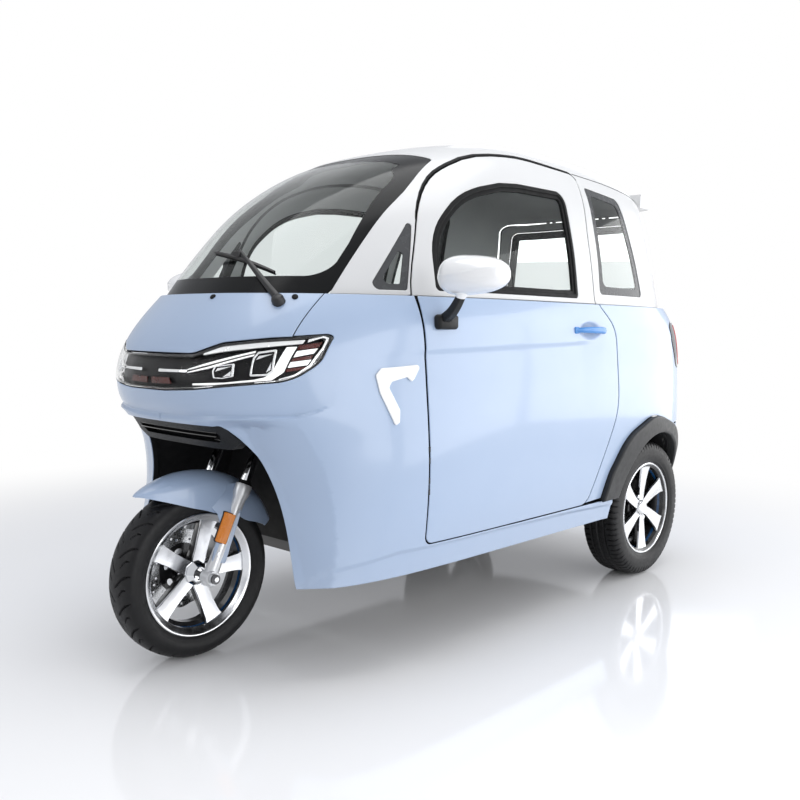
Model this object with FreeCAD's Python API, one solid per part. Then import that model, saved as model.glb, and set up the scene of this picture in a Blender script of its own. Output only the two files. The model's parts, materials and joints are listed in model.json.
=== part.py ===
"""Small enclosed electric three-wheeler: one steered wheel on a telescopic fork in front, two wheels behind.

Frame: +X forward, +Y to the vehicle's left, +Z up. The origin is on the ground, at the middle of the length.
Lengths are millimetres and angles are degrees.
"""
import FreeCAD
import Part
import math
import os

V = FreeCAD.Vector
X_AXIS = V(1, 0, 0)
Y_AXIS = V(0, 1, 0)
Z_AXIS = V(0, 0, 1)

# Body sizes
overall_length = 2290.0
body_half_width = 548.0
sill_height = 250.0
belt_height = 985.0
roof_height = 1518.0
nose_x = 1050.0
tail_x = -1142.0
wall = 30.0
panel_gap = 7.0
glass_thickness = 5.0
glass_recess = 4.0
overrun = 40.0
seat_gap = 0.3
running_gap = 0.05
liner_thickness = 4.0

# Door and tailgate fittings
hinge_height = 45.0
hinge_pin_radius = 1.8
knuckle_radius = 2.9
tail_hinge_depth = -2.1
handle_radius = 9.0
handle_reach = 34.0
mirror_depth = 100.0
mirror_width = 236.0
mirror_height = 120.0
mirror_rim = 8.0
mirror_stalk_radius = 13.0
mirror_stalk_length = 70.0
mirror_stalk_inset = 39.0
projector_length = 90.0

# Lamps, trims and rear pieces
lens_recess = 1.0
lens_thickness = 3.0
lamp_depth = 30.0
lamp_wall = 4.0
lamp_proud = 3.0
grille_recess = 12.0
trim_proud = 2.5
flare_proud = 20.0
spoiler_reach = 42.0
plate_half_width = 110.0
plate_height = 100.0
plate_proud = 3.0
plate_bolt_spacing = 150.0
plate_bolt_radius = 3.2
wiper_arm_radius = 4.0
wiper_spindle_radius = 9.0
wiper_blade_radius = 5.0

# Front wheel and fork
wheelbase = 1640.0
front_tyre_radius = 229.5
front_tyre_width = 110.0
rake_angle = 26.0
fork_offset = 38.0
fork_leg_spacing = 170.0
fork_tube_radius = 15.0
fork_tube_low = 205.0
fork_tube_high = 418.0
slider_radius = 20.5
slider_foot = 14.0
slider_top = 262.0
collar_radius = 25.0
collar_height = 26.0
axle_radius = 7.5
axle_nut_radius = 13.0
lug_radius = 23.0
lug_proud = 2.0
axle_collar_radius = 12.0
axle_collar_length = 10.0
neck_radius = 24.0
stay_width = 46.0
stay_thickness = 4.0
yoke_radius = 23.0
yoke_height = 46.0
yoke_thickness = 28.0
stem_radius = 14.0
head_radius = 27.0
head_low = 428.0
head_high = 560.0
bar_height = 850.0
bar_radius = 11.0
bar_half_width = 300.0
grip_radius = 17.0
grip_length = 115.0
guard_gap = 50.0
guard_thickness = 4.0
guard_half_width = 66.0
guard_drop = 26.0
guard_front_angle = 52.0
guard_rear_angle = 157.0
guard_nose_length = 90.0
caliper_from_angle = 138.0
caliper_to_angle = 168.0

# Rims, tyres and brakes
rim_radius = 166.0
rim_wall = 5.0
rim_side_wall = 15.0
rim_seat_drop = 14.0
rim_well_drop = 26.0
bead_width = 13.0
front_spoke_count = 5
rear_spoke_count = 6
front_rim_width = 92.0
rear_rim_width = 118.0
spoke_depth = 34.0
front_spoke_width = 44.0
rear_spoke_width = 30.0
front_hub_radius = 33.0
front_hub_length = 88.0
rear_hub_length = 84.0
rear_hub_radius = 44.0
rear_tyre_radius = 247.0
rear_tyre_width = 136.0
rear_track = 872.0
tyre_facets = 60
disc_radius = 110.0
disc_inner_radius = 58.0
disc_thickness = 4.0
disc_offset = 50.0
caliper_gap = 3.0
caliper_wall = 14.0
caliper_depth = 30.0
drum_radius = 92.0
drum_width = 46.0
drum_gap = 10.0
rear_spoke_lean = 9.0
stub_radius = 20.0

# Underside
rail_width = 40.0
rail_height = 45.0
rail_spacing = 480.0
ground_clearance = 205.0
floor_thickness = 18.0
deck_height = 462.0
axle_tube_radius = 27.0
motor_radius = 92.0
motor_length = 190.0
leaf_width = 44.0
leaf_thickness = 7.0
leaf_count = 3
leaf_rise = 34.0
spring_half_length = 200.0
eye_radius = 12.0
pad_half_length = 30.0
arch_gap = 38.0

# Interior
seat_radius = 28.0
seat_length = 440.0
seat_half_width = 210.0
seat_cushion = 120.0
seat_back_thickness = 90.0
seat_back_height = 560.0
seat_front_x = 110.0
seat_box_height = 112.0
bench_length = 380.0
bench_half_width = 300.0
bench_thickness = 120.0
bench_back_thickness = 70.0
bench_back_height = 350.0
dash_rear_x = 580.0
dash_front_x = 800.0
dash_edge_radius = 18.0
battery_height = 96.0

# Tables of shares. Along X, 1 is the nose reach and -1 the tail reach. Across Y, 1 is the body's half width.
# For heights 0 is the sill, 1 the belt and 2 the roof. A corner radius is a share of the body's half width.
# Rings of the lower body: height, nose reach, half width, tail reach and widest station, then the squareness
# of the front and rear corners
lower_ring_shares = [
    (0.000, 0.886, 0.922, 0.954, 0.019, 5.00, 5.00),
    (0.204, 0.857, 0.967, 0.981, 0.019, 4.20, 5.00),
    (0.367, 0.871, 0.991, 0.998, 0.019, 3.60, 5.00),
    (0.503, 0.929, 1.000, 0.994, 0.019, 3.00, 5.00),
    (0.585, 0.981, 1.000, 0.990, 0.019, 2.70, 5.00),
    (0.667, 1.000, 0.998, 0.988, 0.019, 2.55, 5.00),
    (0.748, 0.995, 0.995, 0.981, 0.019, 2.50, 5.00),
    (0.830, 0.967, 0.991, 0.970, 0.019, 2.50, 5.00),
    (0.912, 0.921, 0.982, 0.944, 0.019, 2.50, 5.00),
    (1.000, 0.862, 0.945, 0.902, 0.019, 2.50, 5.00),
]
# Rings of the upper body, whose heights run from 0 at the belt to 1 at the roof's crown
upper_ring_shares = [
    (0.000, 0.862, 0.922, 0.880, 0.019, 2.35, 5.00),
    (0.141, 0.805, 0.898, 0.871, 0.019, 2.35, 5.00),
    (0.310, 0.724, 0.865, 0.865, 0.019, 2.40, 5.00),
    (0.478, 0.629, 0.821, 0.863, 0.010, 2.50, 5.00),
    (0.629, 0.519, 0.774, 0.863, -0.010, 2.50, 5.00),
    (0.760, 0.390, 0.712, 0.863, -0.065, 2.60, 4.60),
    (0.854, 0.257, 0.642, 0.814, -0.165, 2.60, 4.00),
    (0.929, 0.105, 0.538, 0.709, -0.250, 2.50, 3.20),
    (0.979, -0.029, 0.383, 0.552, -0.290, 2.30, 2.50),
    (1.000, -0.143, 0.182, 0.377, -0.290, 2.00, 2.00),
]
# Side outlines: along X, height and corner radius
door_shares = [
    (0.5, 0.1075, 0.0401), (0.4981, 1.0281, 0.3285), (0.3924, 1.591, 0.4745), (0.1619, 1.8049, 0.7664),
    (-0.0525, 1.848, 1.6423), (-0.324, 1.8218, 0.0456), (-0.2785, 1.3846, 1.0949), (-0.2644, 1, 0.1095),
    (-0.3345, 0.8844, 0.2372), (-0.3573, 0.5306, 0.4015), (-0.2846, 0.2993, 0.4745), (-0.2294, 0.1075,
                                                                                      0.0912),
]
door_window_shares = [
    (0.419, 1.0338, 0.0219), (0.4038, 1.3377, 0.1095), (0.2857, 1.5478, 0.292), (0.1048, 1.6623, 0.5474),
    (-0.2067, 1.6754, 0.0365), (-0.1813, 1.0338, 0.0219),
]
quarter_window_shares = [
    (0.6038, 1.0281, 0.0255), (0.461, 1.3659, 0.0146), (0.5162, 1.0281, 0.0146),
]
rear_side_window_shares = [
    (-0.3047, 1.0657, 0.0255), (-0.3485, 1.7486, 0.0255), (-0.5403, 1.7148, 0.0547), (-0.5744, 1.0657,
                                                                                      0.0292),
]
flare_shares = [
    (-0.2347, 0.098, 0), (-0.2785, 0.2585, 0.2555), (-0.3967, 0.4299, 0.4015), (-0.5928, 0.4844, 0.4015),
    (-0.7758, 0.4054, 0.365), (-0.8897, 0.2313, 0.292), (-0.9212, 0.098, 0),
]
# Outlines seen from the front: across Y, height and corner radius
lamp_shares = [
    (-0.7409, 0.8571, 0.0219), (-0.5803, 0.8422, 0), (-0.4106, 0.8245, 0.1095), (-0.292, 0.7864, 0.1095),
    (0.292, 0.7864, 0.1095), (0.4106, 0.8245, 0.1095), (0.5803, 0.8422, 0), (0.7409, 0.8571, 0.0219),
    (0.7336, 0.7646, 0.1095), (0.6752, 0.7048, 0.1095), (0.3212, 0.6721, 0.5474), (0.146, 0.6639, 0.5474),
    (-0.146, 0.6639, 0.5474), (-0.3212, 0.6721, 0.5474), (-0.6752, 0.7048, 0.1095), (-0.7336, 0.7646, 0.1095),
]
bonnet_shares = [
    (-0.6423, 1.0281, 0), (-0.6423, 0.8476, 0), (-0.5803, 0.8422, 0), (-0.4106, 0.8245, 0.1095),
    (-0.292, 0.7864, 0.1095), (0.292, 0.7864, 0.1095), (0.4106, 0.8245, 0.1095), (0.5803, 0.8422, 0),
    (0.6423, 0.8476, 0), (0.6423, 1.0281, 0),
]
arch_mouth_shares = [
    (-0.7208, -0.034, 0), (-0.4891, 0.4014, 0.219), (-0.396, 0.5415, 0.0255), (0.396, 0.5415, 0.0255),
    (0.4891, 0.4014, 0.219), (0.7208, -0.034, 0),
]
grille_shares = [
    (-0.4307, 0.4844, 0), (-0.396, 0.5408, 0.0219), (0.396, 0.5408, 0.0219), (0.4307, 0.4844, 0),
    (0.3577, 0.4544, 0.0547), (-0.3577, 0.4544, 0.0547),
]
grille_slot_shares = [
    (-0.3504, 0.517, 0.0146), (0.3504, 0.517, 0.0146), (0.3139, 0.4789, 0.0219), (-0.3139, 0.4789, 0.0219),
]
tailgate_shares = [
    (-0.7026, 0.4218, 0.0912), (-0.7026, 0.966, 0.5474), (-0.6113, 1.6886, 0.073), (0.6113, 1.6886, 0.073),
    (0.7026, 0.966, 0.5474), (0.7026, 0.4218, 0.0912),
]
rear_window_shares = [
    (-0.6131, 1.1032, 0.0547), (-0.5438, 1.6248, 0.0547), (0.5438, 1.6248, 0.0547), (0.6131, 1.1032, 0.0547),
]
tail_lamp_shares = [
    (0.7518, 0.6939, 0.0365), (0.7518, 0.9184, 0.0365), (0.9124, 0.9361, 0.0547), (0.9234, 0.8299, 0.1095),
    (0.9088, 0.6939, 0.0365),
]
# Outlines seen from above: along X, across Y and corner radius
windshield_shares = [
    (0.9524, -0.6314, 0), (0.9524, 0.6314, 0), (0.4286, 0.6314, 0.5474), (0.2743, 0.5584, 0.0219),
    (0.32, 0.2007, 1.0949), (0.32, -0.2007, 1.0949), (0.2743, -0.5584, 0.0219), (0.4286, -0.6314, 0.5474),
]
roof_shares = [
    (0.24, -0.5474, 0.073), (0.24, 0.5474, 0.073), (-0.0525, 0.6095, 1.0949), (-0.7881, 0.5474, 0.1642),
    (-0.8275, 0.2007, 0.5474), (-0.8275, -0.2007, 0.5474), (-0.7881, -0.5474, 0.1642),
    (-0.0525, -0.6095, 1.0949),
]
side_trim_shares = [
    (0.6524, 0.7102, 0.0146), (0.6362, 0.7279, 0.0146), (0.5248, 0.751, 0.0182), (0.5352, 0.7279, 0),
    (0.5533, 0.6952, 0.0547), (0.5771, 0.6735, 0.0365), (0.5962, 0.5497, 0.0146), (0.6095, 0.5633, 0.0146),
    (0.64, 0.6463, 0.0547),
]
spoiler_shares = [
    (-0.7881, 1.728, 0), (-0.8827, 1.728, 0.0073), (-0.8967, 1.7486, 0.0073), (-0.8231, 1.8236, 0),
    (-0.7881, 1.8236, 0),
]
# Single shares of the same kinds
cabin_side_share = 0.2737
hood_back_share = 0.5714
tail_front_share = -0.7005
sill_back_share = -0.3765
bumper_front_share = -0.7881
hinge_share = 0.9498
hinge_level_shares = (0.2884, 0.4014)
tail_hinge_shares = (-0.2737, 0.1916)
spoiler_half_share = 0.6168
handle_front_share = -0.1138
handle_back_share = -0.2732
handle_out_share = 1.0109
handle_level_share = 0.8844
mirror_shares = (0.4762, 1.1442, 1.0788)
mirror_foot_shares = (0.4362, 0.9197, 0.9075)
projector_shares = [(0.8571, 0.4051, 0.7687, 0.0493, 18), (0.8190, 0.5803, 0.7782, 0.0456, 30)]
wiper_shares = [
    (0.8067, 0.5201, 0.9660), (0.8095, 0.5073, 0.9959), (0.7829, 0.1569, 1.2120),
    (0.8048, 0.0146, 1.2083), (0.7733, 0.4161, 1.1126),
]
dash_low_share = 0.8653
dash_top_share = 0.9823
kick_share = -0.3853
rear_cross_shares = (-0.9282, -0.7881, -0.4904)
front_cross_shares = (-0.3503, 0.0571)
plate_low_share = 0.2585
liner_back_share = 0.5333
arch_liner_share = 0.5949
roof_low_share = 1.4034
# Along a piece, and the size there
handle_end_share = 0.55
handle_taper_share = 0.14
mirror_section_shares = ((-0.3, 0.94), (-0.12, 1), (0.2, 0.92), (0.42, 0.68), (0.5, 0.32))
# Drop of the mudguard's section and the width there, from the crown to the edge
guard_section_shares = ((0, 0), (0.1, 0.5), (0.42, 0.86), (1, 1))
guard_tip_share = 0.1
# Height above the rim and width of a tyre's section
tyre_section_shares = ((0.16, 0.9), (0.48, 1), (0.82, 0.88), (0.95, 0.7), (1, 0.35))
# Along a spoke, width, inner face and outer face
front_spoke_shares = ((0, 0.8, -0.4, 0.5), (0.55, 0.85, -0.2, 0.6), (1, 1.3, 0.05, 0.75))
rear_spoke_shares = ((0, 0.8, 0.1, 0.7), (0.5, 0.8, 0.2, 0.78), (1, 1.3, 0.35, 0.86))
leaf_point_shares = (-1, -0.6, -0.2, 0.2, 0.6, 1)
surface_degree = 3
corner_reach = 0.48
tightest_share = 0.25
quarter_turn = 90.0
third_turn = 120.0
full_turn = 360.0
knuckle_count = 3
points_per_quadrant = 8
tail_spacing_share = 1.15
row_spacing = 50.0
chord_angle = 14.0

half_length = overall_length / 2
front_axle_x = half_length - front_tyre_radius
rear_axle_x = front_axle_x - wheelbase
FRONT_AXLE = V(front_axle_x, 0, front_tyre_radius)
REAR_AXLE = V(rear_axle_x, 0, rear_tyre_radius)
rake = math.radians(rake_angle)
STEER_UP = V(-math.sin(rake), 0, math.cos(rake))
STEER_BACK = V(-math.cos(rake), 0, -math.sin(rake))


def station(share):
    """The place along X of a share of the nose or tail reach."""
    return share * (nose_x if share > 0 else -tail_x)


def level(share):
    """The height of a share that is 0 at the sill, 1 at the belt and 2 at the roof."""
    if share <= 1:
        return sill_height + share * (belt_height - sill_height)
    return belt_height + (share - 1) * (roof_height - belt_height)


def across(share):
    return share * body_half_width


def superellipse_quadrant(reach, half, square, count):
    """Points from (reach, 0) to (0, half) on |x/reach|^n + |y/half|^n = 1, evenly spaced along the curve."""
    fine = 1200
    raw = []
    for i in range(fine + 1):
        angle = math.pi / 2 * i / fine
        raw.append((reach * math.cos(angle) ** (2 / square), half * math.sin(angle) ** (2 / square)))
    lengths = [0.0]
    for a, b in zip(raw, raw[1:]):
        lengths.append(lengths[-1] + math.hypot(b[0] - a[0], b[1] - a[1]))
    picked = []
    at = 1
    for i in range(count + 1):
        wanted = lengths[-1] * i / count
        while at < fine and lengths[at] < wanted:
            at += 1
        t = (wanted - lengths[at - 1]) / (lengths[at] - lengths[at - 1])
        picked.append((raw[at - 1][0] * (1 - t) + raw[at][0] * t, raw[at - 1][1] * (1 - t) + raw[at][1] * t))
    return picked


def half_ring(z, nose, half, tail, middle, nose_square, tail_square):
    """Points at height z from the tail's middle round the left side to the nose's middle."""
    front = superellipse_quadrant(nose - middle, half, nose_square, points_per_quadrant)
    rear = superellipse_quadrant(middle - tail, half, tail_square, points_per_quadrant)
    return [V(middle - x, y, z) for x, y in rear] + [V(middle + x, y, z) for x, y in reversed(front[:-1])]


def skinned(rows):
    """A smooth face through rows of points that run from the tail's middle to the nose's middle."""
    along = [0.0]
    for i in range(2 * points_per_quadrant):
        along.append(along[-1] + (tail_spacing_share if i < points_per_quadrant else 1.0))
    up = [0.0]
    for low, high in zip(rows, rows[1:]):
        up.append(up[-1] + sum((b - a).Length for a, b in zip(low, high)) / len(low) / row_spacing)
    rings = []
    for row in rows:
        ring = Part.BSplineCurve()
        leaving = V(0, (row[1] - row[0]).Length / tail_spacing_share, 0)
        arriving = V(0, -(row[-1] - row[-2]).Length, 0)
        ring.interpolate(Points=row, Parameters=along, InitialTangent=leaving, FinalTangent=arriving,
                         Scale=False)
        rings.append(ring)
    columns = []
    for i in range(1, rings[0].NbPoles + 1):
        column = Part.BSplineCurve()
        column.interpolate(Points=[ring.getPole(i) for ring in rings], Parameters=up)
        columns.append(column)
    surface = Part.BSplineSurface()
    surface.buildFromPolesMultsKnots(
        [column.getPoles() for column in columns],
        rings[0].getMultiplicities(), columns[0].getMultiplicities(),
        rings[0].getKnots(), columns[0].getKnots(), False, False, surface_degree, surface_degree)
    return surface.toShape()


def mirrored(shape):
    return shape.mirror(V(0, 0, 0), Y_AXIS)


def level_loop(face, z):
    """The closed loop of a half face and its mirror image at height z."""
    near = running_gap
    edges = [e for e in face.Edges if abs(e.BoundBox.ZMin - z) < near and abs(e.BoundBox.ZMax - z) < near]
    return Part.Wire(Part.sortEdges(edges + [mirrored(e) for e in edges])[0])


def body_solid(shares, base, top, inset, drop=0.0):
    """The filled body between two heights with its sides moved in by inset and its crown lowered by drop."""
    rows = []
    for rise, nose, half, tail, middle, nose_square, tail_square in shares:
        z = base + rise * (top - base) - drop * rise ** 2
        rows.append(half_ring(z, nose_x * nose - inset, body_half_width * half - inset, tail_x * tail + inset,
                              nose_x * middle, nose_square, tail_square))
    side = skinned(rows)
    caps = [Part.Face(level_loop(side, row[0].z)) for row in (rows[0], rows[-1])]
    shell = Part.makeShell([side, mirrored(side)] + caps)
    shell.sewShape()
    solid = Part.Solid(shell.Shells[0])
    if solid.Volume < 0:
        solid.reverse()
    return solid


def lower_solid(inset):
    return body_solid(lower_ring_shares, sill_height, belt_height, inset)


def upper_solid(inset):
    return body_solid(upper_ring_shares, belt_height, roof_height, inset, inset)


def lower_layer(outside, inside):
    """The lower body's skin between two depths."""
    return lower_solid(outside).cut(lower_solid(inside))


def upper_layer(outside, inside):
    return upper_solid(outside).cut(upper_solid(inside))


def outline(points, place):
    """A closed wire of straight runs whose corners are rounded off by short chords. Each point is
    (u, v, radius), and place turns (u, v) into a point of the model."""
    count = len(points)
    corners = []
    for i, (u, v, radius) in enumerate(points):
        before = points[i - 1]
        after = points[(i + 1) % count]
        corner = V(u, v, 0)
        if radius == 0:
            corners.append(corner)
            continue
        a = V(before[0] - u, before[1] - v, 0)
        b = V(after[0] - u, after[1] - v, 0)
        turn = a.getAngle(b)
        reach = min(radius / math.tan(turn / 2), corner_reach * a.Length, corner_reach * b.Length)
        a.normalize()
        b.normalize()
        start = corner + a * reach
        end = corner + b * reach
        steps = max(1, round((math.pi - turn) / math.radians(chord_angle)))
        weight = math.cos((math.pi - turn) / 2)
        for k in range(steps + 1):
            t = k / steps
            middle_share = 2 * t * (1 - t) * weight
            total = (1 - t) ** 2 + middle_share + t ** 2
            mixed = start * ((1 - t) ** 2) + corner * middle_share + end * (t ** 2)
            corners.append(mixed * (1 / total))
    return Part.makePolygon([place(c.x, c.y) for c in corners + corners[:1]])


def grown(points, gap):
    """The same outline with every side moved out by gap."""
    count = len(points)
    area = sum(points[i - 1][0] * points[i][1] - points[i][0] * points[i - 1][1] for i in range(count))
    sign = 1 if area > 0 else -1
    moved = []
    for i, (u, v, radius) in enumerate(points):
        before = points[i - 1]
        after = points[(i + 1) % count]
        a = V(u - before[0], v - before[1], 0).normalize()
        b = V(after[0] - u, after[1] - v, 0).normalize()
        out_a = V(a.y, -a.x, 0) * sign
        out_b = V(b.y, -b.x, 0) * sign
        shift = (out_a + out_b) * (gap / (1 + out_a.dot(out_b)))
        new_radius = radius
        if radius > 0:
            new_radius = radius + gap if (a.x * b.y - a.y * b.x) * sign > 0 else max(radius - gap,
                                                                                     radius * tightest_share)
        moved.append((u + shift.x, v + shift.y, new_radius))
    return moved


def side_points(shares):
    return [(station(x), level(z), across(r)) for x, z, r in shares]


def front_points(shares):
    return [(across(y), level(z), across(r)) for y, z, r in shares]


def plan_points(shares):
    return [(station(x), across(y), across(r)) for x, y, r in shares]


def side_prism(points, y_from, y_to):
    """An (x, z) outline run along Y."""
    wire = outline(points, lambda u, v: V(u, y_from, v))
    return Part.Face(wire).extrude(V(0, y_to - y_from, 0))


def front_prism(points, x_from, x_to):
    """A (y, z) outline run along X."""
    wire = outline(points, lambda u, v: V(x_from, u, v))
    return Part.Face(wire).extrude(V(x_to - x_from, 0, 0))


def plan_prism(points, z_from, z_to):
    """An (x, y) outline run along Z."""
    wire = outline(points, lambda u, v: V(u, v, z_from))
    return Part.Face(wire).extrude(V(0, 0, z_to - z_from))


def block(x_from, x_to, y_from, y_to, z_from, z_to):
    return Part.makeBox(x_to - x_from, y_to - y_from, z_to - z_from, V(x_from, y_from, z_from))


def soft_block(radius, *bounds):
    """A block with all its edges rounded."""
    solid = block(*bounds)
    return solid.makeFillet(radius, solid.Edges)


def bar(start, end, radius, bore=0.0):
    """A round bar from start to end, hollow where bore is given."""
    along = end - start
    solid = Part.makeCylinder(radius, along.Length, start, along)
    if bore > 0:
        solid = solid.cut(Part.makeCylinder(bore, along.Length, start, along))
    return solid


def turned(profile, centre, sweep=360.0):
    """Revolves a closed profile of (radius, y) points about the wheel axis through centre."""
    points = [V(centre.x, centre.y + y, centre.z + r) for r, y in profile]
    wire = Part.makePolygon(points + points[:1])
    return Part.Face(wire).revolve(centre, Y_AXIS, sweep)


def fused(shapes):
    return shapes[0].multiFuse(shapes[1:]).removeSplitter()


def biggest(shape):
    """The largest solid of a shape, without slivers that a cut leaves."""
    return max(shape.Solids, key=lambda s: s.Volume)


def both_sides(shape):
    return [shape, mirrored(shape)]


def save(name, *shapes):
    """Writes one STEP file that holds the solids of the shapes."""
    solids = []
    for shape in shapes:
        solids += shape.Solids
    whole = solids[0] if len(solids) == 1 else Part.makeCompound(solids)
    whole.exportStep("parts/" + name + ".step")


# Outlines on the body, in millimetres
door_outline = side_points(door_shares)
tailgate_outline = front_points(tailgate_shares)
mouth_outline = front_points(arch_mouth_shares)

# Planes and heights that several pieces share
far_side = body_half_width + overrun
near_side = across(cabin_side_share)
door_front_x = door_outline[0][0]
door_bottom = door_outline[0][1]
sill_top = door_bottom - panel_gap
hood_back = station(hood_back_share)
tail_front = station(tail_front_share)
tailgate_low = tailgate_outline[0][1]
tailgate_top = tailgate_outline[2][1]
bumper_top = tailgate_low - panel_gap
bumper_half = tailgate_outline[-1][0] + panel_gap
arch_radius = rear_tyre_radius + arch_gap
rail_top = ground_clearance + rail_height
floor_top = sill_height + floor_thickness
deck_top = deck_height + floor_thickness
kick_x = station(kick_share)
lens_back = lens_recess + lens_thickness
lamp_floor = lens_back + lamp_depth
nose_end = nose_x + overrun
tail_end = tail_x - overrun
rim_seat = rim_radius - rim_seat_drop
leaf_spread = leaf_count * leaf_thickness
spring_base = rear_tyre_radius + axle_tube_radius + leaf_thickness
neck_foot = V(door_front_x, 0, rail_top - rail_width / 2)


def on_steering_axis(distance):
    """A point on the steering axis, the given distance above the point nearest the front axle."""
    return FRONT_AXLE + STEER_BACK * fork_offset + STEER_UP * distance


def on_fork_leg(distance, side):
    """A point on a fork leg's axis, above the axle."""
    return FRONT_AXLE + STEER_UP * distance + V(0, side * fork_leg_spacing / 2, 0)


def turned_between(profile, centre, angle_from, angle_to):
    """A revolved piece between two angles, counted from straight ahead up over the wheel's top."""
    piece = turned(profile, centre, angle_to - angle_from)
    piece.rotate(centre, Y_AXIS, quarter_turn - angle_to)
    return piece


def arch_drum(radius, y_from, y_to):
    """A cylinder about the left rear axle between two distances from the centre plane."""
    return Part.makeCylinder(radius, y_to - y_from, V(REAR_AXLE.x, y_from, REAR_AXLE.z), Y_AXIS)


def knuckle(base, run, towards, inward):
    """A sleeve along run with a web to the edge that carries it."""
    web = Part.Face(Part.makePolygon([base, base + towards, base + towards + inward, base + inward,
                                      base])).extrude(run)
    return bar(base, base + run, knuckle_radius).fuse(web)


def hinge(start, along, fixed_edge, moving_edge, inward):
    """The pin with its two fixed knuckles, the moving knuckle between them, and the pin's bore."""
    third = along * (1 / knuckle_count)
    gap = along.normalize() * seat_gap
    run = third - gap
    pin = bar(start, start + along, hinge_pin_radius)
    ends = [knuckle(start, run, fixed_edge, inward),
            knuckle(start + third * 2 + gap, run, fixed_edge, inward)]
    bore = bar(start, start + along, hinge_pin_radius + running_gap)
    middle = knuckle(start + third, third, moving_edge, inward).cut(bore)
    return fused([pin] + ends), middle


# Cutting tools on the body's outlines
door_tool = side_prism(door_outline, near_side, far_side)
door_gap_tool = side_prism(grown(door_outline, panel_gap), near_side, far_side)
door_window_tool = side_prism(side_points(door_window_shares), near_side, far_side)
quarter_tool = side_prism(side_points(quarter_window_shares), near_side, far_side)
rear_side_tool = side_prism(side_points(rear_side_window_shares), near_side, far_side)
flare_tool = side_prism(side_points(flare_shares), near_side, far_side)
screen_tool = plan_prism(plan_points(windshield_shares), belt_height - overrun, roof_height + overrun)
roof_tool = plan_prism(plan_points(roof_shares), level(roof_low_share), roof_height + overrun)
lamp_tool = front_prism(front_points(lamp_shares), hood_back, nose_end)
bonnet_tool = front_prism(front_points(bonnet_shares), hood_back, nose_end)
tail_tool = front_prism(tailgate_outline, tail_end, tail_front)
tail_gap_tool = front_prism(grown(tailgate_outline, panel_gap), tail_end, tail_front)
rear_window_tool = front_prism(front_points(rear_window_shares), tail_end, tail_front)
tail_lamp_tool = front_prism(front_points(tail_lamp_shares), tail_end, tail_front)
bumper_tool = block(tail_end, station(bumper_front_share), -bumper_half, bumper_half, sill_height, bumper_top)
sill_tool = block(station(sill_back_share), door_front_x + panel_gap, near_side, far_side, sill_height,
                  sill_top)


def build_lower_body(skin):
    front_zone = block(door_front_x + panel_gap, nose_end, -far_side, far_side, sill_height, belt_height)
    mouth_tool = front_prism(mouth_outline, hood_back, nose_end)
    save("front_panel", biggest(skin.common(front_zone).cut([lamp_tool, bonnet_tool, mouth_tool])))
    save("bonnet", biggest(skin.common(bonnet_tool).cut(lamp_tool)))
    arch = arch_drum(arch_radius, near_side, far_side)
    save("sills", *both_sides(biggest(skin.common(sill_tool).cut([arch, flare_tool]))))
    zone = block(tail_end, door_front_x, 0, far_side, sill_height, belt_height)
    cuts = [door_gap_tool, tail_gap_tool, bumper_tool, arch, flare_tool, tail_lamp_tool, sill_tool]
    save("rear_quarters", *both_sides(biggest(skin.common(zone).cut(cuts))))
    lamp = biggest(lower_layer(-lamp_proud, wall).common(tail_lamp_tool))
    save("tail_lamps", *both_sides(lamp))
    flare = lower_layer(-flare_proud, wall).common(flare_tool).cut([arch, door_gap_tool, bumper_tool])
    save("arch_flares", *both_sides(biggest(flare)))


def build_rear_bumper(skin):
    """The bumper with a raised pad for a number plate and the two bores of its bolts."""
    low = level(plate_low_share)
    zone = block(tail_end, tail_front, -plate_half_width, plate_half_width, low, low + plate_height)
    pad = lower_layer(-plate_proud, 0).common(zone)
    arches = both_sides(arch_drum(arch_radius, near_side, far_side))
    bumper = biggest(skin.common(bumper_tool).cut(arches)).fuse(pad).removeSplitter()
    bolts = []
    for side in (-1, 1):
        start = V(tail_end, side * plate_bolt_spacing / 2, low + plate_height / 2)
        bolts.append(bar(start, start + X_AXIS * (tail_front - tail_end), plate_bolt_radius))
    save("rear_bumper", biggest(bumper.cut(bolts)))


def build_upper_body(shell, glass):
    cuts = both_sides(door_gap_tool) + both_sides(quarter_tool) + both_sides(rear_side_tool)
    save("upper_frame", biggest(shell.cut(cuts + [screen_tool, roof_tool, tail_gap_tool])))
    roof = shell.common(roof_tool).cut([screen_tool, tail_gap_tool] + both_sides(door_gap_tool))
    save("roof_panel", biggest(roof))
    half = across(spoiler_half_share)
    lip = upper_layer(-spoiler_reach, 0).common(side_prism(side_points(spoiler_shares), -half, half))
    save("rear_spoiler", biggest(lip))
    save("windshield", biggest(glass.common(screen_tool)))
    panes = [biggest(glass.common(tool)) for tool in (quarter_tool, rear_side_tool)]
    save("side_windows", *(panes + [mirrored(pane) for pane in panes]))


def build_tailgate(skin, shell, glass):
    save("tailgate", biggest(skin.common(tail_tool)))
    frame = biggest(shell.common(tail_tool).cut(rear_window_tool))
    outer_x = tail_x * upper_ring_shares[4][3]
    half_gap = panel_gap / 2
    pins = []
    sleeves = []
    for share in tail_hinge_shares:
        start = V(outer_x + tail_hinge_depth, across(share), tailgate_top + half_gap)
        pin, sleeve = hinge(start, Y_AXIS * hinge_height, Z_AXIS * half_gap, Z_AXIS * -(half_gap + seat_gap),
                            X_AXIS * knuckle_radius)
        pins.append(pin)
        sleeves.append(sleeve)
    save("tailgate_hinges", *pins)
    save("tailgate_frame", biggest(frame.fuse(sleeves).removeSplitter()))
    save("tailgate_window", biggest(glass.common(rear_window_tool)))


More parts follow.
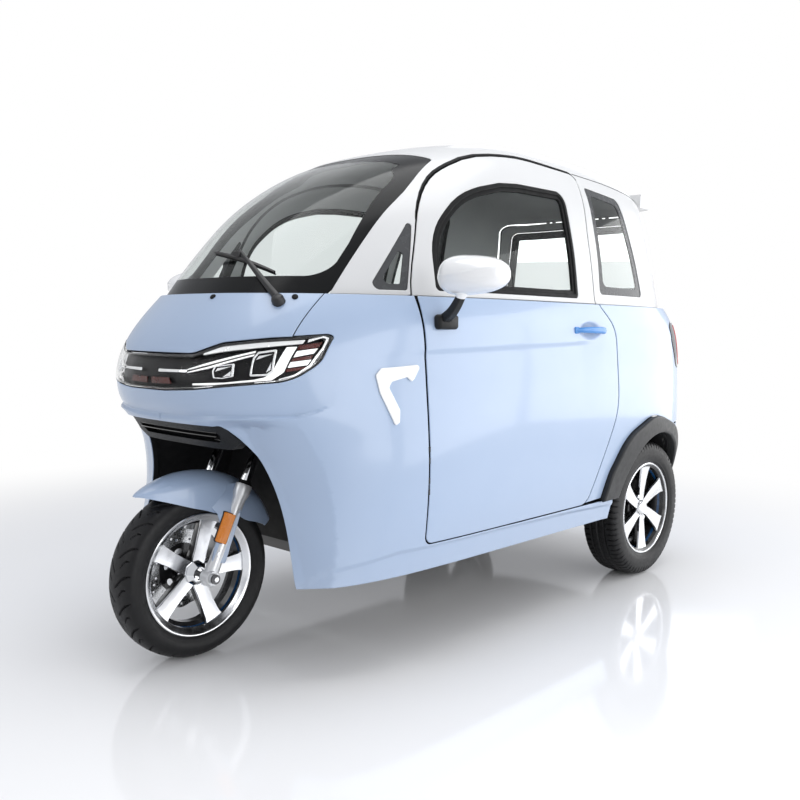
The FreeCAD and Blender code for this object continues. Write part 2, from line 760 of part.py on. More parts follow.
def door_handle(panel):
    """A straight grip with tapered ends, on two feet."""
    front = V(station(handle_front_share), across(handle_out_share), level(handle_level_share))
    back = V(station(handle_back_share), across(handle_out_share), level(handle_level_share))
    run = back - front
    slim = handle_radius * handle_end_share
    taper = run * handle_taper_share
    pieces = [bar(front + taper, back - taper, handle_radius),
              Part.makeCone(handle_radius, slim, taper.Length, front + taper, front - back),
              Part.makeCone(handle_radius, slim, taper.Length, back - taper, run)]
    for end in (front + taper, back - taper):
        pieces.append(bar(end - Y_AXIS * handle_reach, end, slim))
    return biggest(fused(pieces).cut(panel))


def mirror():
    """A rounded housing open towards the driver, with its glass set back in the rim."""
    centre = V(station(mirror_shares[0]), across(mirror_shares[1]), level(mirror_shares[2]))
    width = mirror_width / 2
    rings = []
    for along, size in mirror_section_shares:
        ring = Part.Ellipse(V(0, 0, 0), width * size, mirror_height / 2 * size)
        wire = Part.Wire(ring.toShape())
        wire.rotate(V(0, 0, 0), V(1, 1, 1), third_turn)
        wire.translate(centre + X_AXIS * (mirror_depth * along))
        rings.append(wire)
    housing = Part.makeLoft(rings, True, True)
    recess = mirror_rim / mirror_height * 2
    face = Part.Wire(Part.Ellipse(V(0, 0, 0), width * (1 - recess) - mirror_rim,
                                  mirror_height / 2 - mirror_rim * 2).toShape())
    face.rotate(V(0, 0, 0), V(1, 1, 1), third_turn)
    face.translate(rings[0].BoundBox.Center)
    return housing.cut(Part.Face(face).extrude(X_AXIS * (mirror_rim / 2)))


def mirror_stalk(panel, housing):
    foot = V(station(mirror_foot_shares[0]), across(mirror_foot_shares[1]), level(mirror_foot_shares[2]))
    inboard = across(mirror_shares[1]) - mirror_width / 2
    elbow = V(station(mirror_shares[0]), inboard + mirror_stalk_inset, foot.z + mirror_stalk_radius)
    top = elbow + Z_AXIS * mirror_stalk_length
    pieces = [bar(foot, elbow, mirror_stalk_radius), Part.makeSphere(mirror_stalk_radius, elbow),
              bar(elbow, top, mirror_stalk_radius)]
    return biggest(fused(pieces).cut([panel, housing]))


def build_doors(skin, shell, glass):
    panel = biggest(skin.common(door_tool))
    half_gap = panel_gap / 2
    pins = []
    sleeves = []
    for share in hinge_level_shares:
        start = V(door_front_x + half_gap, across(hinge_share), level(share))
        pin, sleeve = hinge(start, Z_AXIS * hinge_height, X_AXIS * half_gap,
                            X_AXIS * -(half_gap + knuckle_radius),
                            Y_AXIS * -knuckle_radius)
        pins.append(pin)
        sleeves.append(sleeve)
    save("door_hinges", *(pins + [mirrored(pin) for pin in pins]))
    panel = biggest(panel.fuse(sleeves).removeSplitter())
    pieces = {"door_skin": panel, "door_frame": biggest(shell.common(door_tool).cut(door_window_tool))}
    pieces["door_window"] = biggest(glass.common(door_window_tool))
    pieces["door_handle"] = door_handle(panel)
    pieces["mirror"] = mirror()
    pieces["mirror_arm"] = mirror_stalk(panel, pieces["mirror"])
    for name, piece in pieces.items():
        save(name + "_left", piece)
        save(name + "_right", mirrored(piece))


def build_front_lamps():
    """The clear cover over the whole band, and behind it the lamp's tray with two pairs of projectors."""
    save("headlamp_lens", biggest(lower_layer(lens_recess, lens_back).common(lamp_tool)))
    cavity = front_prism(grown(front_points(lamp_shares), -lamp_wall), hood_back, nose_end)
    tray = lower_layer(lens_back, lamp_floor + lamp_wall).common(lamp_tool)
    tray = biggest(tray.cut(lower_layer(0, lamp_floor).common(cavity)))
    room = lower_layer(lens_back + lamp_wall, lamp_floor + lamp_wall / 2)
    barrels = []
    for x, y, z, size, turn in projector_shares:
        aim = V(math.cos(math.radians(turn)), math.sin(math.radians(turn)), 0)
        at = V(station(x), across(y), level(z))
        barrels.append(biggest(bar(at - aim * projector_length, at + aim * projector_length,
                                   across(size)).common(room)))
    save("headlamp_tray", biggest(fused([tray] + barrels + [mirrored(barrel) for barrel in barrels])))
    slot = front_prism(front_points(grille_slot_shares), hood_back, nose_end)
    band = front_prism(front_points(grille_shares), hood_back, nose_end)
    save("intake_grille", biggest(lower_layer(grille_recess, grille_recess + wall).common(band).cut(slot)))


def build_trims():
    trim = lower_layer(-trim_proud, 0).common(side_prism(side_points(side_trim_shares), near_side, far_side))
    save("side_trims", *both_sides(biggest(trim)))
    places = [V(station(x), across(y), level(z)) for x, y, z in wiper_shares]
    base, knee, hub, tip_in, tip_out = places
    pieces = [bar(base, knee, wiper_spindle_radius), bar(knee, hub, wiper_arm_radius)]
    pieces.append(Part.makeSphere(wiper_spindle_radius, knee))
    pieces.append(bar(tip_in, hub, wiper_blade_radius))
    pieces.append(bar(hub, tip_out, wiper_blade_radius))
    pieces.append(Part.makeSphere(wiper_blade_radius, hub))
    wiper = fused(pieces).cut([lower_solid(0), upper_solid(glass_recess)])
    save("wiper", biggest(wiper))


def build_steering():
    stem_low = head_low - yoke_height / 2 - yoke_thickness / 2
    stem = bar(on_steering_axis(stem_low), on_steering_axis(bar_height + stem_radius), stem_radius)
    collar = bar(on_steering_axis(head_high + seat_gap), on_steering_axis(head_high + yoke_thickness / 2),
                 head_radius)
    clamps = [bar(on_fork_leg(fork_tube_high - yoke_height, side), on_fork_leg(fork_tube_high, side),
                  yoke_radius)
              for side in (-1, 1)]
    plate = Part.makeBox(fork_offset + yoke_radius * 2, fork_leg_spacing, yoke_thickness,
                         V(-fork_offset - yoke_radius, -fork_leg_spacing / 2, -yoke_thickness / 2))
    plate.rotate(V(0, 0, 0), Y_AXIS, -rake_angle)
    plate.translate(FRONT_AXLE + STEER_UP * (stem_low + yoke_thickness / 2))
    legs = [bar(on_fork_leg(fork_tube_low, side), on_fork_leg(fork_tube_high, side),
                fork_tube_radius) for side in (-1, 1)]
    at = on_steering_axis(bar_height)
    ends = [V(at.x, side * bar_half_width, at.z) for side in (-1, 1)]
    pieces = [bar(ends[0], ends[1], bar_radius)]
    for side, end in zip((-1, 1), ends):
        pieces.append(bar(end - Y_AXIS * (side * grip_length), end, grip_radius))
    handlebar = fused(pieces)
    save("handlebar", handlebar)
    save("steering_stem", biggest(fused([stem, collar, plate] + clamps).cut(legs + [handlebar])))
    save("fork_tubes", *legs)
    reach = fork_leg_spacing / 2 + lug_radius
    axle_line = (FRONT_AXLE - Y_AXIS * reach, FRONT_AXLE + Y_AXIS * reach)
    sliders = []
    for side in (-1, 1):
        body = bar(on_fork_leg(-slider_foot, side), on_fork_leg(slider_top, side), slider_radius)
        collar = bar(on_fork_leg(slider_top - collar_height, side), on_fork_leg(slider_top, side),
                     collar_radius)
        lug_inner = fork_leg_spacing / 2 - slider_radius - lug_proud
        lug = bar(FRONT_AXLE + Y_AXIS * (side * lug_inner), FRONT_AXLE + Y_AXIS * (side * reach), lug_radius)
        bores = [bar(on_fork_leg(fork_tube_low, side), on_fork_leg(slider_top, side), fork_tube_radius),
                 bar(axle_line[0], axle_line[1], axle_radius)]
        sliders.append(biggest(fused([body, collar, lug]).cut(bores)))
    save("fork_sliders", *sliders)
    inner = fork_leg_spacing / 2 - slider_radius
    pieces = [bar(axle_line[0], axle_line[1], axle_radius)]
    for side in (-1, 1):
        end = FRONT_AXLE + Y_AXIS * (side * reach)
        pieces.append(bar(end, end + Y_AXIS * (side * axle_radius), axle_nut_radius))
        shoulder = FRONT_AXLE + Y_AXIS * (side * lug_inner)
        pieces.append(bar(shoulder - Y_AXIS * (side * axle_collar_length), shoulder, axle_collar_radius))
    save("front_axle", fused(pieces))
    bracket = turned_between([(disc_inner_radius + caliper_wall, -fork_leg_spacing / 2),
                              (disc_radius, -fork_leg_spacing / 2),
                              (disc_radius, -inner), (disc_inner_radius + caliper_wall, -inner)], FRONT_AXLE,
                             quarter_turn + rake_angle, caliper_to_angle)
    save("brake_caliper", biggest(caliper().fuse(bracket).removeSplitter().cut(sliders[0])))


def caliper():
    """A block astride the disc's rim, open to the disc."""
    outer = disc_radius + caliper_wall
    low = disc_radius - caliper_depth
    near = -disc_offset + disc_thickness / 2 + caliper_gap
    far = -disc_offset - disc_thickness / 2 - caliper_gap
    side = fork_leg_spacing / 2 - slider_radius
    return turned_between([(low, -side), (low, far), (disc_radius + caliper_gap, far),
                           (disc_radius + caliper_gap, near),
                           (low, near), (low, near + caliper_wall / 2), (outer,
                                                                         near + caliper_wall / 2),
                                                                         (outer, -side)],
                          FRONT_AXLE, caliper_from_angle, caliper_to_angle)


def build_mudguard():
    """A crowned band over the tyre with a pointed nose, notched round the fork and held by two stays."""
    crown = front_tyre_radius + guard_gap
    outer = [(crown - guard_drop * drop, guard_half_width * wide) for drop, wide in guard_section_shares]
    inner = [(radius - guard_thickness, y * (1 - guard_thickness / guard_half_width)) for radius, y in outer]
    profile = [(radius, -y) for radius, y in reversed(outer[1:])] + outer
    profile += list(reversed(inner)) + [(radius, -y) for radius, y in inner[1:]]
    shell = turned_between(profile, FRONT_AXLE, guard_front_angle, guard_rear_angle)
    tip_x = front_axle_x + crown * math.cos(math.radians(guard_front_angle))
    cuts = []
    for side in (-1, 1):
        near = side * guard_half_width * guard_tip_share
        edge = side * guard_half_width * (1 + guard_tip_share)
        far = side * guard_half_width * 2
        points = [(tip_x, near, 0), (tip_x - guard_nose_length, edge, 0), (tip_x - guard_nose_length, far, 0),
                  (tip_x + overrun, far, 0), (tip_x + overrun, near, 0)]
        cuts.append(plan_prism(points, 0, crown * 2))
    shell = biggest(shell.cut(cuts))
    stays = []
    for side in (-1, 1):
        face = side * (fork_leg_spacing / 2 - slider_radius)
        low = on_fork_leg(fork_tube_low, 0)
        high = on_fork_leg(slider_top + stay_width / 2, 0)
        half = stay_width / 2
        points = [(low.x - half, low.z, half / 2), (low.x + half, low.z, half / 2),
                  (high.x + half, high.z, 0),
                  (high.x - half, high.z, 0)]
        stays.append(side_prism(points, face - side * seat_gap, face - side * stay_thickness))
    limit = Part.makeCylinder(crown - guard_drop / 2, far_side * 2, FRONT_AXLE - Y_AXIS * far_side, Y_AXIS)
    guard = fused([shell] + [stay.common(limit) for stay in stays])
    collars = [bar(on_fork_leg(0, side), on_fork_leg(slider_top + seat_gap, side),
                   collar_radius + seat_gap) for side in (-1, 1)]
    tubes = [bar(on_fork_leg(0, side), on_fork_leg(crown * 2, side),
                 fork_tube_radius + running_gap) for side in (-1, 1)]
    save("front_mudguard", biggest(guard.cut(collars + tubes)))


def rim_barrel(width):
    """The closed profile of a rim's barrel: flanges, tyre seats and well."""
    half = width / 2
    well = rim_radius - rim_well_drop
    outer = [(rim_radius, half), (rim_radius, half - rim_wall), (rim_seat, half - rim_wall * 2),
             (rim_seat, half - rim_wall * 2 - bead_width), (well, half - rim_wall * 2 - bead_width * 2)]
    inner = [(rim_radius - rim_wall, half), (rim_seat - rim_wall, half - rim_wall),
             (rim_seat - rim_wall, half - rim_side_wall - bead_width),
             (well - rim_wall, half - rim_side_wall - bead_width * 2)]
    mirrored_outer = [(radius, -y) for radius, y in reversed(outer)]
    mirrored_inner = [(radius, -y) for radius, y in inner]
    return outer + mirrored_outer + mirrored_inner + list(reversed(inner))


def spoke(sections, lean, angle):
    """A loft through rectangles of (radius, width, inner y, outer y). Lean turns each one about the axle."""
    wires = []
    for i, (radius, width, y_in, y_out) in enumerate(sections):
        half = width / 2
        points = [V(-half, y_in, radius), V(half, y_in, radius), V(half, y_out, radius),
                  V(-half, y_out, radius)]
        wire = Part.makePolygon(points + points[:1])
        wire.rotate(V(0, 0, 0), Y_AXIS, angle + lean * i)
        wires.append(wire)
    return Part.makeLoft(wires, True, True)


def wheel(centre, rim_width, hub_profile, sections, lean, count):
    """A spoked rim fused with its hub."""
    pieces = [turned(rim_barrel(rim_width), V(0, 0, 0)), turned(hub_profile, V(0, 0, 0))]
    pieces += [spoke(sections, lean, i * full_turn / count) for i in range(count)]
    rim = biggest(fused(pieces))
    rim.translate(centre)
    return rim


def tyre(radius, width, rim_width, centre):
    """A tyre in flat facets, with its beads on the rim's seats and against its flanges."""
    half = width / 2
    flange = rim_width / 2 - rim_wall
    height = radius - rim_radius
    flat_share = math.cos(math.pi / tyre_facets)
    edge = [(rim_seat / flat_share, flange - rim_wall), ((rim_radius + seat_gap) / flat_share, flange)]
    edge += [(rim_radius + height * up, half * wide) for up, wide in tyre_section_shares]
    section = edge + [(r, -y) for r, y in reversed(edge)]
    faces = []
    for i in range(tyre_facets):
        ends = []
        for turn in (2 * math.pi * i / tyre_facets, 2 * math.pi * (i + 1) / tyre_facets):
            ends.append([centre + V(-r * math.sin(turn), y, -r * math.cos(turn)) for r, y in section])
        for k in range(len(section)):
            corners = [ends[0][k - 1], ends[1][k - 1], ends[1][k], ends[0][k]]
            faces.append(Part.Face(Part.makePolygon(corners + corners[:1])))
    shell = Part.makeShell(faces)
    shell.sewShape()
    solid = Part.Solid(shell)
    if solid.Volume < 0:
        solid.reverse()
    return solid


def build_wheels():
    half = front_rim_width / 2
    hub_half = front_hub_length / 2
    hub = [(axle_radius + running_gap, -hub_half), (front_hub_radius, -hub_half),
           (front_hub_radius, hub_half - spoke_depth),
           (front_hub_radius - rim_wall, hub_half - rim_wall), (front_hub_radius - rim_wall * 2, hub_half),
           (axle_radius + running_gap, hub_half)]
    well = rim_radius - rim_well_drop - rim_wall / 2
    sections = []
    for out, narrow, low, high in front_spoke_shares:
        radius = front_hub_radius - rim_wall + (well - front_hub_radius + rim_wall) * out
        sections.append((radius, front_spoke_width * narrow, half * low, half * high))
    save("front_rim", wheel(FRONT_AXLE, front_rim_width, hub, sections, 0, front_spoke_count))
    save("front_tyre", tyre(front_tyre_radius, front_tyre_width, front_rim_width, FRONT_AXLE))
    disc = [(disc_inner_radius, -disc_offset - disc_thickness / 2),
            (disc_radius, -disc_offset - disc_thickness / 2),
            (disc_radius, -disc_offset + disc_thickness / 2), (disc_inner_radius,
                                                               -disc_offset + disc_thickness / 2)]
    carrier = [(axle_radius + rim_wall, -disc_offset - disc_thickness / 2),
               (disc_inner_radius, -disc_offset - disc_thickness / 2),
               (disc_inner_radius, -disc_offset + disc_thickness / 2), (front_hub_radius, -hub_half),
               (axle_radius + rim_wall, -hub_half)]
    save("front_brake_disc",
         biggest(turned(disc, FRONT_AXLE).fuse(turned(carrier, FRONT_AXLE)).removeSplitter()))
    centre = V(rear_axle_x, rear_track / 2, rear_tyre_radius)
    half = rear_rim_width / 2
    hub = [(stub_radius + running_gap, -rear_hub_length / 2), (rear_hub_radius, -rear_hub_length / 2),
           (rear_hub_radius, half - spoke_depth), (rear_hub_radius - rim_wall, half - rim_wall * 2),
           (stub_radius + running_gap, half - rim_wall * 2)]
    sections = []
    for out, narrow, low, high in rear_spoke_shares:
        radius = rear_hub_radius - rim_wall + (well - rear_hub_radius + rim_wall) * out
        sections.append((radius, rear_spoke_width * narrow, half * low, half * high))
    rim = wheel(centre, rear_rim_width, hub, sections, rear_spoke_lean, rear_spoke_count)
    rubber = tyre(rear_tyre_radius, rear_tyre_width, rear_rim_width, centre)
    for name, place in (("left", lambda shape: shape), ("right", mirrored)):
        save("rear_rim_" + name, place(rim))
        save("rear_tyre_" + name, place(rubber))


def build_liners():
    """The tunnel over the front wheel and the arches over the rear ones, all let into the body's inside."""
    back = station(liner_back_share)
    room = front_prism(grown(mouth_outline, seat_gap), back + liner_thickness, nose_end)
    tunnel = front_prism(grown(mouth_outline, seat_gap + liner_thickness), back, nose_end).cut(room)
    grommets = [bar(on_steering_axis(head_low - overrun), on_steering_axis(head_high),
                    head_radius + liner_thickness),
                bar(neck_foot, on_steering_axis((head_low + head_high) / 2), neck_radius + liner_thickness)]
    tunnel = tunnel.common(lower_solid(wall)).cut(grommets)
    save("wheel_well_liner", biggest(tunnel))
    inner_wall = across(arch_liner_share)
    shell = arch_drum(arch_radius + liner_thickness, inner_wall, far_side)
    shell = shell.cut(arch_drum(arch_radius, inner_wall + liner_thickness, far_side))
    shell = shell.cut(arch_drum(axle_tube_radius + arch_gap, 0, far_side))
    save("rear_liners", *both_sides(biggest(shell.common(lower_solid(wall)))))


def rear_wheel_room():
    return both_sides(arch_drum(arch_radius + liner_thickness, across(arch_liner_share), far_side))


def build_floor():
    pieces = [block(kick_x - floor_thickness, door_front_x, -far_side, far_side, sill_height, floor_top),
              block(kick_x - floor_thickness, kick_x, -far_side, far_side, sill_height, deck_top),
              block(tail_x, kick_x, -far_side, far_side, deck_height, deck_top)]
    neck_room = bar(neck_foot, on_steering_axis((head_low + head_high) / 2), neck_radius + seat_gap)
    floor = fused(pieces).common(lower_solid(wall)).cut(rear_wheel_room() + [neck_room])
    save("floor_pan", biggest(floor))


def build_chassis():
    half = rail_width / 2
    upright_x = kick_x - floor_thickness
    rear_end = station(rear_cross_shares[0])
    pieces = []
    for side in (-1, 1):
        y = side * rail_spacing / 2
        pieces.append(block(upright_x - rail_width, door_front_x, y - half, y + half, ground_clearance,
                            rail_top))
        pieces.append(block(upright_x - rail_width, upright_x, y - half, y + half, ground_clearance,
                            deck_height))
        pieces.append(block(rear_end, upright_x, y - half, y + half, deck_height - rail_height, deck_height))
        for end in (-1, 1):
            x = rear_axle_x + end * spring_half_length
            eye_z = spring_base + leaf_rise + leaf_spread
            pieces.append(block(x - half, x + half, y - half, y + half, eye_z, deck_height - rail_height))
    for share in front_cross_shares:
        x = station(share)
        pieces.append(block(x, x + rail_width, -rail_spacing / 2, rail_spacing / 2, ground_clearance,
                            rail_top))
    pieces.append(block(door_front_x - rail_width, door_front_x, -rail_spacing / 2, rail_spacing / 2,
                        ground_clearance, rail_top))
    for share in rear_cross_shares:
        x = station(share)
        pieces.append(block(x, x + rail_width, -rail_spacing / 2, rail_spacing / 2,
                            deck_height - rail_height, deck_height))
    pieces.append(bar(on_steering_axis(head_low), on_steering_axis(head_high), head_radius))
    pieces.append(bar(neck_foot, on_steering_axis((head_low + head_high) / 2), neck_radius))
    frame = fused(pieces)
    eyes = []
    for end in (-1, 1):
        at = V(rear_axle_x + end * spring_half_length, 0, spring_base + leaf_rise + leaf_spread)
        eyes.append(bar(at - Y_AXIS * far_side, at + Y_AXIS * far_side, eye_radius))
    frame = frame.cut(eyes + [bar(on_steering_axis(0), on_steering_axis(bar_height),
                                  stem_radius + running_gap)])
    save("chassis_frame", biggest(frame))


def build_rear_axle():
    tube_end = across(arch_liner_share) + liner_thickness + drum_gap
    pieces = [bar(REAR_AXLE - Y_AXIS * tube_end, REAR_AXLE + Y_AXIS * tube_end, axle_tube_radius)]
    stub_end = rear_track / 2 + rear_rim_width / 2 - rim_wall * 2
    pieces.append(bar(REAR_AXLE - Y_AXIS * stub_end, REAR_AXLE + Y_AXIS * stub_end, stub_radius))
    pieces.append(bar(REAR_AXLE - Y_AXIS * (motor_length / 2), REAR_AXLE + Y_AXIS * (motor_length / 2),
                      motor_radius))
    for side in (-1, 1):
        start = REAR_AXLE + Y_AXIS * (side * tube_end)
        pieces.append(bar(start, start + Y_AXIS * (side * drum_width), drum_radius))
        y = side * rail_spacing / 2
        pieces.append(block(rear_axle_x - pad_half_length, rear_axle_x + pad_half_length, y - leaf_width / 2,
                            y + leaf_width / 2, rear_tyre_radius, spring_base))
    save("rear_axle", biggest(fused(pieces)))
    springs = []
    for side in (-1, 1):
        springs.append(leaf_spring(side * rail_spacing / 2))
    save("leaf_springs", *springs)


def leaf_spring(y):
    """Leaves of the same bow and growing length, the longest on top with an eye at each end."""
    low = y - leaf_width / 2
    leaves = []
    for leaf in range(leaf_count):
        half = spring_half_length * (leaf + 2) / (leaf_count + 1)
        bottom = []
        for share in leaf_point_shares:
            rise = leaf_rise * (share * half / spring_half_length) ** 2
            bottom.append((rear_axle_x + share * half, spring_base + leaf * leaf_thickness + rise, 0))
        top = [(x, z + leaf_thickness, 0) for x, z, radius in reversed(bottom)]
        leaves.append(side_prism(bottom + top, low, low + leaf_width))
    for end in (-1, 1):
        at = V(rear_axle_x + end * spring_half_length, low, spring_base + leaf_rise + leaf_spread)
        leaves.append(bar(at, at + Y_AXIS * leaf_width, eye_radius))
    return fused(leaves)


def build_interior():
    seat_back_x = seat_front_x - seat_length
    cushion_low = floor_top + seat_box_height
    cushion = soft_block(seat_radius, seat_back_x, seat_front_x, -seat_half_width, seat_half_width,
                         cushion_low,
                         cushion_low + seat_cushion)
    back = soft_block(seat_radius, seat_back_x - seat_back_thickness, seat_back_x, -seat_half_width,
                      seat_half_width,
                      cushion_low, cushion_low + seat_cushion + seat_back_height)
    save("driver_seat", cushion, back)
    box_wall = liner_thickness
    outside = block(seat_back_x, seat_front_x - seat_radius, -seat_half_width + seat_radius,
                    seat_half_width - seat_radius,
                    floor_top, cushion_low)
    inside = block(seat_back_x + box_wall, seat_front_x - seat_radius - box_wall,
                   -seat_half_width + seat_radius + box_wall,
                   seat_half_width - seat_radius - box_wall, floor_top, cushion_low - box_wall)
    save("seat_box", outside.cut(inside))
    save("battery_pack",
         block(seat_back_x + seat_radius, seat_front_x - seat_radius * 2, -seat_half_width + seat_radius * 2,
                               seat_half_width - seat_radius * 2, floor_top, floor_top + battery_height))
    bench_front = kick_x - floor_thickness - rail_width
    bench_back = bench_front - bench_length
    bench = soft_block(seat_radius, bench_back, bench_front, -bench_half_width, bench_half_width, deck_top,
                       deck_top + bench_thickness)
    rest = soft_block(seat_radius, bench_back - bench_back_thickness, bench_back, -bench_half_width,
                      bench_half_width,
                      deck_top, deck_top + bench_thickness + bench_back_height)
    save("rear_seat", bench, rest)
    low = level(dash_low_share)
    top = level(dash_top_share)
    dash = block(dash_rear_x, dash_front_x, -far_side, far_side, low, top)
    edges = [edge for edge in dash.Edges
             if edge.BoundBox.XMax < dash_rear_x + seat_gap and edge.BoundBox.ZLength < seat_gap]
    dash = dash.makeFillet(dash_edge_radius, edges).common(lower_solid(wall))
    save("dash_panel", biggest(dash))


os.makedirs("parts", exist_ok=True)
lower_skin = lower_layer(0, wall)
upper_shell = upper_layer(0, wall)
glass_layer = upper_layer(glass_recess, glass_recess + glass_thickness)
build_lower_body(lower_skin)
build_rear_bumper(lower_skin)
build_upper_body(upper_shell, glass_layer)
build_tailgate(lower_skin, upper_shell, glass_layer)
build_doors(lower_skin, upper_shell, glass_layer)
build_front_lamps()
build_trims()
build_steering()
build_mudguard()
build_wheels()
build_liners()
build_floor()
build_chassis()
build_rear_axle()
build_interior()
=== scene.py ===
"""Looks of a small enclosed electric three-wheeler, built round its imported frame.

Frame: +X forward, +Y to the vehicle's left, +Z up, in metres. The origin is on the ground, at the middle of the
length. Outlines are written in millimetres, as they are measured on the body, and turned into metres once.
"""
import json
import logging
import math
from dataclasses import dataclass, field
from enum import Enum
from typing import Callable, Iterable, Sequence

import bmesh
import bpy
import numpy as np
from mathutils import Matrix, Vector
from mathutils.geometry import delaunay_2d_cdt

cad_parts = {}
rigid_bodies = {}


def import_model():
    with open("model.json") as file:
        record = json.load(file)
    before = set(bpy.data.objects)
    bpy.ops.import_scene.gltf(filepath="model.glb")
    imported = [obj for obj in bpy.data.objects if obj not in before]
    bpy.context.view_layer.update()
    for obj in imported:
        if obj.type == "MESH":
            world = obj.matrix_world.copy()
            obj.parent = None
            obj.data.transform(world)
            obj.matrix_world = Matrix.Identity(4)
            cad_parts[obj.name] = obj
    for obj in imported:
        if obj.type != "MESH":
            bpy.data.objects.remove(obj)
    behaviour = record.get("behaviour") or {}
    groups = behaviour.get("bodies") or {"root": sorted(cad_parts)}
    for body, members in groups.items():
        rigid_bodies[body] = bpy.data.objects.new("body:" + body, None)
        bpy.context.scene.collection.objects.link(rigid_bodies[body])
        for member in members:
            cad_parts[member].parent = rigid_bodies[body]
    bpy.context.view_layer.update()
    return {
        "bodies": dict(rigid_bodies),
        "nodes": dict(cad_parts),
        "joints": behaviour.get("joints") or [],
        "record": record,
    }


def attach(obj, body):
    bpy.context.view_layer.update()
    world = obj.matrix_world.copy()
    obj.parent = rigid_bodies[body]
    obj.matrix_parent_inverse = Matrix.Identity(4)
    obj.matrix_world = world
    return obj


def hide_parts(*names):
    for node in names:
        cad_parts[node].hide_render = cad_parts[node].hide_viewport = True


LOG = logging.getLogger("three_wheeler")
MM = 0.001
Array = np.ndarray


# Finishes
# ========
class Body(Enum):
    """The moving parts of the vehicle that pieces ride on."""

    SHELL = "body"
    DOOR_LEFT = "door_left"
    DOOR_RIGHT = "door_right"
    TAILGATE = "tailgate"
    STEERING = "steering"
    FRONT_WHEEL = "front_wheel"
    REAR_LEFT = "rear_wheel_left"
    REAR_RIGHT = "rear_wheel_right"


def wire(tree: bpy.types.NodeTree, made: bpy.types.Node, inputs: dict) -> bpy.types.Node:
    """Sets or links the inputs of a shader node.

    Args:
        tree: The nodes that it belongs to.
        made: The node.
        inputs: A value or another node's output for each input.

    Returns:
        The node.
    """
    for name, value in inputs.items():
        if isinstance(value, bpy.types.NodeSocket):
            tree.links.new(value, made.inputs[name])
        else:
            made.inputs[name].default_value = value
    return made


def node(tree: bpy.types.NodeTree, kind: str, inputs: dict) -> bpy.types.Node:
    """A new shader node with its inputs set or linked."""
    return wire(tree, tree.nodes.new(kind), inputs)


def first_of(tree: bpy.types.NodeTree, kind: str) -> bpy.types.Node:
    """The first node of a kind."""
    return next(n for n in tree.nodes if n.type == kind)


def noise(tree: bpy.types.NodeTree, place: bpy.types.NodeSocket, scale: float, detail: float) -> bpy.types.NodeSocket:
    """The level of a noise in metres on the object."""
    return node(tree, "ShaderNodeTexNoise", {"Scale": scale, "Detail": detail, "Vector": place}).outputs["Fac"]


def mix_to(tree: bpy.types.NodeTree, share: bpy.types.NodeSocket, first: bpy.types.NodeSocket,
           second: bpy.types.NodeSocket, output: bpy.types.Node) -> None:
    """Links a mix of two shaders to the output."""
    mix = node(tree, "ShaderNodeMixShader", {"Fac": share, 1: first, 2: second})
    tree.links.new(mix.outputs["Shader"], output.inputs["Surface"])


ROAD_DUST = (0.36, 0.34, 0.31, 1.0)
DUST_FROM, DUST_TO = 0.42, 0.18


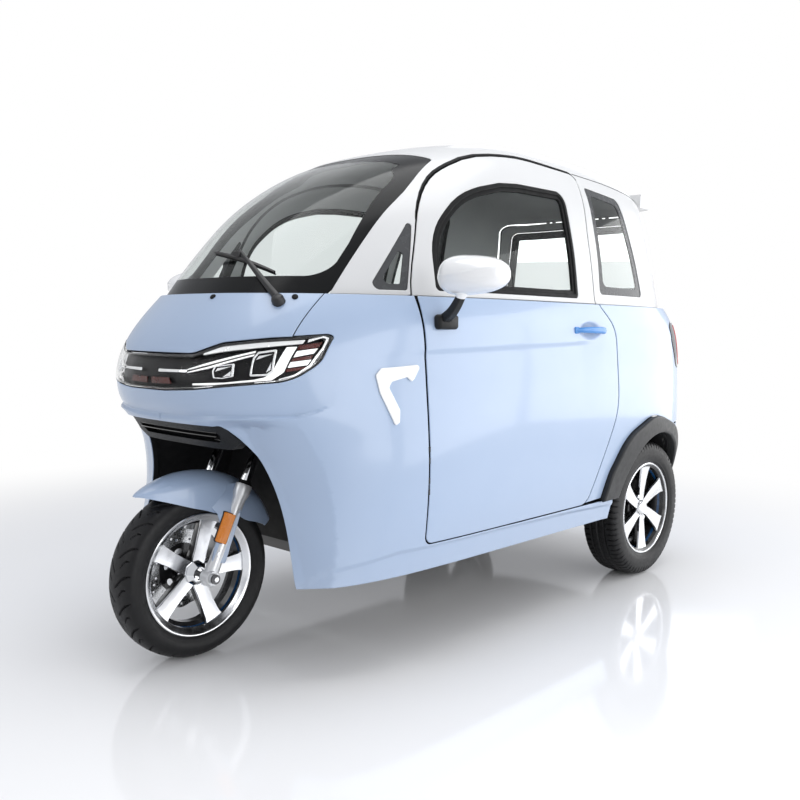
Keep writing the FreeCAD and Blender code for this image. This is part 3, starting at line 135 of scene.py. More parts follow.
@dataclass(frozen=True)
class Finish:
    """A surface finish with its colour, gloss and fine relief.

    The colour wanders between two tones by a soft noise, the roughness follows a finer noise, and a bump of two
    scales gives the grain. All patterns are in metres on the object itself.
    """

    name: str
    slot: str
    tone: tuple[float, float, float]
    second: tuple[float, float, float] | None = None
    patch_scale: float = 6.0
    rough: float = 0.4
    rough_spread: float = 0.08
    metal: float = 0.0
    coat: float = 0.0
    coat_rough: float = 0.03
    specular: float = 0.5
    grain_scale: float = 900.0
    grain: float = 0.05
    grain_depth: float = 0.0002
    sheen: float = 0.0
    clear: float = 0.0
    ior: float = 1.45
    glow: float = 0.0
    brushed: bool = False
    ribbed: float = 0.0
    perforated: float = 0.0
    dusty: float = 0.0

    def material(self) -> bpy.types.Material:
        """The node material of this finish, made once.

        Returns:
            The Blender material.
        """
        made = bpy.data.materials.get(self.name)
        if made is not None:
            return made
        made = bpy.data.materials.new(self.name)
        made.use_nodes = True
        tree = made.node_tree
        shader = first_of(tree, "BSDF_PRINCIPLED")
        place = tree.nodes.new("ShaderNodeTexCoord").outputs["Object"]
        wire(tree, shader, {
            "Metallic": self.metal, "Coat Weight": self.coat, "Coat Roughness": self.coat_rough,
            "Specular IOR Level": self.specular, "Sheen Weight": self.sheen, "Transmission Weight": self.clear,
            "IOR": self.ior, "Base Color": self._colour(tree, place), "Roughness": self._roughness(tree, place),
            "Normal": self._relief(tree, place)})
        if self.glow > 0:
            wire(tree, shader, {"Emission Color": (*self.tone, 1.0), "Emission Strength": self.glow})
        if self.clear > 0:
            through = node(tree, "ShaderNodeBsdfTransparent", {"Color": (*self.tone, 1.0)})
            shadow = tree.nodes.new("ShaderNodeLightPath").outputs["Is Shadow Ray"]
            mix_to(tree, shadow, shader.outputs["BSDF"], through.outputs["BSDF"], first_of(tree, "OUTPUT_MATERIAL"))
        return made

    def _colour(self, tree: bpy.types.NodeTree, place: bpy.types.NodeSocket) -> bpy.types.NodeSocket:
        """The colour: two tones mixed by a soft noise, with a little road dust low down where the finish has any.

        Args:
            tree: The material's nodes.
            place: The place on the object.

        Returns:
            The colour's output.
        """
        second = self.second or tuple(0.86 * c for c in self.tone)
        ramp = node(tree, "ShaderNodeValToRGB", {"Fac": noise(tree, place, self.patch_scale, 3.0)})
        for stop, position, tone in zip(ramp.color_ramp.elements, (0.3, 0.62), (second, self.tone)):
            stop.position = position
            stop.color = (*tone, 1.0)
        if self.dusty <= 0:
            return ramp.outputs["Color"]
        height = node(tree, "ShaderNodeSeparateXYZ", {"Vector": place}).outputs["Z"]
        low = node(tree, "ShaderNodeMapRange", {"From Min": DUST_FROM, "From Max": DUST_TO, "To Max": self.dusty,
                                                "Value": height})
        mix = tree.nodes.new("ShaderNodeMix")
        mix.data_type = "RGBA"
        wire(tree, mix, {"Factor": low.outputs["Result"], "A": ramp.outputs["Color"], "B": ROAD_DUST})
        return mix.outputs["Result"]

    def _roughness(self, tree: bpy.types.NodeTree, place: bpy.types.NodeSocket) -> bpy.types.NodeSocket:
        """The roughness: its level, a little up and down with a middling noise.

        Args:
            tree: The material's nodes.
            place: The place on the object.

        Returns:
            The roughness's output.
        """
        spread = node(tree, "ShaderNodeMapRange", {
            "From Min": 0.3, "From Max": 0.7, "To Min": max(0.0, self.rough - self.rough_spread),
            "To Max": self.rough + self.rough_spread, "Value": noise(tree, place, self.patch_scale * 7, 4.0)})
        return spread.outputs["Result"]

    def _relief(self, tree: bpy.types.NodeTree, place: bpy.types.NodeSocket) -> bpy.types.NodeSocket:
        """The fine relief: turning marks, ribs, small holes or moulded grain.

        Args:
            tree: The material's nodes.
            place: The place on the object.

        Returns:
            The normal's output.
        """
        if self.brushed:
            stretch = node(tree, "ShaderNodeMapping", {"Scale": (1.0, 14.0, 1.0), "Vector": place})
            source = noise(tree, stretch.outputs["Vector"], self.grain_scale, 2.0)
        elif self.ribbed > 0:
            source = node(tree, "ShaderNodeTexWave", {"Scale": self.ribbed, "Distortion": 0.4,
                                                      "Vector": place}).outputs["Fac"]
        elif self.perforated > 0:
            source = node(tree, "ShaderNodeTexVoronoi", {"Scale": self.perforated, "Randomness": 0.15,
                                                         "Vector": place}).outputs["Distance"]
        else:
            source = noise(tree, place, self.grain_scale, 4.0)
        return node(tree, "ShaderNodeBump", {"Strength": self.grain, "Distance": self.grain_depth,
                                             "Height": source}).outputs["Normal"]


PALE_BLUE = Finish("pale_blue_paint", "blue_paint", (0.330, 0.425, 0.585), (0.320, 0.415, 0.575), rough=0.42,
                   coat=0.6, coat_rough=0.10, specular=0.85, rough_spread=0.04, grain=0.03, grain_scale=1400.0,
                   patch_scale=2.5, dusty=0.10)
GLOSS_WHITE = Finish("gloss_white_paint", "white_paint", (0.60, 0.605, 0.61), (0.585, 0.59, 0.595), rough=0.42,
                     coat=0.5, coat_rough=0.16, specular=0.6, rough_spread=0.04, grain=0.03, grain_scale=1400.0,
                     patch_scale=2.5)
INNER_SHELL = Finish("inner_shell", "black_plastic", (0.20, 0.20, 0.21), rough=0.7, grain=0.5, grain_scale=500.0)
HEADLINER = Finish("headliner_cloth", "white_paint", (0.42, 0.42, 0.42), (0.38, 0.38, 0.385), rough=0.9, sheen=0.25,
                   grain=0.6, grain_scale=1100.0)
MOULDED_BLACK = Finish("moulded_black", "black_plastic", (0.011, 0.0115, 0.0125), (0.008, 0.0085, 0.009), rough=0.5,
                       specular=0.3, grain=0.5, grain_scale=1300.0, patch_scale=20.0)
SATIN_BLACK = Finish("satin_black", "black_plastic", (0.021, 0.022, 0.024), (0.017, 0.018, 0.019), rough=0.40,
                     specular=0.35, grain=0.18, grain_scale=1100.0, patch_scale=8.0)
PIANO_BLACK = Finish("piano_black", "black_plastic", (0.008, 0.008, 0.009), rough=0.12, rough_spread=0.03, coat=1.0,
                     grain=0.01)
# Black rubber for the seals, the wiper blade and the jets; the same black is painted on the panel walls as shade in the
# gaps between panels.
SEAL_AND_GAP_SHADE = Finish("rubber_seal_and_gap_shade", "black_plastic", (0.007, 0.007, 0.0075), rough=0.62, grain=0.4, grain_scale=1600.0,
              specular=0.22)
WINDOW = Finish("window_glass", "glass", (0.84, 0.87, 0.865), (0.83, 0.865, 0.86), rough=0.01, rough_spread=0.008,
                clear=1.0, grain=0.0, ior=1.18)
FRIT = Finish("black_frit", "glass", (0.007, 0.0075, 0.008), rough=0.22, rough_spread=0.03, specular=0.22, grain=0.01)
GREY_FRIT = Finish("grey_frit", "glass", (0.070, 0.072, 0.075), (0.062, 0.064, 0.067), rough=0.25, specular=0.25,
                   grain=0.01)
# The third slot of each sheet goes on the walls under its rolled edges (wall_slot=2): black painted shade that darkens
# the gaps between panels.
BLUE_SHEET = [PALE_BLUE, INNER_SHELL, SEAL_AND_GAP_SHADE]
WHITE_SHEET = [GLOSS_WHITE, HEADLINER, SEAL_AND_GAP_SHADE]


# Meshes
# ======
def quads(rows: int, columns: int, wrap_rows: bool = False, wrap_columns: bool = True, flip: bool = False) -> Array:
    """Faces of a grid of rows by columns, whose points are numbered row by row.

    Args:
        rows: Number of rows.
        columns: Number of points in a row.
        wrap_rows: Whether the last row joins the first.
        wrap_columns: Whether each row closes on itself.
        flip: Whether the faces look the other way.

    Returns:
        An array of four point numbers a face.
    """
    i, j = np.meshgrid(np.arange(rows - (not wrap_rows)), np.arange(columns - (not wrap_columns)), indexing="ij")
    i2, j2 = (i + 1) % rows, (j + 1) % columns
    corners = [i * columns + j, i2 * columns + j, i2 * columns + j2, i * columns + j2]
    faces = np.stack(corners, -1).reshape(-1, 4)
    return faces[:, ::-1] if flip else faces


@dataclass
class Patch:
    """Arrays of points and faces that grow into one mesh."""

    points: list[Array] = field(default_factory=list)
    faces: list[Array] = field(default_factory=list)
    slots: list[int] = field(default_factory=list)
    size: int = 0
    normals: list[Array] = field(default_factory=list)

    def add(self, points: Array, faces: Iterable[Array], slot: int = 0) -> "Patch":
        """Adds points, and faces that number them from zero.

        Args:
            points: The points.
            faces: Arrays of point numbers, one face a row.
            slot: Their slot.

        Returns:
            The patch itself.
        """
        flat = np.asarray(points, float).reshape(-1, 3)
        for array in faces:
            self.faces.append(np.asarray(array) + self.size)
            self.slots.append(slot)
        self.points.append(flat)
        self.size += len(flat)
        return self

    def grid(self, points: Array, wrap_rows: bool = False, wrap_columns: bool = True, flip: bool = False,
             slot: int = 0, caps: bool = False) -> "Patch":
        """Adds a grid of points, with flat caps on its first and last row where they are asked for.

        Args:
            points: Rows by columns by three.
            wrap_rows: Whether the last row joins the first.
            wrap_columns: Whether each row closes.
            flip: Whether the faces look the other way.
            slot: Their slot.
            caps: Whether the first and last row are capped.

        Returns:
            The patch itself.
        """
        rows, columns = points.shape[:2]
        faces = [quads(rows, columns, wrap_rows, wrap_columns, flip)]
        if caps:
            ring = np.arange(columns)
            low, high = (ring, ring[::-1]) if not flip else (ring[::-1], ring)
            faces += [low[None, :], (high + (rows - 1) * columns)[None, :]]
        return self.add(points, faces, slot)

    def join(self, other: "Patch", slot: int | None = None) -> "Patch":
        """Adds another patch, in its own slots or in one.

        Args:
            other: The patch that is added.
            slot: The one slot, or none to keep its own.

        Returns:
            The patch itself.
        """
        for array, own in zip(other.faces, other.slots):
            self.faces.append(array + self.size)
            self.slots.append(own if slot is None else slot)
        self.points += other.points
        self.normals += other.normals
        self.size += other.size
        return self

    def moved(self, change: Callable[[Array], Array]) -> "Patch":
        """A copy whose points are changed by a function of all of them."""
        return Patch([change(np.concatenate(self.points))], list(self.faces), list(self.slots), self.size)

    def mirrored(self) -> "Patch":
        """A copy on the other side of the vehicle, with its faces turned to look outwards again.

        Returns:
            The copy.
        """
        other = self.moved(lambda p: p * (1, -1, 1))
        other.faces = [array[:, ::-1] for array in other.faces]
        other.normals = [array[:, ::-1] * (1, -1, 1) for array in self.normals]
        return other


def piece(name: str, patch: Patch, finishes: Sequence[Finish], body: Body, stands_for: Sequence[str] = (),
          sharp: float = 32.0, normals: Array | None = None) -> bpy.types.Object:
    """Makes a mesh object of a patch, dressed and riding on a body.

    Args:
        name: The piece's name.
        patch: Its points and faces.
        finishes: A finish for each slot of the patch.
        body: What it rides on.
        stands_for: The frame's nodes that it replaces.
        sharp: The angle in degrees above which an edge stays crisp.
        normals: A normal for each face corner, where the shape gives them.

    Returns:
        The object.
    """
    points = np.concatenate(patch.points).astype(np.float32)
    sizes = np.concatenate([np.full(len(array), array.shape[1]) for array in patch.faces])
    mesh = bpy.data.meshes.new(name)
    mesh.vertices.add(len(points))
    mesh.vertices.foreach_set("co", points.ravel())
    mesh.loops.add(int(sizes.sum()))
    mesh.loops.foreach_set("vertex_index", np.concatenate([array.ravel() for array in patch.faces]).astype(np.int32))
    mesh.polygons.add(len(sizes))
    mesh.polygons.foreach_set("loop_start", np.concatenate([[0], np.cumsum(sizes)[:-1]]).astype(np.int32))
    slots = np.concatenate([np.full(len(array), slot) for array, slot in zip(patch.faces, patch.slots)])
    mesh.polygons.foreach_set("material_index", slots.astype(np.int32))
    mesh.update(calc_edges=True)
    if normals is None:
        grown = bmesh.new()
        grown.from_mesh(mesh)
        bmesh.ops.remove_doubles(grown, verts=grown.verts, dist=1e-6)
        bmesh.ops.dissolve_degenerate(grown, edges=grown.edges, dist=1e-7)
        grown.to_mesh(mesh)
        grown.free()
        mesh.shade_smooth()
        mesh.set_sharp_from_angle(angle=math.radians(sharp))
    else:
        mesh.shade_smooth()
        mesh.normals_split_custom_set(normals)
    thing = bpy.data.objects.new(name, mesh)
    bpy.context.scene.collection.objects.link(thing)
    for finish in finishes:
        mesh.materials.append(finish.material())
    if stands_for:
        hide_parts(*stands_for)
    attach(thing, body.value)
    LOG.info("%s: %d faces on %s", name, len(mesh.polygons), body.value)
    return thing


def unit(v: Array) -> Array:
    """The vectors scaled to length one along the last axis."""
    return v / np.maximum(np.linalg.norm(v, axis=-1, keepdims=True), 1e-12)


def distances(points: Array) -> Array:
    """The distance along a line up to each of its points."""
    return np.concatenate([[0], np.cumsum(np.linalg.norm(np.diff(points, axis=0), axis=1))])


def area_of(loop: Array) -> float:
    """Twice the area inside a closed outline, positive where it runs anticlockwise."""
    return float(np.sum(loop[:, 0] * np.roll(loop[:, 1], -1) - np.roll(loop[:, 0], -1) * loop[:, 1]))


def wound(loops: Sequence[Array]) -> list[Array]:
    """An outline turned anticlockwise and its holes turned clockwise."""
    return [loop if (area_of(loop) > 0) == (i == 0) else loop[::-1] for i, loop in enumerate(loops)]


def triangulated(flat: Array, loops: Sequence[Array], apart: float) -> tuple[Array, Array, dict[int, int]]:
    """Joins points of a plane by triangles, with the runs of closed loops as edges.

    Args:
        flat: The points, which start with those of the loops.
        loops: The loops.
        apart: How near two points are one.

    Returns:
        The points, the triangles, and the new number of each given point.
    """
    runs = []
    start = 0
    for loop in loops:
        ring = np.arange(len(loop)) + start
        runs += list(zip(ring.tolist(), np.roll(ring, -1).tolist()))
        start += len(loop)
    verts, _, tris, origin, _, _ = delaunay_2d_cdt([Vector(p) for p in flat], runs, [], 0, apart)
    number = {i: k for k, ids in enumerate(origin) for i in ids}
    return np.array([tuple(v) for v in verts]), np.array(tris), number


def kept_triangles(where: Array, tris: Array, loops: Sequence[Array]) -> Array:
    """The triangles whose middle lies in the outline and in no hole, all turned anticlockwise.

    Args:
        where: The points.
        tris: The triangles.
        loops: The outline and its holes.

    Returns:
        The triangles that are kept.
    """
    tris = tris[inside(where[tris].mean(1), loops)]
    a, b, c = (where[tris[:, k]] for k in range(3))
    turned = (b[:, 0] - a[:, 0]) * (c[:, 1] - a[:, 1]) - (c[:, 0] - a[:, 0]) * (b[:, 1] - a[:, 1]) < 0
    tris[turned] = tris[turned][:, ::-1]
    return tris


def sweep(path: Array, profile: Array, up: Sequence[float] = (0, 0, 1), scale: Array | float = 1.0,
          closed: bool = False) -> Patch:
    """Carries a closed profile along a path: point = path + x * side + y * rise, where side is up x along.

    Args:
        path: Points of the path, n by 3.
        profile: Points of the profile, m by 2, anticlockwise.
        up: The direction that the profile's second axis keeps to.
        scale: The profile's size at each point of the path.
        closed: Whether the path joins itself.

    Returns:
        The patch, capped at both ends unless it is closed.
    """
    path = np.asarray(path, float)
    if closed:
        along = unit(np.roll(path, -1, 0) - np.roll(path, 1, 0))
    else:
        along = unit(np.gradient(path, axis=0))
    side = unit(np.cross(np.asarray(up, float), along))
    rise = np.cross(along, side)
    size = np.broadcast_to(scale, (len(path),))[:, None, None]
    shape = np.asarray(profile, float)[None] * size
    points = path[:, None] + shape[..., :1] * side[:, None] + shape[..., 1:] * rise[:, None]
    return Patch().grid(points, wrap_rows=closed, flip=True, caps=not closed)


def pair(patch: Patch) -> Patch:
    """A patch and its mirror image."""
    return Patch().join(patch).join(patch.mirrored())


def circle(radius: float, count: int = 20, second: float | None = None) -> Array:
    """Points of a circle, or of an ellipse where a second radius is given."""
    turn = np.arange(count) * 2 * math.pi / count
    return np.stack([radius * np.cos(turn), (second or radius) * np.sin(turn)], -1)


def smooth_path(points: Sequence[Sequence[float]], count: int = 40) -> Array:
    """A natural cubic spline through points, spaced by their distance."""
    points = np.asarray(points, float)
    along = distances(points)
    return Spline(along, points)(np.linspace(0, along[-1], count))


def lathe(profile: Sequence[Sequence[float]], centre: Sequence[float], axis: Sequence[float] = (0, 1, 0),
          count: int = 48, closed: bool = False) -> Patch:
    """Turns a profile round an axis: point = centre + a * axis + r * (cos t * f + sin t * g).

    Args:
        profile: Pairs of distance along the axis and radius, from low to high along the outside.
        centre: A point on the axis.
        axis: Its direction.
        count: Steps round the axis.
        closed: Whether the profile is a loop, as of a ring.

    Returns:
        The patch, facing outwards.
    """
    profile = np.asarray(profile, float)
    if area_of(profile) > 0:
        profile = profile[::-1]
    e = unit(np.asarray(axis, float))
    f = unit(np.cross(e, (0.0, 0.0, 1.0) if abs(e[2]) < 0.9 else (1.0, 0.0, 0.0)))
    g = np.cross(e, f)
    turn = np.arange(count) * 2 * math.pi / count
    spokes = np.cos(turn)[:, None] * f + np.sin(turn)[:, None] * g
    points = np.asarray(centre, float) + profile[:, None, :1] * e + profile[:, None, 1:] * spokes[None]
    return Patch().grid(points, wrap_rows=closed, flip=True)


def rounded_block(centre: Sequence[float], half: Sequence[float], radius: float, steps: int = 4) -> Patch:
    """A block with round edges: point = centre + sign(d) * (half - radius) + radius * d for each direction d.

    Args:
        centre: Its middle.
        half: Its half sizes.
        radius: The radius of its edges.
        steps: Steps in a quarter turn.

    Returns:
        The patch.
    """
    turn = (np.arange(4 * steps) + 0.5) * math.pi / (2 * steps)
    tilt = (np.arange(2 * steps) + 0.5) * math.pi / (2 * steps) - math.pi / 2
    flat, rise = np.cos(tilt)[:, None], np.sin(tilt)[:, None]
    d = np.stack([flat * np.cos(turn), flat * np.sin(turn), rise + 0 * turn], -1)
    snapped = d / np.max(np.abs(d), axis=-1, keepdims=True)
    core = np.sign(d) * (np.asarray(half, float) - radius)
    points = np.asarray(centre, float) + core + radius * unit(np.where(np.abs(snapped) < 1e-6, 0, d))
    return Patch().grid(points, flip=True, caps=True)


class Spline:
    """A natural cubic spline of one or more columns over one variable."""

    def __init__(self, at: Sequence[float], values: Array) -> None:
        """Finds the second derivatives that make the pieces join smoothly.

        Args:
            at: The knots.
            values: One row a knot.
        """
        self.at = np.asarray(at, float)
        self.values = np.asarray(values, float).reshape(len(self.at), -1)
        gap = np.diff(self.at)
        count = len(self.at)
        system = np.eye(count)
        right = np.zeros_like(self.values)
        for i in range(1, count - 1):
            system[i, i - 1:i + 2] = gap[i - 1], 2 * (gap[i - 1] + gap[i]), gap[i]
            rise = np.diff(self.values[i - 1:i + 2], axis=0) / gap[i - 1:i + 1, None]
            right[i] = 6 * (rise[1] - rise[0])
        self.bend = np.linalg.solve(system, right)

    def __call__(self, x: Array) -> Array:
        """The columns at each x, on a last axis.

        Args:
            x: Where the curve is read.

        Returns:
            A row of columns for each x.
        """
        x = np.asarray(x, float)
        i = np.clip(np.searchsorted(self.at, x) - 1, 0, len(self.at) - 2)
        gap = (self.at[i + 1] - self.at[i])[..., None]
        left = (self.at[i + 1] - x)[..., None]
        right = (x - self.at[i])[..., None]
        straight = (self.values[i] * left + self.values[i + 1] * right) / gap
        curve = self.bend[i] * (left ** 3 / gap - gap * left) + self.bend[i + 1] * (right ** 3 / gap - gap * right)
        return straight + curve / 6


# The body's surface
# ==================
class View(Enum):
    """The side that an outline is drawn from."""

    SIDE = "x, z"
    FRONT = "y, z from the front"
    REAR = "y, z from behind"
    PLAN = "x, y"


@dataclass
class Form:
    """Half of the body's surface between two heights, as a function of turn t and climb p.

    At each climb the level outline is a superellipse on each side of its widest station m:
    x = m + reach * r * cos t and y = half * r * sin t, where r = (|cos t|^n + |sin t|^n)^(-1/n). The reaches, the
    half width, the station and n run smoothly from ring to ring. The turn is 0 at the nose and pi at the tail.
    """

    base: float
    top: float
    rings: Sequence[Sequence[float]]
    domed: bool = False
    nose: float = 1.050
    tail: float = 1.142
    half: float = 0.548
    HALVINGS: int = 44

    def __post_init__(self) -> None:
        """Fits the splines."""
        rise, nose, half, tail, widest, front_n, rear_n = np.array(self.rings).T
        middle = self.nose * widest
        rows = np.stack([self.base + rise * (self.top - self.base), self.nose * nose - middle,
                         self.tail * tail + middle, self.half * half, middle, front_n, rear_n], -1)
        if self.domed:
            rows = np.vstack([rows, [self.top + 0.003, 0.0004, 0.0004, 0.0004, middle[-1], 2.0, 2.0]])
        step = np.diff(rows[:, :4], axis=0)
        run = np.hypot(step[:, 0], np.abs(step[:, 1:]).mean(1))
        climb = np.concatenate([[0], np.cumsum(run)])
        self.spline = Spline(climb, rows)
        self.high = float(climb[-1])
        self.fine = np.linspace(0, self.high, 6001)
        self.fine_z = np.maximum.accumulate(self.spline(self.fine)[:, 0])

    def ring(self, climb: Array) -> tuple[Array, ...]:
        """The height, front and rear reach, half width, station and two exponents at each climb."""
        values = self.spline(np.clip(climb, 0, self.high))
        return tuple(np.moveaxis(values, -1, 0))

    def climb(self, z: Array) -> Array:
        """The climb at each height."""
        return np.interp(z, self.fine_z, self.fine)

    def point(self, turn: Array, climb: Array) -> Array:
        """Points of the surface.

        Args:
            turn: The turn.
            climb: The climb.

        Returns:
            Their places.
        """
        z, front, rear, half, middle, front_n, rear_n = self.ring(climb)
        c, s = np.cos(turn), np.sin(turn)
        n = np.where(c >= 0, front_n, rear_n)
        r = (np.abs(c) ** n + np.abs(s) ** n) ** (-1 / n)
        return np.stack([middle + np.where(c >= 0, front, rear) * r * c, half * r * s, z], -1)

    def slopes(self, turn: Array, climb: Array, step: float = 4e-4) -> tuple[Array, Array]:
        """How the point moves with the turn and with the climb.

        Args:
            turn: The turn.
            climb: The climb.
            step: Half the step that is compared.

        Returns:
            The two slopes.
        """
        low = np.clip(climb - step, 0, self.high)
        high = np.clip(climb + step, 0, self.high)
        by_turn = (self.point(turn + step, climb) - self.point(turn - step, climb)) / (2 * step)
        by_climb = (self.point(turn, high) - self.point(turn, low)) / (high - low)[..., None]
        return by_turn, by_climb

    def normal(self, turn: Array, climb: Array) -> Array:
        """The outward direction at each point.

        Args:
            turn: The turn.
            climb: The climb.

        Returns:
            Vectors of length one.
        """
        by_turn, by_climb = self.slopes(turn, climb)
        n = unit(np.cross(by_turn, by_climb))
        if self.domed:
            n[climb > self.high - 0.004] = (0, 0, 1)
        return n

    def locate(self, view: View, u: Array, v: Array) -> Array:
        """The turn and climb of points drawn in a view.

        Args:
            view: The view.
            u: The first coordinate, in metres.
            v: The second.

        Returns:
            Turn and climb, n by 2.
        """
        climb = self._climb_above(u, v) if view is View.PLAN else self.climb(v)
        _, front, rear, half, middle, front_n, rear_n = self.ring(climb)
        if view in (View.SIDE, View.PLAN):
            ahead = u >= middle
            n = np.where(ahead, front_n, rear_n)
            x = np.clip((u - middle) / np.where(ahead, front, rear), -1, 1)
            y = (1 - np.abs(x) ** n) ** (1 / n)
        else:
            n = front_n if view is View.FRONT else rear_n
            y = np.clip(np.abs(u) / half, 0, 1)
            x = (1 - y ** n) ** (1 / n) * (1 if view is View.FRONT else -1)
        return np.stack([np.arctan2(y, x), climb], -1)

    def _climb_above(self, x: Array, y: Array) -> Array:
        """The climb of the surface above each point of the plan, by halving.

        Args:
            x: The station.
            y: The distance from the middle line.

        Returns:
            The climb.
        """
        low, high = np.zeros(len(x)), np.full(len(x), self.high)
        for _ in range(self.HALVINGS):
            mid = (low + high) / 2
            _, front, rear, half, middle, front_n, rear_n = self.ring(mid)
            n = np.where(x >= middle, front_n, rear_n)
            reach = np.where(x >= middle, front, rear)
            inside = np.abs((x - middle) / reach) ** n + np.abs(y / half) ** n < 1
            low, high = np.where(inside, mid, low), np.where(inside, high, mid)
        return low


LOWER_RINGS = [
    (0.000, 0.886, 0.922, 0.954, 0.019, 5.00, 5.00), (0.204, 0.857, 0.967, 0.981, 0.019, 4.20, 5.00),
    (0.367, 0.871, 0.991, 0.998, 0.019, 3.60, 5.00), (0.503, 0.929, 1.000, 0.994, 0.019, 3.00, 5.00),
    (0.585, 0.981, 1.000, 0.990, 0.019, 2.70, 5.00), (0.667, 1.000, 0.998, 0.988, 0.019, 2.55, 5.00),
    (0.748, 0.995, 0.995, 0.981, 0.019, 2.50, 5.00), (0.830, 0.967, 0.991, 0.970, 0.019, 2.50, 5.00),
    (0.912, 0.921, 0.982, 0.944, 0.019, 2.50, 5.00), (1.000, 0.862, 0.945, 0.902, 0.019, 2.50, 5.00),
]
UPPER_RINGS = [
    (0.000, 0.862, 0.922, 0.880, 0.019, 2.35, 5.00), (0.141, 0.805, 0.898, 0.871, 0.019, 2.35, 5.00),
    (0.310, 0.724, 0.865, 0.865, 0.019, 2.40, 5.00), (0.478, 0.629, 0.821, 0.863, 0.010, 2.50, 5.00),
    (0.629, 0.519, 0.774, 0.863, -0.010, 2.50, 5.00), (0.760, 0.390, 0.712, 0.863, -0.065, 2.60, 4.60),
    (0.854, 0.257, 0.642, 0.814, -0.165, 2.60, 4.00), (0.929, 0.105, 0.538, 0.709, -0.250, 2.50, 3.20),
    (0.979, -0.029, 0.383, 0.552, -0.290, 2.30, 2.50), (1.000, -0.143, 0.182, 0.377, -0.290, 2.00, 2.00),
]
BELT = 0.985
SILL = 0.250
ROOF = 1.518
LOWER = Form(SILL, BELT, LOWER_RINGS)
UPPER = Form(BELT, ROOF, UPPER_RINGS, domed=True)
GAP = 5.5
FOLD = 1e-6
CHUNK = 4000
UNCUT = 9.0
EDGE_TURNS = np.radians([22.5, 45.0, 67.5, 90.0])


# Outlines
# ========
def rounded(points: Sequence[Sequence[float]], longest: float = 0.012) -> Array:
    """A closed outline whose corners are circle arcs and whose runs are divided.

    Args:
        points: Corners in millimetres, each with its radius.
        longest: The longest run in metres.

    Returns:
        The points in metres.
    """
    corners = np.array(points, float) * MM
    made: list[Array] = []
    for before, here, after in zip(np.roll(corners, 1, 0), corners, np.roll(corners, -1, 0)):
        if here[2] == 0:
            made.append(here[None, :2])
            continue
        a, b = before[:2] - here[:2], after[:2] - here[:2]
        long_a, long_b = np.linalg.norm(a), np.linalg.norm(b)
        inside = math.acos(float(np.clip(a @ b / long_a / long_b, -1, 1)))
        reach = min(here[2] / math.tan(inside / 2), 0.48 * long_a, 0.48 * long_b)
        start, end = here[:2] + a / long_a * reach, here[:2] + b / long_b * reach
        t = np.linspace(0, 1, max(3, int(math.degrees(math.pi - inside) / 6) + 1))[:, None]
        weight = 2 * t * (1 - t) * math.cos((math.pi - inside) / 2)
        made.append(((1 - t) ** 2 * start + weight * here[:2] + t ** 2 * end) / ((1 - t) ** 2 + weight + t ** 2))
    return divided(np.concatenate(made), longest)


def divided(loop: Array, longest: float = 0.012, closed: bool = True) -> Array:
    """A line whose runs are cut so that none is longer than a length.

    Args:
        loop: The line's points.
        longest: The longest run.
        closed: Whether its end joins its start.

    Returns:
        The points.
    """
    after = np.roll(loop, -1, 0) if closed else loop[1:]
    start = loop if closed else loop[:-1]
    made = []
    for a, b in zip(start, after):
        count = max(1, math.ceil(np.linalg.norm(b - a) / longest))
        made.append(a + (b - a) * (np.arange(count) / count)[:, None])
    if not closed:
        made.append(loop[-1:])
    return np.concatenate(made)


def grown(points: Sequence[Sequence[float]], gap: float) -> list[tuple[float, float, float]]:
    """An outline in millimetres with every side moved out by a gap.

    Args:
        points: Corners with their radii.
        gap: How far it grows; a negative gap draws it in.

    Returns:
        The new corners with their radii.
    """
    corners = np.array(points, float)
    before, after = np.roll(corners, 1, 0), np.roll(corners, -1, 0)
    sign = math.copysign(1, area_of(corners))
    a, b = unit(corners[:, :2] - before[:, :2]), unit(after[:, :2] - corners[:, :2])
    out_a = np.stack([a[:, 1], -a[:, 0]], -1) * sign
    out_b = np.stack([b[:, 1], -b[:, 0]], -1) * sign
    shift = (out_a + out_b) * (gap / (1 + np.sum(out_a * out_b, 1)))[:, None]
    convex = (a[:, 0] * b[:, 1] - a[:, 1] * b[:, 0]) * sign > 0
    bigger = np.where(convex, np.maximum(corners[:, 2] + gap, 1), np.maximum(corners[:, 2] - gap, corners[:, 2] / 4))
    radius = np.where(corners[:, 2] > 0, bigger, 0)
    return [tuple(row) for row in np.column_stack([corners[:, :2] + shift, radius])]


def clipped(loop: Array, level: float, above: bool) -> Array:
    """The part of a closed (u, z) outline above or below a height.

    Args:
        loop: The outline.
        level: The height.
        above: Whether the upper part is kept.

    Returns:
        The part's outline.
    """
    side = 1 if above else -1
    after = np.roll(loop, -1, 0)
    made = []
    for a, b in zip(loop, after):
        da, db = side * (a[1] - level), side * (b[1] - level)
        if da >= 0:
            made.append(a)
        if da * db < 0:
            made.append(a + (b - a) * da / (da - db))
    return divided(np.array(made))


def inside(points: Array, loops: Sequence[Array]) -> Array:
    """Whether each point lies inside an odd number of the loops.

    Args:
        points: The points.
        loops: The loops.

    Returns:
        A truth value for each point.
    """
    odd = np.zeros(len(points), bool)
    for loop in loops:
        a, b = loop, np.roll(loop, -1, 0)
        for chunk in range(0, len(points), CHUNK):
            p = points[chunk:chunk + CHUNK, None]
            crosses = (a[:, 1] > p[..., 1]) != (b[:, 1] > p[..., 1])
            with np.errstate(divide="ignore", invalid="ignore"):
                at = a[:, 0] + (p[..., 1] - a[:, 1]) * (b[:, 0] - a[:, 0]) / (b[:, 1] - a[:, 1])
            odd[chunk:chunk + CHUNK] ^= (np.sum(crosses & (p[..., 0] < at), 1) % 2).astype(bool)
    return odd


# Panels
# ======
def on_fold(loop: Array) -> Array:
    """Whether each (turn, climb) lies on the vehicle's middle line."""
    return (loop[:, 0] < FOLD) | (loop[:, 0] > math.pi - FOLD)


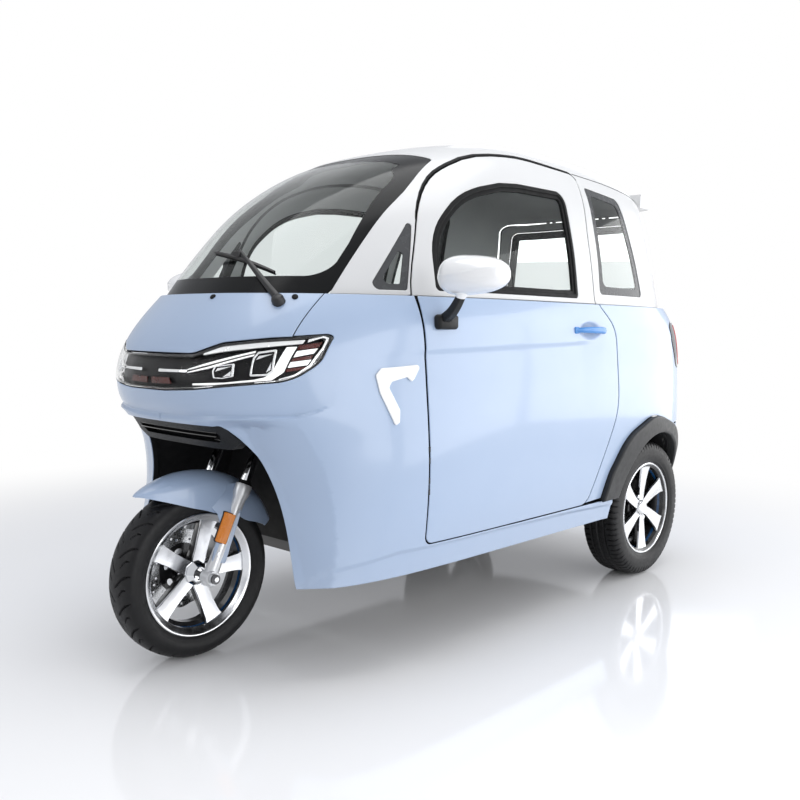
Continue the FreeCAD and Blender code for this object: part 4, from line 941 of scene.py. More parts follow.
@dataclass
class Panel:
    """A sheet cut from the body's surface, with rolled edges, a wall and an inner face.

    Its outer face is point + (lift - relief) * normal. Its edge rolls over a quarter circle and drops to the
    inner face, which is the outer one moved in by the wall.
    """

    form: Form
    edge: Array
    holes: Sequence[Array] = ()
    bands: Sequence[tuple[Array, int]] = ()
    roll: float = 0.0025
    wall: float = 0.016
    lift: float = 0.0
    spacing: float = 0.016
    relief: Callable[[Array], Array] | None = None
    dense: Array | None = None
    inner_slot: int = 1
    wall_slot: int = 0
    SPREAD: float = 0.55
    STEP: float = 6e-4
    LINE: int = 500

    def _place(self, where: Array) -> Array:
        """Points of the outer face.

        Args:
            where: Turn and climb.

        Returns:
            Their places.
        """
        turn, climb = where[..., 0], where[..., 1]
        points = self.form.point(turn, climb)
        if self.lift == 0 and self.relief is None:
            return points
        out = np.full(points.shape[:-1], self.lift)
        if self.relief is not None:
            out = out - self.relief(points)
        return points + out[..., None] * self.form.normal(turn, climb)

    def _frame(self, where: Array) -> tuple[Array, Array, Array]:
        """The two slopes and the normal of the outer face.

        Args:
            where: Turn and climb.

        Returns:
            Slope by turn, slope by climb, and normal.
        """
        step = self.STEP
        high = self.form.high
        up = np.stack([where[:, 0], np.minimum(where[:, 1] + step, high)], -1)
        down = np.stack([where[:, 0], np.maximum(where[:, 1] - step, 0)], -1)
        by_turn = (self._place(where + (step, 0)) - self._place(where - (step, 0))) / (2 * step)
        by_climb = (self._place(up) - self._place(down)) / (up[:, 1] - down[:, 1])[:, None]
        normal = unit(np.cross(by_turn, by_climb))
        if self.form.domed:
            normal[where[:, 1] > high - 0.004] = (0, 0, 1)
        return by_turn, by_climb, normal

    def _outward(self, loop: Array) -> tuple[Array, Array, Array]:
        """The directions at each point of a loop.

        Args:
            loop: Turn and climb along it.

        Returns:
            The normal, the direction out of the sheet, and the move in turn and climb that goes in by the roll.
        """
        by_turn, by_climb, normal = self._frame(loop)
        points = self._place(loop)
        folded = on_fold(loop)
        run = np.roll(points, -1, 0) - points
        out_after = np.cross(unit(run), normal)
        out_before = np.cross(unit(np.roll(run, 1, 0)), normal)
        fold_after = (folded & np.roll(folded, -1))[:, None]
        fold_before = (folded & np.roll(folded, 1))[:, None]
        out_after = np.where(fold_after, 0, out_after)
        out_before = np.where(fold_before, 0, out_before)
        dot = np.sum(out_after * out_before, 1)[:, None]
        both = (out_after + out_before) / np.maximum(1 + dot, 0.5)
        out = np.where(fold_after | fold_before, out_after + out_before, both)
        out[folded, 1] = 0
        gram_a = np.sum(by_turn * by_turn, 1)
        gram_b = np.sum(by_turn * by_climb, 1)
        gram_c = np.sum(by_climb * by_climb, 1)
        ra, rc = -self.roll * np.sum(by_turn * out, 1), -self.roll * np.sum(by_climb * out, 1)
        det = np.maximum(gram_a * gram_c - gram_b ** 2, 1e-12)
        shift = np.stack([(ra * gram_c - rc * gram_b) / det, (rc * gram_a - ra * gram_b) / det], -1)
        shift[folded, 0] = 0
        return normal, out, shift

    def _inner_points(self, loops: Sequence[Array]) -> Array:
        """Points evenly spread over the sheet, away from its edges.

        Args:
            loops: Its outline and holes.

        Returns:
            Their turn and climb.
        """
        every = np.concatenate(loops)
        low, high = every.min(0), every.max(0)
        rows = []
        offset = 0.0
        turn = np.linspace(low[0], high[0], self.LINE)
        for climb in np.arange(low[1] + self.spacing / 2, high[1], self.spacing):
            along = distances(self.form.point(turn, np.full(self.LINE, climb)))
            offset = 0.5 - offset
            at = np.arange(self.spacing * (0.5 + offset), along[-1], self.spacing)
            rows.append(np.stack([np.interp(at, along, turn), np.full(len(at), climb)], -1))
        spread = np.concatenate(rows + ([self.dense] if self.dense is not None else []) + [np.zeros((0, 2))])
        spread = spread[inside(spread, loops)]
        return self._clear_of(spread, every, 0.45 if self.dense is None else 0.25)

    def _clear_of(self, spread: Array, edge: Array, share: float) -> Array:
        """The points that keep a share of the spacing away from those of an edge."""
        where, line = self.form.point(*spread.T), self.form.point(*edge.T)
        near = np.array([np.min(np.sum((line - p) ** 2, 1)) for p in where])
        return spread[near > (share * self.spacing) ** 2]

    def build(self) -> Patch:
        """Cuts the sheet into triangles and gives it its edges, wall and inner face.

        Returns:
            The patch, with a normal for every face corner.
        """
        loops = wound([self.edge, *self.holes])
        edges = [self._outward(loop) for loop in loops]
        inset = [loop + edge[2] for loop, edge in zip(loops, edges)]
        bands = [band for band, _ in self.bands]
        middle = self._inner_points(inset)
        if bands:
            middle = self._clear_of(middle, np.concatenate(bands), 0.4)
        given = np.concatenate(inset + bands + [middle])
        where, tris, number = triangulated(given * (self.SPREAD, 1.0), inset + bands, 1e-7)
        where = where / (self.SPREAD, 1.0)
        where[[number[i] for i in range(len(given))]] = given
        tris = kept_triangles(where, tris, inset)
        slots = np.zeros(len(tris), int)
        for band, slot in self.bands:
            slots[inside(where[tris].mean(1), [band])] = slot
        top = self._place(where)
        _, _, normal = self._frame(where)
        count = len(top)
        patch = Patch().add(np.concatenate([top, top - self.wall * normal]), [])
        inner = slots if self.bands else np.full(len(tris), self.inner_slot)
        for slot in np.unique(np.concatenate([slots, inner])):
            for chosen, first, way in ((tris[slots == slot], 0, 1), (tris[inner == slot][:, ::-1], count, -1)):
                patch.faces.append(chosen + first)
                patch.normals.append(way * normal[chosen])
                patch.slots.append(int(slot))
        self._edge_faces(patch, loops, edges, number, count)
        return patch

    def _edge_faces(self, patch: Patch, loops: Sequence[Array], edges: Sequence[tuple], number: dict[int, int],
                    count: int) -> None:
        """Adds the rolled edge and the wall round every loop.

        Args:
            patch: The sheet so far.
            loops: Its outline and holes.
            edges: The directions at their points.
            number: The number of each loop point in the sheet.
            count: How many points the outer face has.
        """
        start = 0
        for loop, (normal, out, shift) in zip(loops, edges):
            size = len(loop)
            ring = np.array([number[start + i] for i in range(size)])
            start += size
            rows, leans = [], [normal]
            aside = unit(out)
            for t in EDGE_TURNS:
                place = self._place(loop + shift * (1 - math.sin(t)))
                rows.append(place - normal * self.roll * (1 - math.cos(t)))
                leans.append(unit(math.cos(t) * normal + math.sin(t) * aside))
            base = patch.size
            patch.add(np.concatenate(rows), [])
            ids = [ring] + [base + k * size + np.arange(size) for k in range(len(rows))] + [ring + count]
            folded = on_fold(loop)
            open_run = ~(folded & np.roll(folded, -1))
            leans += [leans[-1]]
            for k in range(len(ids) - 1):
                (a, b), (na, nb) = ids[k:k + 2], leans[k:k + 2]
                patch.faces.append(np.stack([a, b, np.roll(b, -1), np.roll(a, -1)], -1)[open_run])
                patch.normals.append(np.stack([na, nb, np.roll(nb, -1, 0), np.roll(na, -1, 0)], 1)[open_run])
                # The roll keeps slot 0 and the wall takes wall_slot, which on the painted sheets is black painted shade
                # for the gaps.
                patch.slots.append(0 if k < len(rows) else self.wall_slot)


def tidy(patch: Patch) -> Patch:
    """Drops points that no face uses, and turns each face array's points to the new numbers.

    Args:
        patch: The patch.

    Returns:
        The smaller patch.
    """
    points = np.concatenate(patch.points)
    used = np.unique(np.concatenate([array.ravel() for array in patch.faces]))
    number = np.full(len(points), -1)
    number[used] = np.arange(len(used))
    return Patch([points[used]], [number[array] for array in patch.faces], list(patch.slots), len(used),
                 list(patch.normals))


def both_halves(patch: Patch) -> Patch:
    """A half sheet and its mirror image, joined along the middle where they meet.

    Args:
        patch: The left half.

    Returns:
        The whole sheet.
    """
    patch = tidy(patch)
    points = patch.points[0]
    middle = np.abs(points[:, 1]) < 2e-6
    points[middle, 1] = 0
    number = np.where(middle, np.arange(len(points)), len(points) + np.cumsum(~middle) - 1)
    other = points[~middle] * (1, -1, 1)
    faces = patch.faces + [number[array][:, ::-1] for array in patch.faces]
    normals = patch.normals + [array[:, ::-1] * (1, -1, 1) for array in patch.normals]
    return Patch([np.concatenate([points, other])], faces, patch.slots * 2, len(points) + len(other), normals)


def sheet(name: str, patch: Patch, finishes: Sequence[Finish], body: Body,
          stands_for: Sequence[str] = ()) -> bpy.types.Object:
    """Makes a piece of a patch that has its own corner normals.

    Args:
        name: The piece's name.
        patch: Its patch.
        finishes: A finish for each slot.
        body: What it rides on.
        stands_for: The frame's nodes that it replaces.

    Returns:
        The object.
    """
    patch = tidy(patch)
    keep = [i for i, array in enumerate(patch.faces) if len(array)]
    patch.faces, patch.slots = [patch.faces[i] for i in keep], [patch.slots[i] for i in keep]
    normals = np.concatenate([patch.normals[i].reshape(-1, 3) for i in keep])
    return piece(name, patch, finishes, body, stands_for, normals=unit(normals))


# Painted body
# ============
DOOR = [(525, 329, 22), (523, 1000, 400), (412, 1300, 310), (170, 1414, 620), (-60, 1437, 900), (-370, 1423, 25),
        (-318, 1190, 600), (-302, 985, 60), (-382, 900, 130), (-408, 640, 220), (-325, 470, 260), (-262, 329, 50)]
DOOR_WINDOW = [(440, 1003, 12), (426, 1160, 190), (300, 1279, 320), (110, 1340, 700), (-236, 1345, 38),
               (-207, 1003, 12)]
QUARTER_WINDOW = [(634, 1000, 14), (466, 1204, 6), (531.5, 1000, 8)]
REAR_SIDE_WINDOW = [(-348, 1020, 14), (-398, 1384, 14), (-617, 1366, 30), (-656, 1020, 16)]
FLARE = [(-350, 245, 0), (-350, 326, 0), (-380, 420, 140), (-475, 538, 220), (-677, 606, 220), (-886, 548, 200),
         (-1016, 420, 160), (-1052, 322, 0), (-1052, 245, 0)]
TAILGATE = [(-385, 560, 50), (-385, 960, 300), (-335, 1352, 40), (335, 1352, 40), (385, 960, 300), (385, 560, 50)]
REAR_WINDOW = [(-336, 1040, 30), (-298, 1318, 30), (298, 1318, 30), (336, 1040, 30)]
TAIL_LAMP = [(412, 760, 20), (412, 925, 20), (500, 938, 30), (506, 860, 60), (498, 760, 20)]
SCREEN_HALF = [(336, -110, 0), (336, 110, 600), (288, 306, 12), (450, 346, 300), (1090, 346, 0)]
ARCH_RADIUS = 0.285
HALF_GAP = 0.0005
DOOR_BODIES = (("left", Body.DOOR_LEFT), ("right", Body.DOOR_RIGHT))
REAR_AXLE = np.array([-0.7245, 0.0, 0.247])
FRONT_AXLE = np.array([0.9155, 0.0, 0.2295])


def half_of(loop: Array) -> Array:
    """The half of a closed (y, z) or (x, y) outline whose crossed coordinate is positive, cut on the middle line.

    Args:
        loop: The outline.

    Returns:
        Its half.
    """
    after = np.roll(loop, -1, 0)
    made = []
    for a, b in zip(loop, after):
        if a[0] >= 0:
            made.append(a)
        if a[0] * b[0] < 0:
            made.append(a + (b - a) * a[0] / (a[0] - b[0]))
    return np.array(made)


def open_run(corners: Sequence[Sequence[float]]) -> Array:
    """An open line through corners in millimetres, each with its radius.

    Args:
        corners: The corners.

    Returns:
        The points in metres.
    """
    made = [np.array(corners[0][:2]) * MM]
    for before, here, after in zip(corners, corners[1:], corners[2:]):
        if here[2] == 0:
            made.append(np.array(here[:2]) * MM)
        else:
            made += list(rounded([before[:2] + (0,), here, after[:2] + (0,)], longest=UNCUT)[1:-1])
    made.append(np.array(corners[-1][:2]) * MM)
    return np.array(made)


def straight(form: Form, view: View, *corners: Sequence[float]) -> Array:
    """Turn and climb along straight runs between corners in metres."""
    return form.locate(view, *divided(np.array(corners, float), closed=False).T)


def trace(form: Form, view: View, points: Sequence[Sequence[float]], closed: bool = False) -> Array:
    """A run drawn in millimetres, with rounded corners where a third number gives the radius.

    Args:
        form: The surface.
        view: The view that it is drawn in.
        points: Its corners.
        closed: Whether it is a whole outline.

    Returns:
        Turn and climb along the run.
    """
    rows = [tuple(p) + (0,) if len(p) == 2 else tuple(p) for p in points]
    if closed:
        return form.locate(view, *rounded(rows).T)
    return straight(form, view, *open_run(rows))


def end_of(form: Form, run: Array) -> Array:
    """The place of a run's last point."""
    return form.point(*run[-1:].T)[0]


def chained(*runs: Array) -> Array:
    """One closed loop of runs that each end where the next one starts."""
    return join_runs(*(run[:-1] for run in runs))


def join_runs(*runs: Array) -> Array:
    """One closed loop of several runs, with doubled joints taken out."""
    loop = np.concatenate(runs)
    gap = np.linalg.norm((np.roll(loop, -1, 0) - loop) * (0.55, 1), axis=1)
    return loop[gap > 2e-4]


def fold_run(form: Form, turn: float, start: float, end: float) -> Array:
    """A run along the middle line between two climbs."""
    count = max(2, int(abs(end - start) / 0.014))
    return np.stack([np.full(count, turn), np.linspace(start, end, count)], -1)


def swell(points: Array, centre: Sequence[float], size: Sequence[float]) -> Array:
    """A soft bump of height one: cos^2 of the distance from a centre in units of a size, and nothing past one.

    Args:
        points: The points.
        centre: Its middle, as x and z.
        size: Its half sizes.

    Returns:
        The height at each point.
    """
    r = np.sqrt(np.sum(((points[..., [0, 2]] - centre) / size) ** 2, -1))
    return np.where(r < 1, np.cos(np.clip(r, 0, 1) * math.pi / 2) ** 2, 0)


def skirt_line(x: Array) -> Array:
    """The height of the crease along the skirt at each station."""
    return np.interp(x, [-0.45, -0.2, 0.2, 0.62, 0.806, 0.87], [0.308, 0.318, 0.325, 0.325, 0.300, 0.262])


CREASE_AT = np.array([0.0, 0.133, 0.257, 0.321, 0.381, 0.410, 0.424])
CREASE_HEIGHT = np.array([0.654, 0.658, 0.668, 0.671, 0.673, 0.687, 0.701])
FACET_HEIGHT = np.array([0.253, 0.358, 0.433, 0.495, 0.551, 0.592, 0.637, 0.672])
FACET_REAR = np.array([0.800, 0.787, 0.785, 0.793, 0.805, 0.824, 0.846, 0.868])
FACET_FRONT = np.array([0.862, 0.860, 0.862, 0.874, 0.896, 0.918, 0.935, 0.945])
SHOULDER_AT = (-0.30, 0.45, 0.75)
SHOULDER_HEIGHT = (0.874, 0.852, 0.838)
LEDGE_DEPTH = 0.0130
FACET_DEPTH = 0.026
SHOULDER_DEPTH = 0.0060


def soft_step(share: Array) -> Array:
    """A step from nothing to one with soft ends."""
    s = np.clip(share, 0, 1)
    return s * s * (3 - 2 * s)


def shoulder_line(x: Array) -> Array:
    """The height of the flank's shoulder line at each station."""
    return np.interp(x, SHOULDER_AT, SHOULDER_HEIGHT)


def nose_folds(points: Array) -> Array:
    """How far the nose steps in above its crease, and how far the facet round the wheel opening leans in.

    Args:
        points: Points of the nose.

    Returns:
        The depth at each.
    """
    across, height = np.abs(points[..., 1]), points[..., 2]
    above = height - np.interp(across, CREASE_AT, CREASE_HEIGHT)
    fade = np.clip((0.430 - across) / 0.05, 0, 1)
    ledge = LEDGE_DEPTH * soft_step(above / 0.009) * np.exp(-np.clip(above, 0, 1) / 0.055) * fade
    rear = np.interp(height, FACET_HEIGHT, FACET_REAR)
    front = np.interp(height, FACET_HEIGHT, FACET_FRONT)
    share = np.clip((points[..., 0] - rear) / (front - rear), 0, 1)
    low = np.clip(-above / 0.03, 0, 1)
    return ledge + FACET_DEPTH * share * low * np.clip((across - 0.20) / 0.06, 0, 1)


def swage(points: Array) -> Array:
    """How far the flank steps in under its shoulder line, fading downwards and towards both ends.

    Args:
        points: Points of the flank.

    Returns:
        The depth at each.
    """
    x = points[..., 0]
    drop = shoulder_line(x) - points[..., 2]
    ends = np.clip((x + 0.30) / 0.12, 0, 1) * np.clip((0.74 - x) / 0.25, 0, 1)
    return SHOULDER_DEPTH * soft_step(drop / 0.026) * np.exp(-np.clip(drop, 0, 1) / 0.075) * ends


def fold_points(line: Array) -> Array:
    """Turn and climb of extra points along both sides of a crease, given as x and z on the flank."""
    return np.concatenate([straight(LOWER, View.SIDE, *(line + (shift, 0.0))) for shift in (-0.004, 0.0, 0.004)])


def screen_run(inward: float) -> Array:
    """Half of the screen's outline, from the middle of its top down its left side to the belt.

    Args:
        inward: How far inside the opening it runs, in metres.

    Returns:
        Turn and climb along it.
    """
    line = open_run(SCREEN_HALF)
    if inward > 0:
        along = unit(np.gradient(line, axis=0))
        line = line + inward * np.stack([-along[:, 1], along[:, 0]], -1)
    line = line[line[:, 1] > 0.002]
    run = straight(UPPER, View.PLAN, [line[0, 0], 0.0], *line)
    run = run[run[:, 1] > 0.004]
    run[0, 0] = 0.0
    return run


def half_loop(form: Form, half: Array) -> Array:
    """A half outline seen from behind, closed along the middle line.

    Args:
        form: The surface.
        half: The half outline in metres.

    Returns:
        Turn and climb along the loop.
    """
    fold = half[:, 0] < FOLD
    ends, away = half[fold], half[~fold]
    order = np.argsort(-np.arctan2(away[:, 1] - half[:, 1].mean(), away[:, 0]))
    run = straight(form, View.REAR, ends[np.argmax(ends[:, 1])], *away[order], ends[np.argmin(ends[:, 1])])
    run[[0, -1], 0] = math.pi
    return join_runs(run, fold_run(form, math.pi, float(run[-1, 1]), float(run[0, 1]))[1:-1])


@dataclass
class PaintedBody:
    """The pale blue lower shell, the white upper shell and the black flares, as sheets of one surface."""

    relief_depth: float = 0.007
    handle_recess: tuple[float, float] = (-0.222, 0.898)

    def skirt(self, points: Array) -> Array:
        """How far the skirt steps in below its crease: a smooth step 16 mm high."""
        drop = (skirt_line(points[..., 0]) - points[..., 2]) / 0.016
        return self.relief_depth * soft_step(drop) * np.clip((points[..., 0] + 0.5) / 0.1, 0, 1)

    def recess(self, points: Array) -> Array:
        """The finger recess behind the door handle, an oval bowl."""
        return 0.016 * np.minimum(1.35 * swell(points, self.handle_recess, (0.072, 0.034)), 1)

    # Every sheet here but the flares passes wall_slot=2: the walls of its edges are black, painted shade in the panel
    # gaps.
    def build(self) -> None:
        """Makes every sheet."""
        self.front_wing()
        self.bonnet()
        self.doors()
        self.rear_quarters()
        self.tail()
        self.flares()
        self.upper_shell()

    def front_wing(self) -> None:
        """The nose, both wings and the skirt under the doors, in one sheet."""
        mouth = trace(LOWER, View.FRONT, [(385.1, 250, 0), (268, 545, 120), (217, 648, 10), (0, 648, 0)])
        lamp = trace(LOWER, View.FRONT, [(0, 734, 0), (80, 734, 0), (176, 740, 300), (373, 765, 60), (406, 811, 60),
                                         (411, 885, 12), (352.8, 877.5, 0)])
        seam = trace(LOWER, View.FRONT, [(352.8, 877.5, 0), (352.8, 985, 0)])
        belt_front = straight(LOWER, View.FRONT, [0.3528, BELT], [0.44, BELT])
        belt = straight(LOWER, View.SIDE, [end_of(LOWER, belt_front)[0], BELT], [0.5305, BELT])
        door = trace(LOWER, View.SIDE, [(530.5, 985, 0), (530.5, 323.5, 26), (-447, 323.5, 16), (-438, 250, 0)])
        bottom_side = straight(LOWER, View.SIDE, [-0.438, SILL], [0.82, SILL])
        bottom_front = straight(LOWER, View.FRONT, [abs(end_of(LOWER, bottom_side)[1]), SILL], [0.3851, SILL])
        fold = fold_run(LOWER, 0.0, float(mouth[-1, 1]), float(lamp[0, 1]))
        edge = chained(mouth, fold, lamp, seam, belt_front, belt, door, bottom_side, bottom_front)
        fine = [fold_points(np.stack([line, FACET_HEIGHT], -1)[1:-1]) for line in (FACET_REAR, FACET_FRONT)]
        x = np.arange(-0.43, 0.80, 0.012)
        fine += [LOWER.locate(View.SIDE, x, skirt_line(x) - drop) for drop in (0.0, 0.005, 0.011, 0.016)]
        y = np.arange(0.004, 0.432, 0.0065)
        rise = np.interp(y, CREASE_AT, CREASE_HEIGHT)
        fine += [LOWER.locate(View.FRONT, y, rise + up) for up in (-0.004, 0.0, 0.003, 0.006, 0.009, 0.014)]
        panel = Panel(LOWER, edge, relief=lambda p: self.skirt(p) + nose_folds(p) + swage(p), spacing=0.013,
                      wall_slot=2, dense=np.concatenate(fine))
        sheet("nose_and_wings", both_halves(panel.build()), BLUE_SHEET, Body.SHELL, ["front_panel", "sills"])

    def bonnet(self) -> None:
        """The bonnet down to the lamp band."""
        band = trace(LOWER, View.FRONT, [(0, 832, 0), (158, 832, 60), (224, 860, 60), (317, 873, 0), (351.3, 876, 0)])
        seam = trace(LOWER, View.FRONT, [(351.3, 876, 0), (351.3, 985, 0)])
        top = straight(LOWER, View.FRONT, [0.3513, BELT], [0.0, BELT])
        edge = chained(band, seam, top, fold_run(LOWER, 0.0, LOWER.high, float(band[0, 1])))
        panel = Panel(LOWER, edge, wall_slot=2)
        sheet("bonnet_lid", both_halves(panel.build()), BLUE_SHEET, Body.SHELL, ["bonnet"])

    def doors(self) -> None:
        """Both doors: blue skin below the belt, white frame above it."""
        outline = rounded(grown(DOOR, 1.5))
        low = LOWER.locate(View.SIDE, *clipped(outline, BELT - HALF_GAP, False).T)
        u, v = np.meshgrid(np.arange(-0.30, -0.145, 0.004), np.arange(0.862, 0.935, 0.004))
        x = np.arange(-0.30, 0.52, 0.011)
        fine = [LOWER.locate(View.SIDE, u.ravel(), v.ravel())]
        fine += [LOWER.locate(View.SIDE, x, shoulder_line(x) - drop) for drop in (0.0, 0.009, 0.018, 0.027)]
        skin = Panel(LOWER, low, wall_slot=2, relief=lambda p: np.maximum(self.recess(p), swage(p)),
                     dense=np.concatenate(fine)).build()
        high = UPPER.locate(View.SIDE, *clipped(outline, BELT + HALF_GAP, True).T)
        window = trace(UPPER, View.SIDE, grown(DOOR_WINDOW, 2), closed=True)
        frame = Panel(UPPER, high, holes=[window], wall=0.022, wall_slot=2).build()
        for side, body in DOOR_BODIES:
            here = (lambda p: p) if side == "left" else (lambda p: p.mirrored())
            sheet(f"door_panel_{side}", here(skin), BLUE_SHEET, body, [f"door_skin_{side}"])
            sheet(f"door_surround_{side}", here(frame), WHITE_SHEET, body, [f"door_frame_{side}"])

    def rear_quarters(self) -> None:
        """The blue quarter panels between door, belt, tailgate and wheel arch."""
        door = rounded(grown(DOOR, GAP))
        rear = door[(door[:, 0] < 0.3) & (door[:, 1] < BELT)]
        rear = rear[np.argsort(-rear[:, 1])]
        rear = rear[rear[:, 1] > 0.3295]
        door_run = straight(LOWER, View.SIDE, [rear[0, 0], BELT], *rear)
        foot = rear[-1]
        flare = rounded(FLARE)
        arch = flare[(flare[:, 1] > foot[1] - 0.001) & (flare[:, 1] < 0.7)]
        arch = arch[np.argsort(-arch[:, 0])]
        arch = arch[arch[:, 0] > -0.9]
        arch_run = straight(LOWER, View.SIDE, foot, *arch)
        last = arch[-1]
        back = straight(LOWER, View.SIDE, last, [last[0] - 0.02, 0.553], [-1.02, 0.553])
        across_back = straight(LOWER, View.REAR, [end_of(LOWER, back)[1], 0.553], [0.392, 0.553])
        gate = trace(LOWER, View.REAR, [(392, 553, 0), (392, 985, 0)])
        top_rear = straight(LOWER, View.REAR, [0.392, BELT], [0.47, BELT])
        belt = straight(LOWER, View.SIDE, [end_of(LOWER, top_rear)[0], BELT], [rear[0, 0], BELT])
        edge = chained(door_run, arch_run, back, across_back, gate, top_rear, belt)
        lamp = trace(LOWER, View.REAR, grown(TAIL_LAMP, 2), closed=True)
        panel = tidy(Panel(LOWER, edge, holes=[lamp], wall_slot=2).build())
        sheet("quarter_panels", pair(panel), BLUE_SHEET, Body.SHELL, ["rear_quarters"])

    def tail(self) -> None:
        """The tailgate in its two colours, and the bumper under it."""
        outline = half_of(rounded(TAILGATE))
        low = Panel(LOWER, half_loop(LOWER, clipped(outline, BELT - HALF_GAP, False)), wall_slot=2)
        sheet("tailgate_panel", both_halves(low.build()), BLUE_SHEET, Body.TAILGATE, ["tailgate"])
        cut = self._ring_half(UPPER, clipped(outline, BELT + HALF_GAP, True), half_of(rounded(grown(REAR_WINDOW, 2))))
        high = Panel(UPPER, cut, wall=0.022, wall_slot=2)
        sheet("tailgate_surround", both_halves(high.build()), WHITE_SHEET, Body.TAILGATE, ["tailgate_frame"])
        bottom = straight(LOWER, View.REAR, [0.0, SILL], [0.46, SILL])
        low_side = straight(LOWER, View.SIDE, [end_of(LOWER, bottom)[0], SILL], [-1.056, SILL])
        flare = rounded(FLARE)
        arch = flare[(flare[:, 0] < -0.9) & (flare[:, 1] > 0.26) & (flare[:, 1] < 0.545)]
        arch = arch[np.argsort(arch[:, 1])]
        top_x = arch[-1, 0] + 0.004
        up = straight(LOWER, View.SIDE, [-1.056, 0.26], *arch, [top_x, 0.546])
        top_side = straight(LOWER, View.SIDE, [top_x, 0.546], [-1.02, 0.546])
        top = straight(LOWER, View.REAR, [end_of(LOWER, top_side)[1], 0.546], [0.0, 0.546])
        edge = chained(bottom, low_side, up, top_side, top, fold_run(LOWER, math.pi, float(top[-1, 1]), 0.0))
        bumper = Panel(LOWER, edge, wall_slot=2)
        sheet("bumper_cover", both_halves(bumper.build()), BLUE_SHEET, Body.SHELL, ["rear_bumper"])

    def _ring_half(self, form: Form, outer: Array, hole: Array) -> Array:
        """A half outline with a half hole, closed along the two pieces of the middle line.

        Args:
            form: The surface.
            outer: The half outline in metres.
            hole: The half hole.

        Returns:
            Turn and climb along the loop.
        """
        out, inner = half_loop(form, outer), half_loop(form, hole)
        out_run, in_run = (loop[loop[:, 0] < math.pi - 1e-9] for loop in (out, inner))
        top = fold_run(form, math.pi, float(inner[0, 1]), float(out[0, 1]))
        low = fold_run(form, math.pi, float(out[:, 1].min()), float(inner[:, 1].min()))
        return join_runs(top, out_run, low, in_run[::-1])

    def flares(self) -> None:
        """The black arch flares, which stand proud of the panels."""
        line = rounded(FLARE)
        outer = line[(line[:, 1] > 0.2502) & ((line[:, 1] > 0.3255) | (line[:, 0] < -0.9))]
        outer = outer[np.argsort(np.arctan2(outer[:, 1] - 0.24, outer[:, 0] + 0.66))]
        turn = np.linspace(0.2809, math.pi - 0.0105, 66)
        rise = np.maximum(REAR_AXLE[2] + ARCH_RADIUS * np.sin(turn), SILL)
        arc = np.stack([REAR_AXLE[0] + ARCH_RADIUS * np.cos(turn), rise], -1)
        loop = LOWER.locate(View.SIDE, *divided(np.concatenate([outer, arc[::-1]])).T)
        panel = tidy(Panel(LOWER, loop, roll=0.008, wall=0.034, lift=0.019, spacing=0.012).build())
        sheet("arch_flare_pair", pair(panel), [SATIN_BLACK, MOULDED_BLACK], Body.SHELL, ["arch_flares"])

    def upper_shell(self) -> None:
        """The white frame and roof in one sheet, open for the screen, the doors, the side glass and the tailgate."""
        rising = screen_run(0.0)
        foot = UPPER.locate(View.FRONT, np.array([0.346]), np.array([BELT]))[0]
        door = clipped(rounded(grown(DOOR, GAP)), BELT + 0.0001, True)
        door = door[np.argsort(np.arctan2(door[:, 1] - 0.95, door[:, 0] - 0.1))]
        door_run = straight(UPPER, View.SIDE, *door[door[:, 1] > BELT + 0.00015])
        gate = clipped(half_of(rounded(grown(TAILGATE, GAP))), BELT + 0.0001, True)
        crown = gate[:, 1].max()
        gate = gate[(gate[:, 1] > BELT + 0.00015) & (gate[:, 0] > FOLD)]
        gate = gate[np.argsort(np.arctan2(gate[:, 1] - 0.98, gate[:, 0]))]
        gate_run = straight(UPPER, View.REAR, *gate, [0.0, crown])
        gate_run[-1, 0] = math.pi
        belt_front = belt_run(UPPER, foot[0], door_run[0, 0])
        belt_rear = belt_run(UPPER, door_run[-1, 0], gate_run[0, 0])
        pole = UPPER.high - 0.002
        up = fold_run(UPPER, math.pi, float(gate_run[-1, 1]), pole)
        down = fold_run(UPPER, 0.0, pole, float(rising[0, 1]))
        edge = join_runs(np.vstack([rising, foot[None]]), belt_front, door_run, belt_rear, gate_run[:-1], up[:-1],
                         np.array([[math.pi, pole]]), down[:-1])
        holes = [trace(UPPER, View.SIDE, grown(outline, 1), closed=True) for outline in (QUARTER_WINDOW,
                                                                                         REAR_SIDE_WINDOW)]
        panel = Panel(UPPER, edge, holes=holes, wall=0.022, wall_slot=2)
        sheet("roof_and_pillars", both_halves(panel.build()), WHITE_SHEET, Body.SHELL, ["upper_frame", "roof_panel"])


def belt_run(form: Form, start: float, end: float) -> Array:
    """A run along the lowest level outline between two turns.

    Args:
        form: The surface.
        start: The first turn.
        end: The last turn.

    Returns:
        Turn and climb along it, without its ends.
    """
    fine = np.linspace(start, end, 400)
    along = distances(form.point(fine, np.zeros(len(fine))))
    count = max(2, int(along[-1] / 0.012))
    turn = np.interp(np.linspace(0, along[-1], count + 1)[1:-1], along, fine)
    return np.stack([turn, np.zeros(len(turn))], -1)


# Wheels and fork
# ===============
TYRE_RUBBER = Finish("tyre_rubber", "tyre", (0.0080, 0.0080, 0.0088), (0.0055, 0.0055, 0.0062), rough=0.47, grain=0.35,
                     grain_scale=700.0, patch_scale=18.0, specular=0.32)
MACHINED = Finish("machined_aluminium", "aluminium", (0.74, 0.75, 0.77), (0.66, 0.67, 0.69), rough=0.20, metal=1.0,
                  rough_spread=0.05, grain=0.10, grain_scale=260.0, brushed=True, coat=0.35)
POCKET_BLACK = Finish("pocket_black", "aluminium", (0.010, 0.010, 0.011), rough=0.30, grain=0.08, coat=0.5)
BARREL_BLUE_RING = Finish("barrel_blue_ring", "aluminium", (0.010, 0.055, 0.150), rough=0.22, coat=1.0, grain=0.02)
CHROME = Finish("bright_chrome", "chrome", (0.90, 0.91, 0.92), (0.86, 0.87, 0.88), rough=0.06, rough_spread=0.03,
                metal=1.0, grain=0.01)
CAST_SILVER = Finish("cast_silver", "aluminium", (0.70, 0.71, 0.725), (0.65, 0.66, 0.675), rough=0.36, metal=0.6,
                     grain=0.25, grain_scale=900.0, coat=0.3)
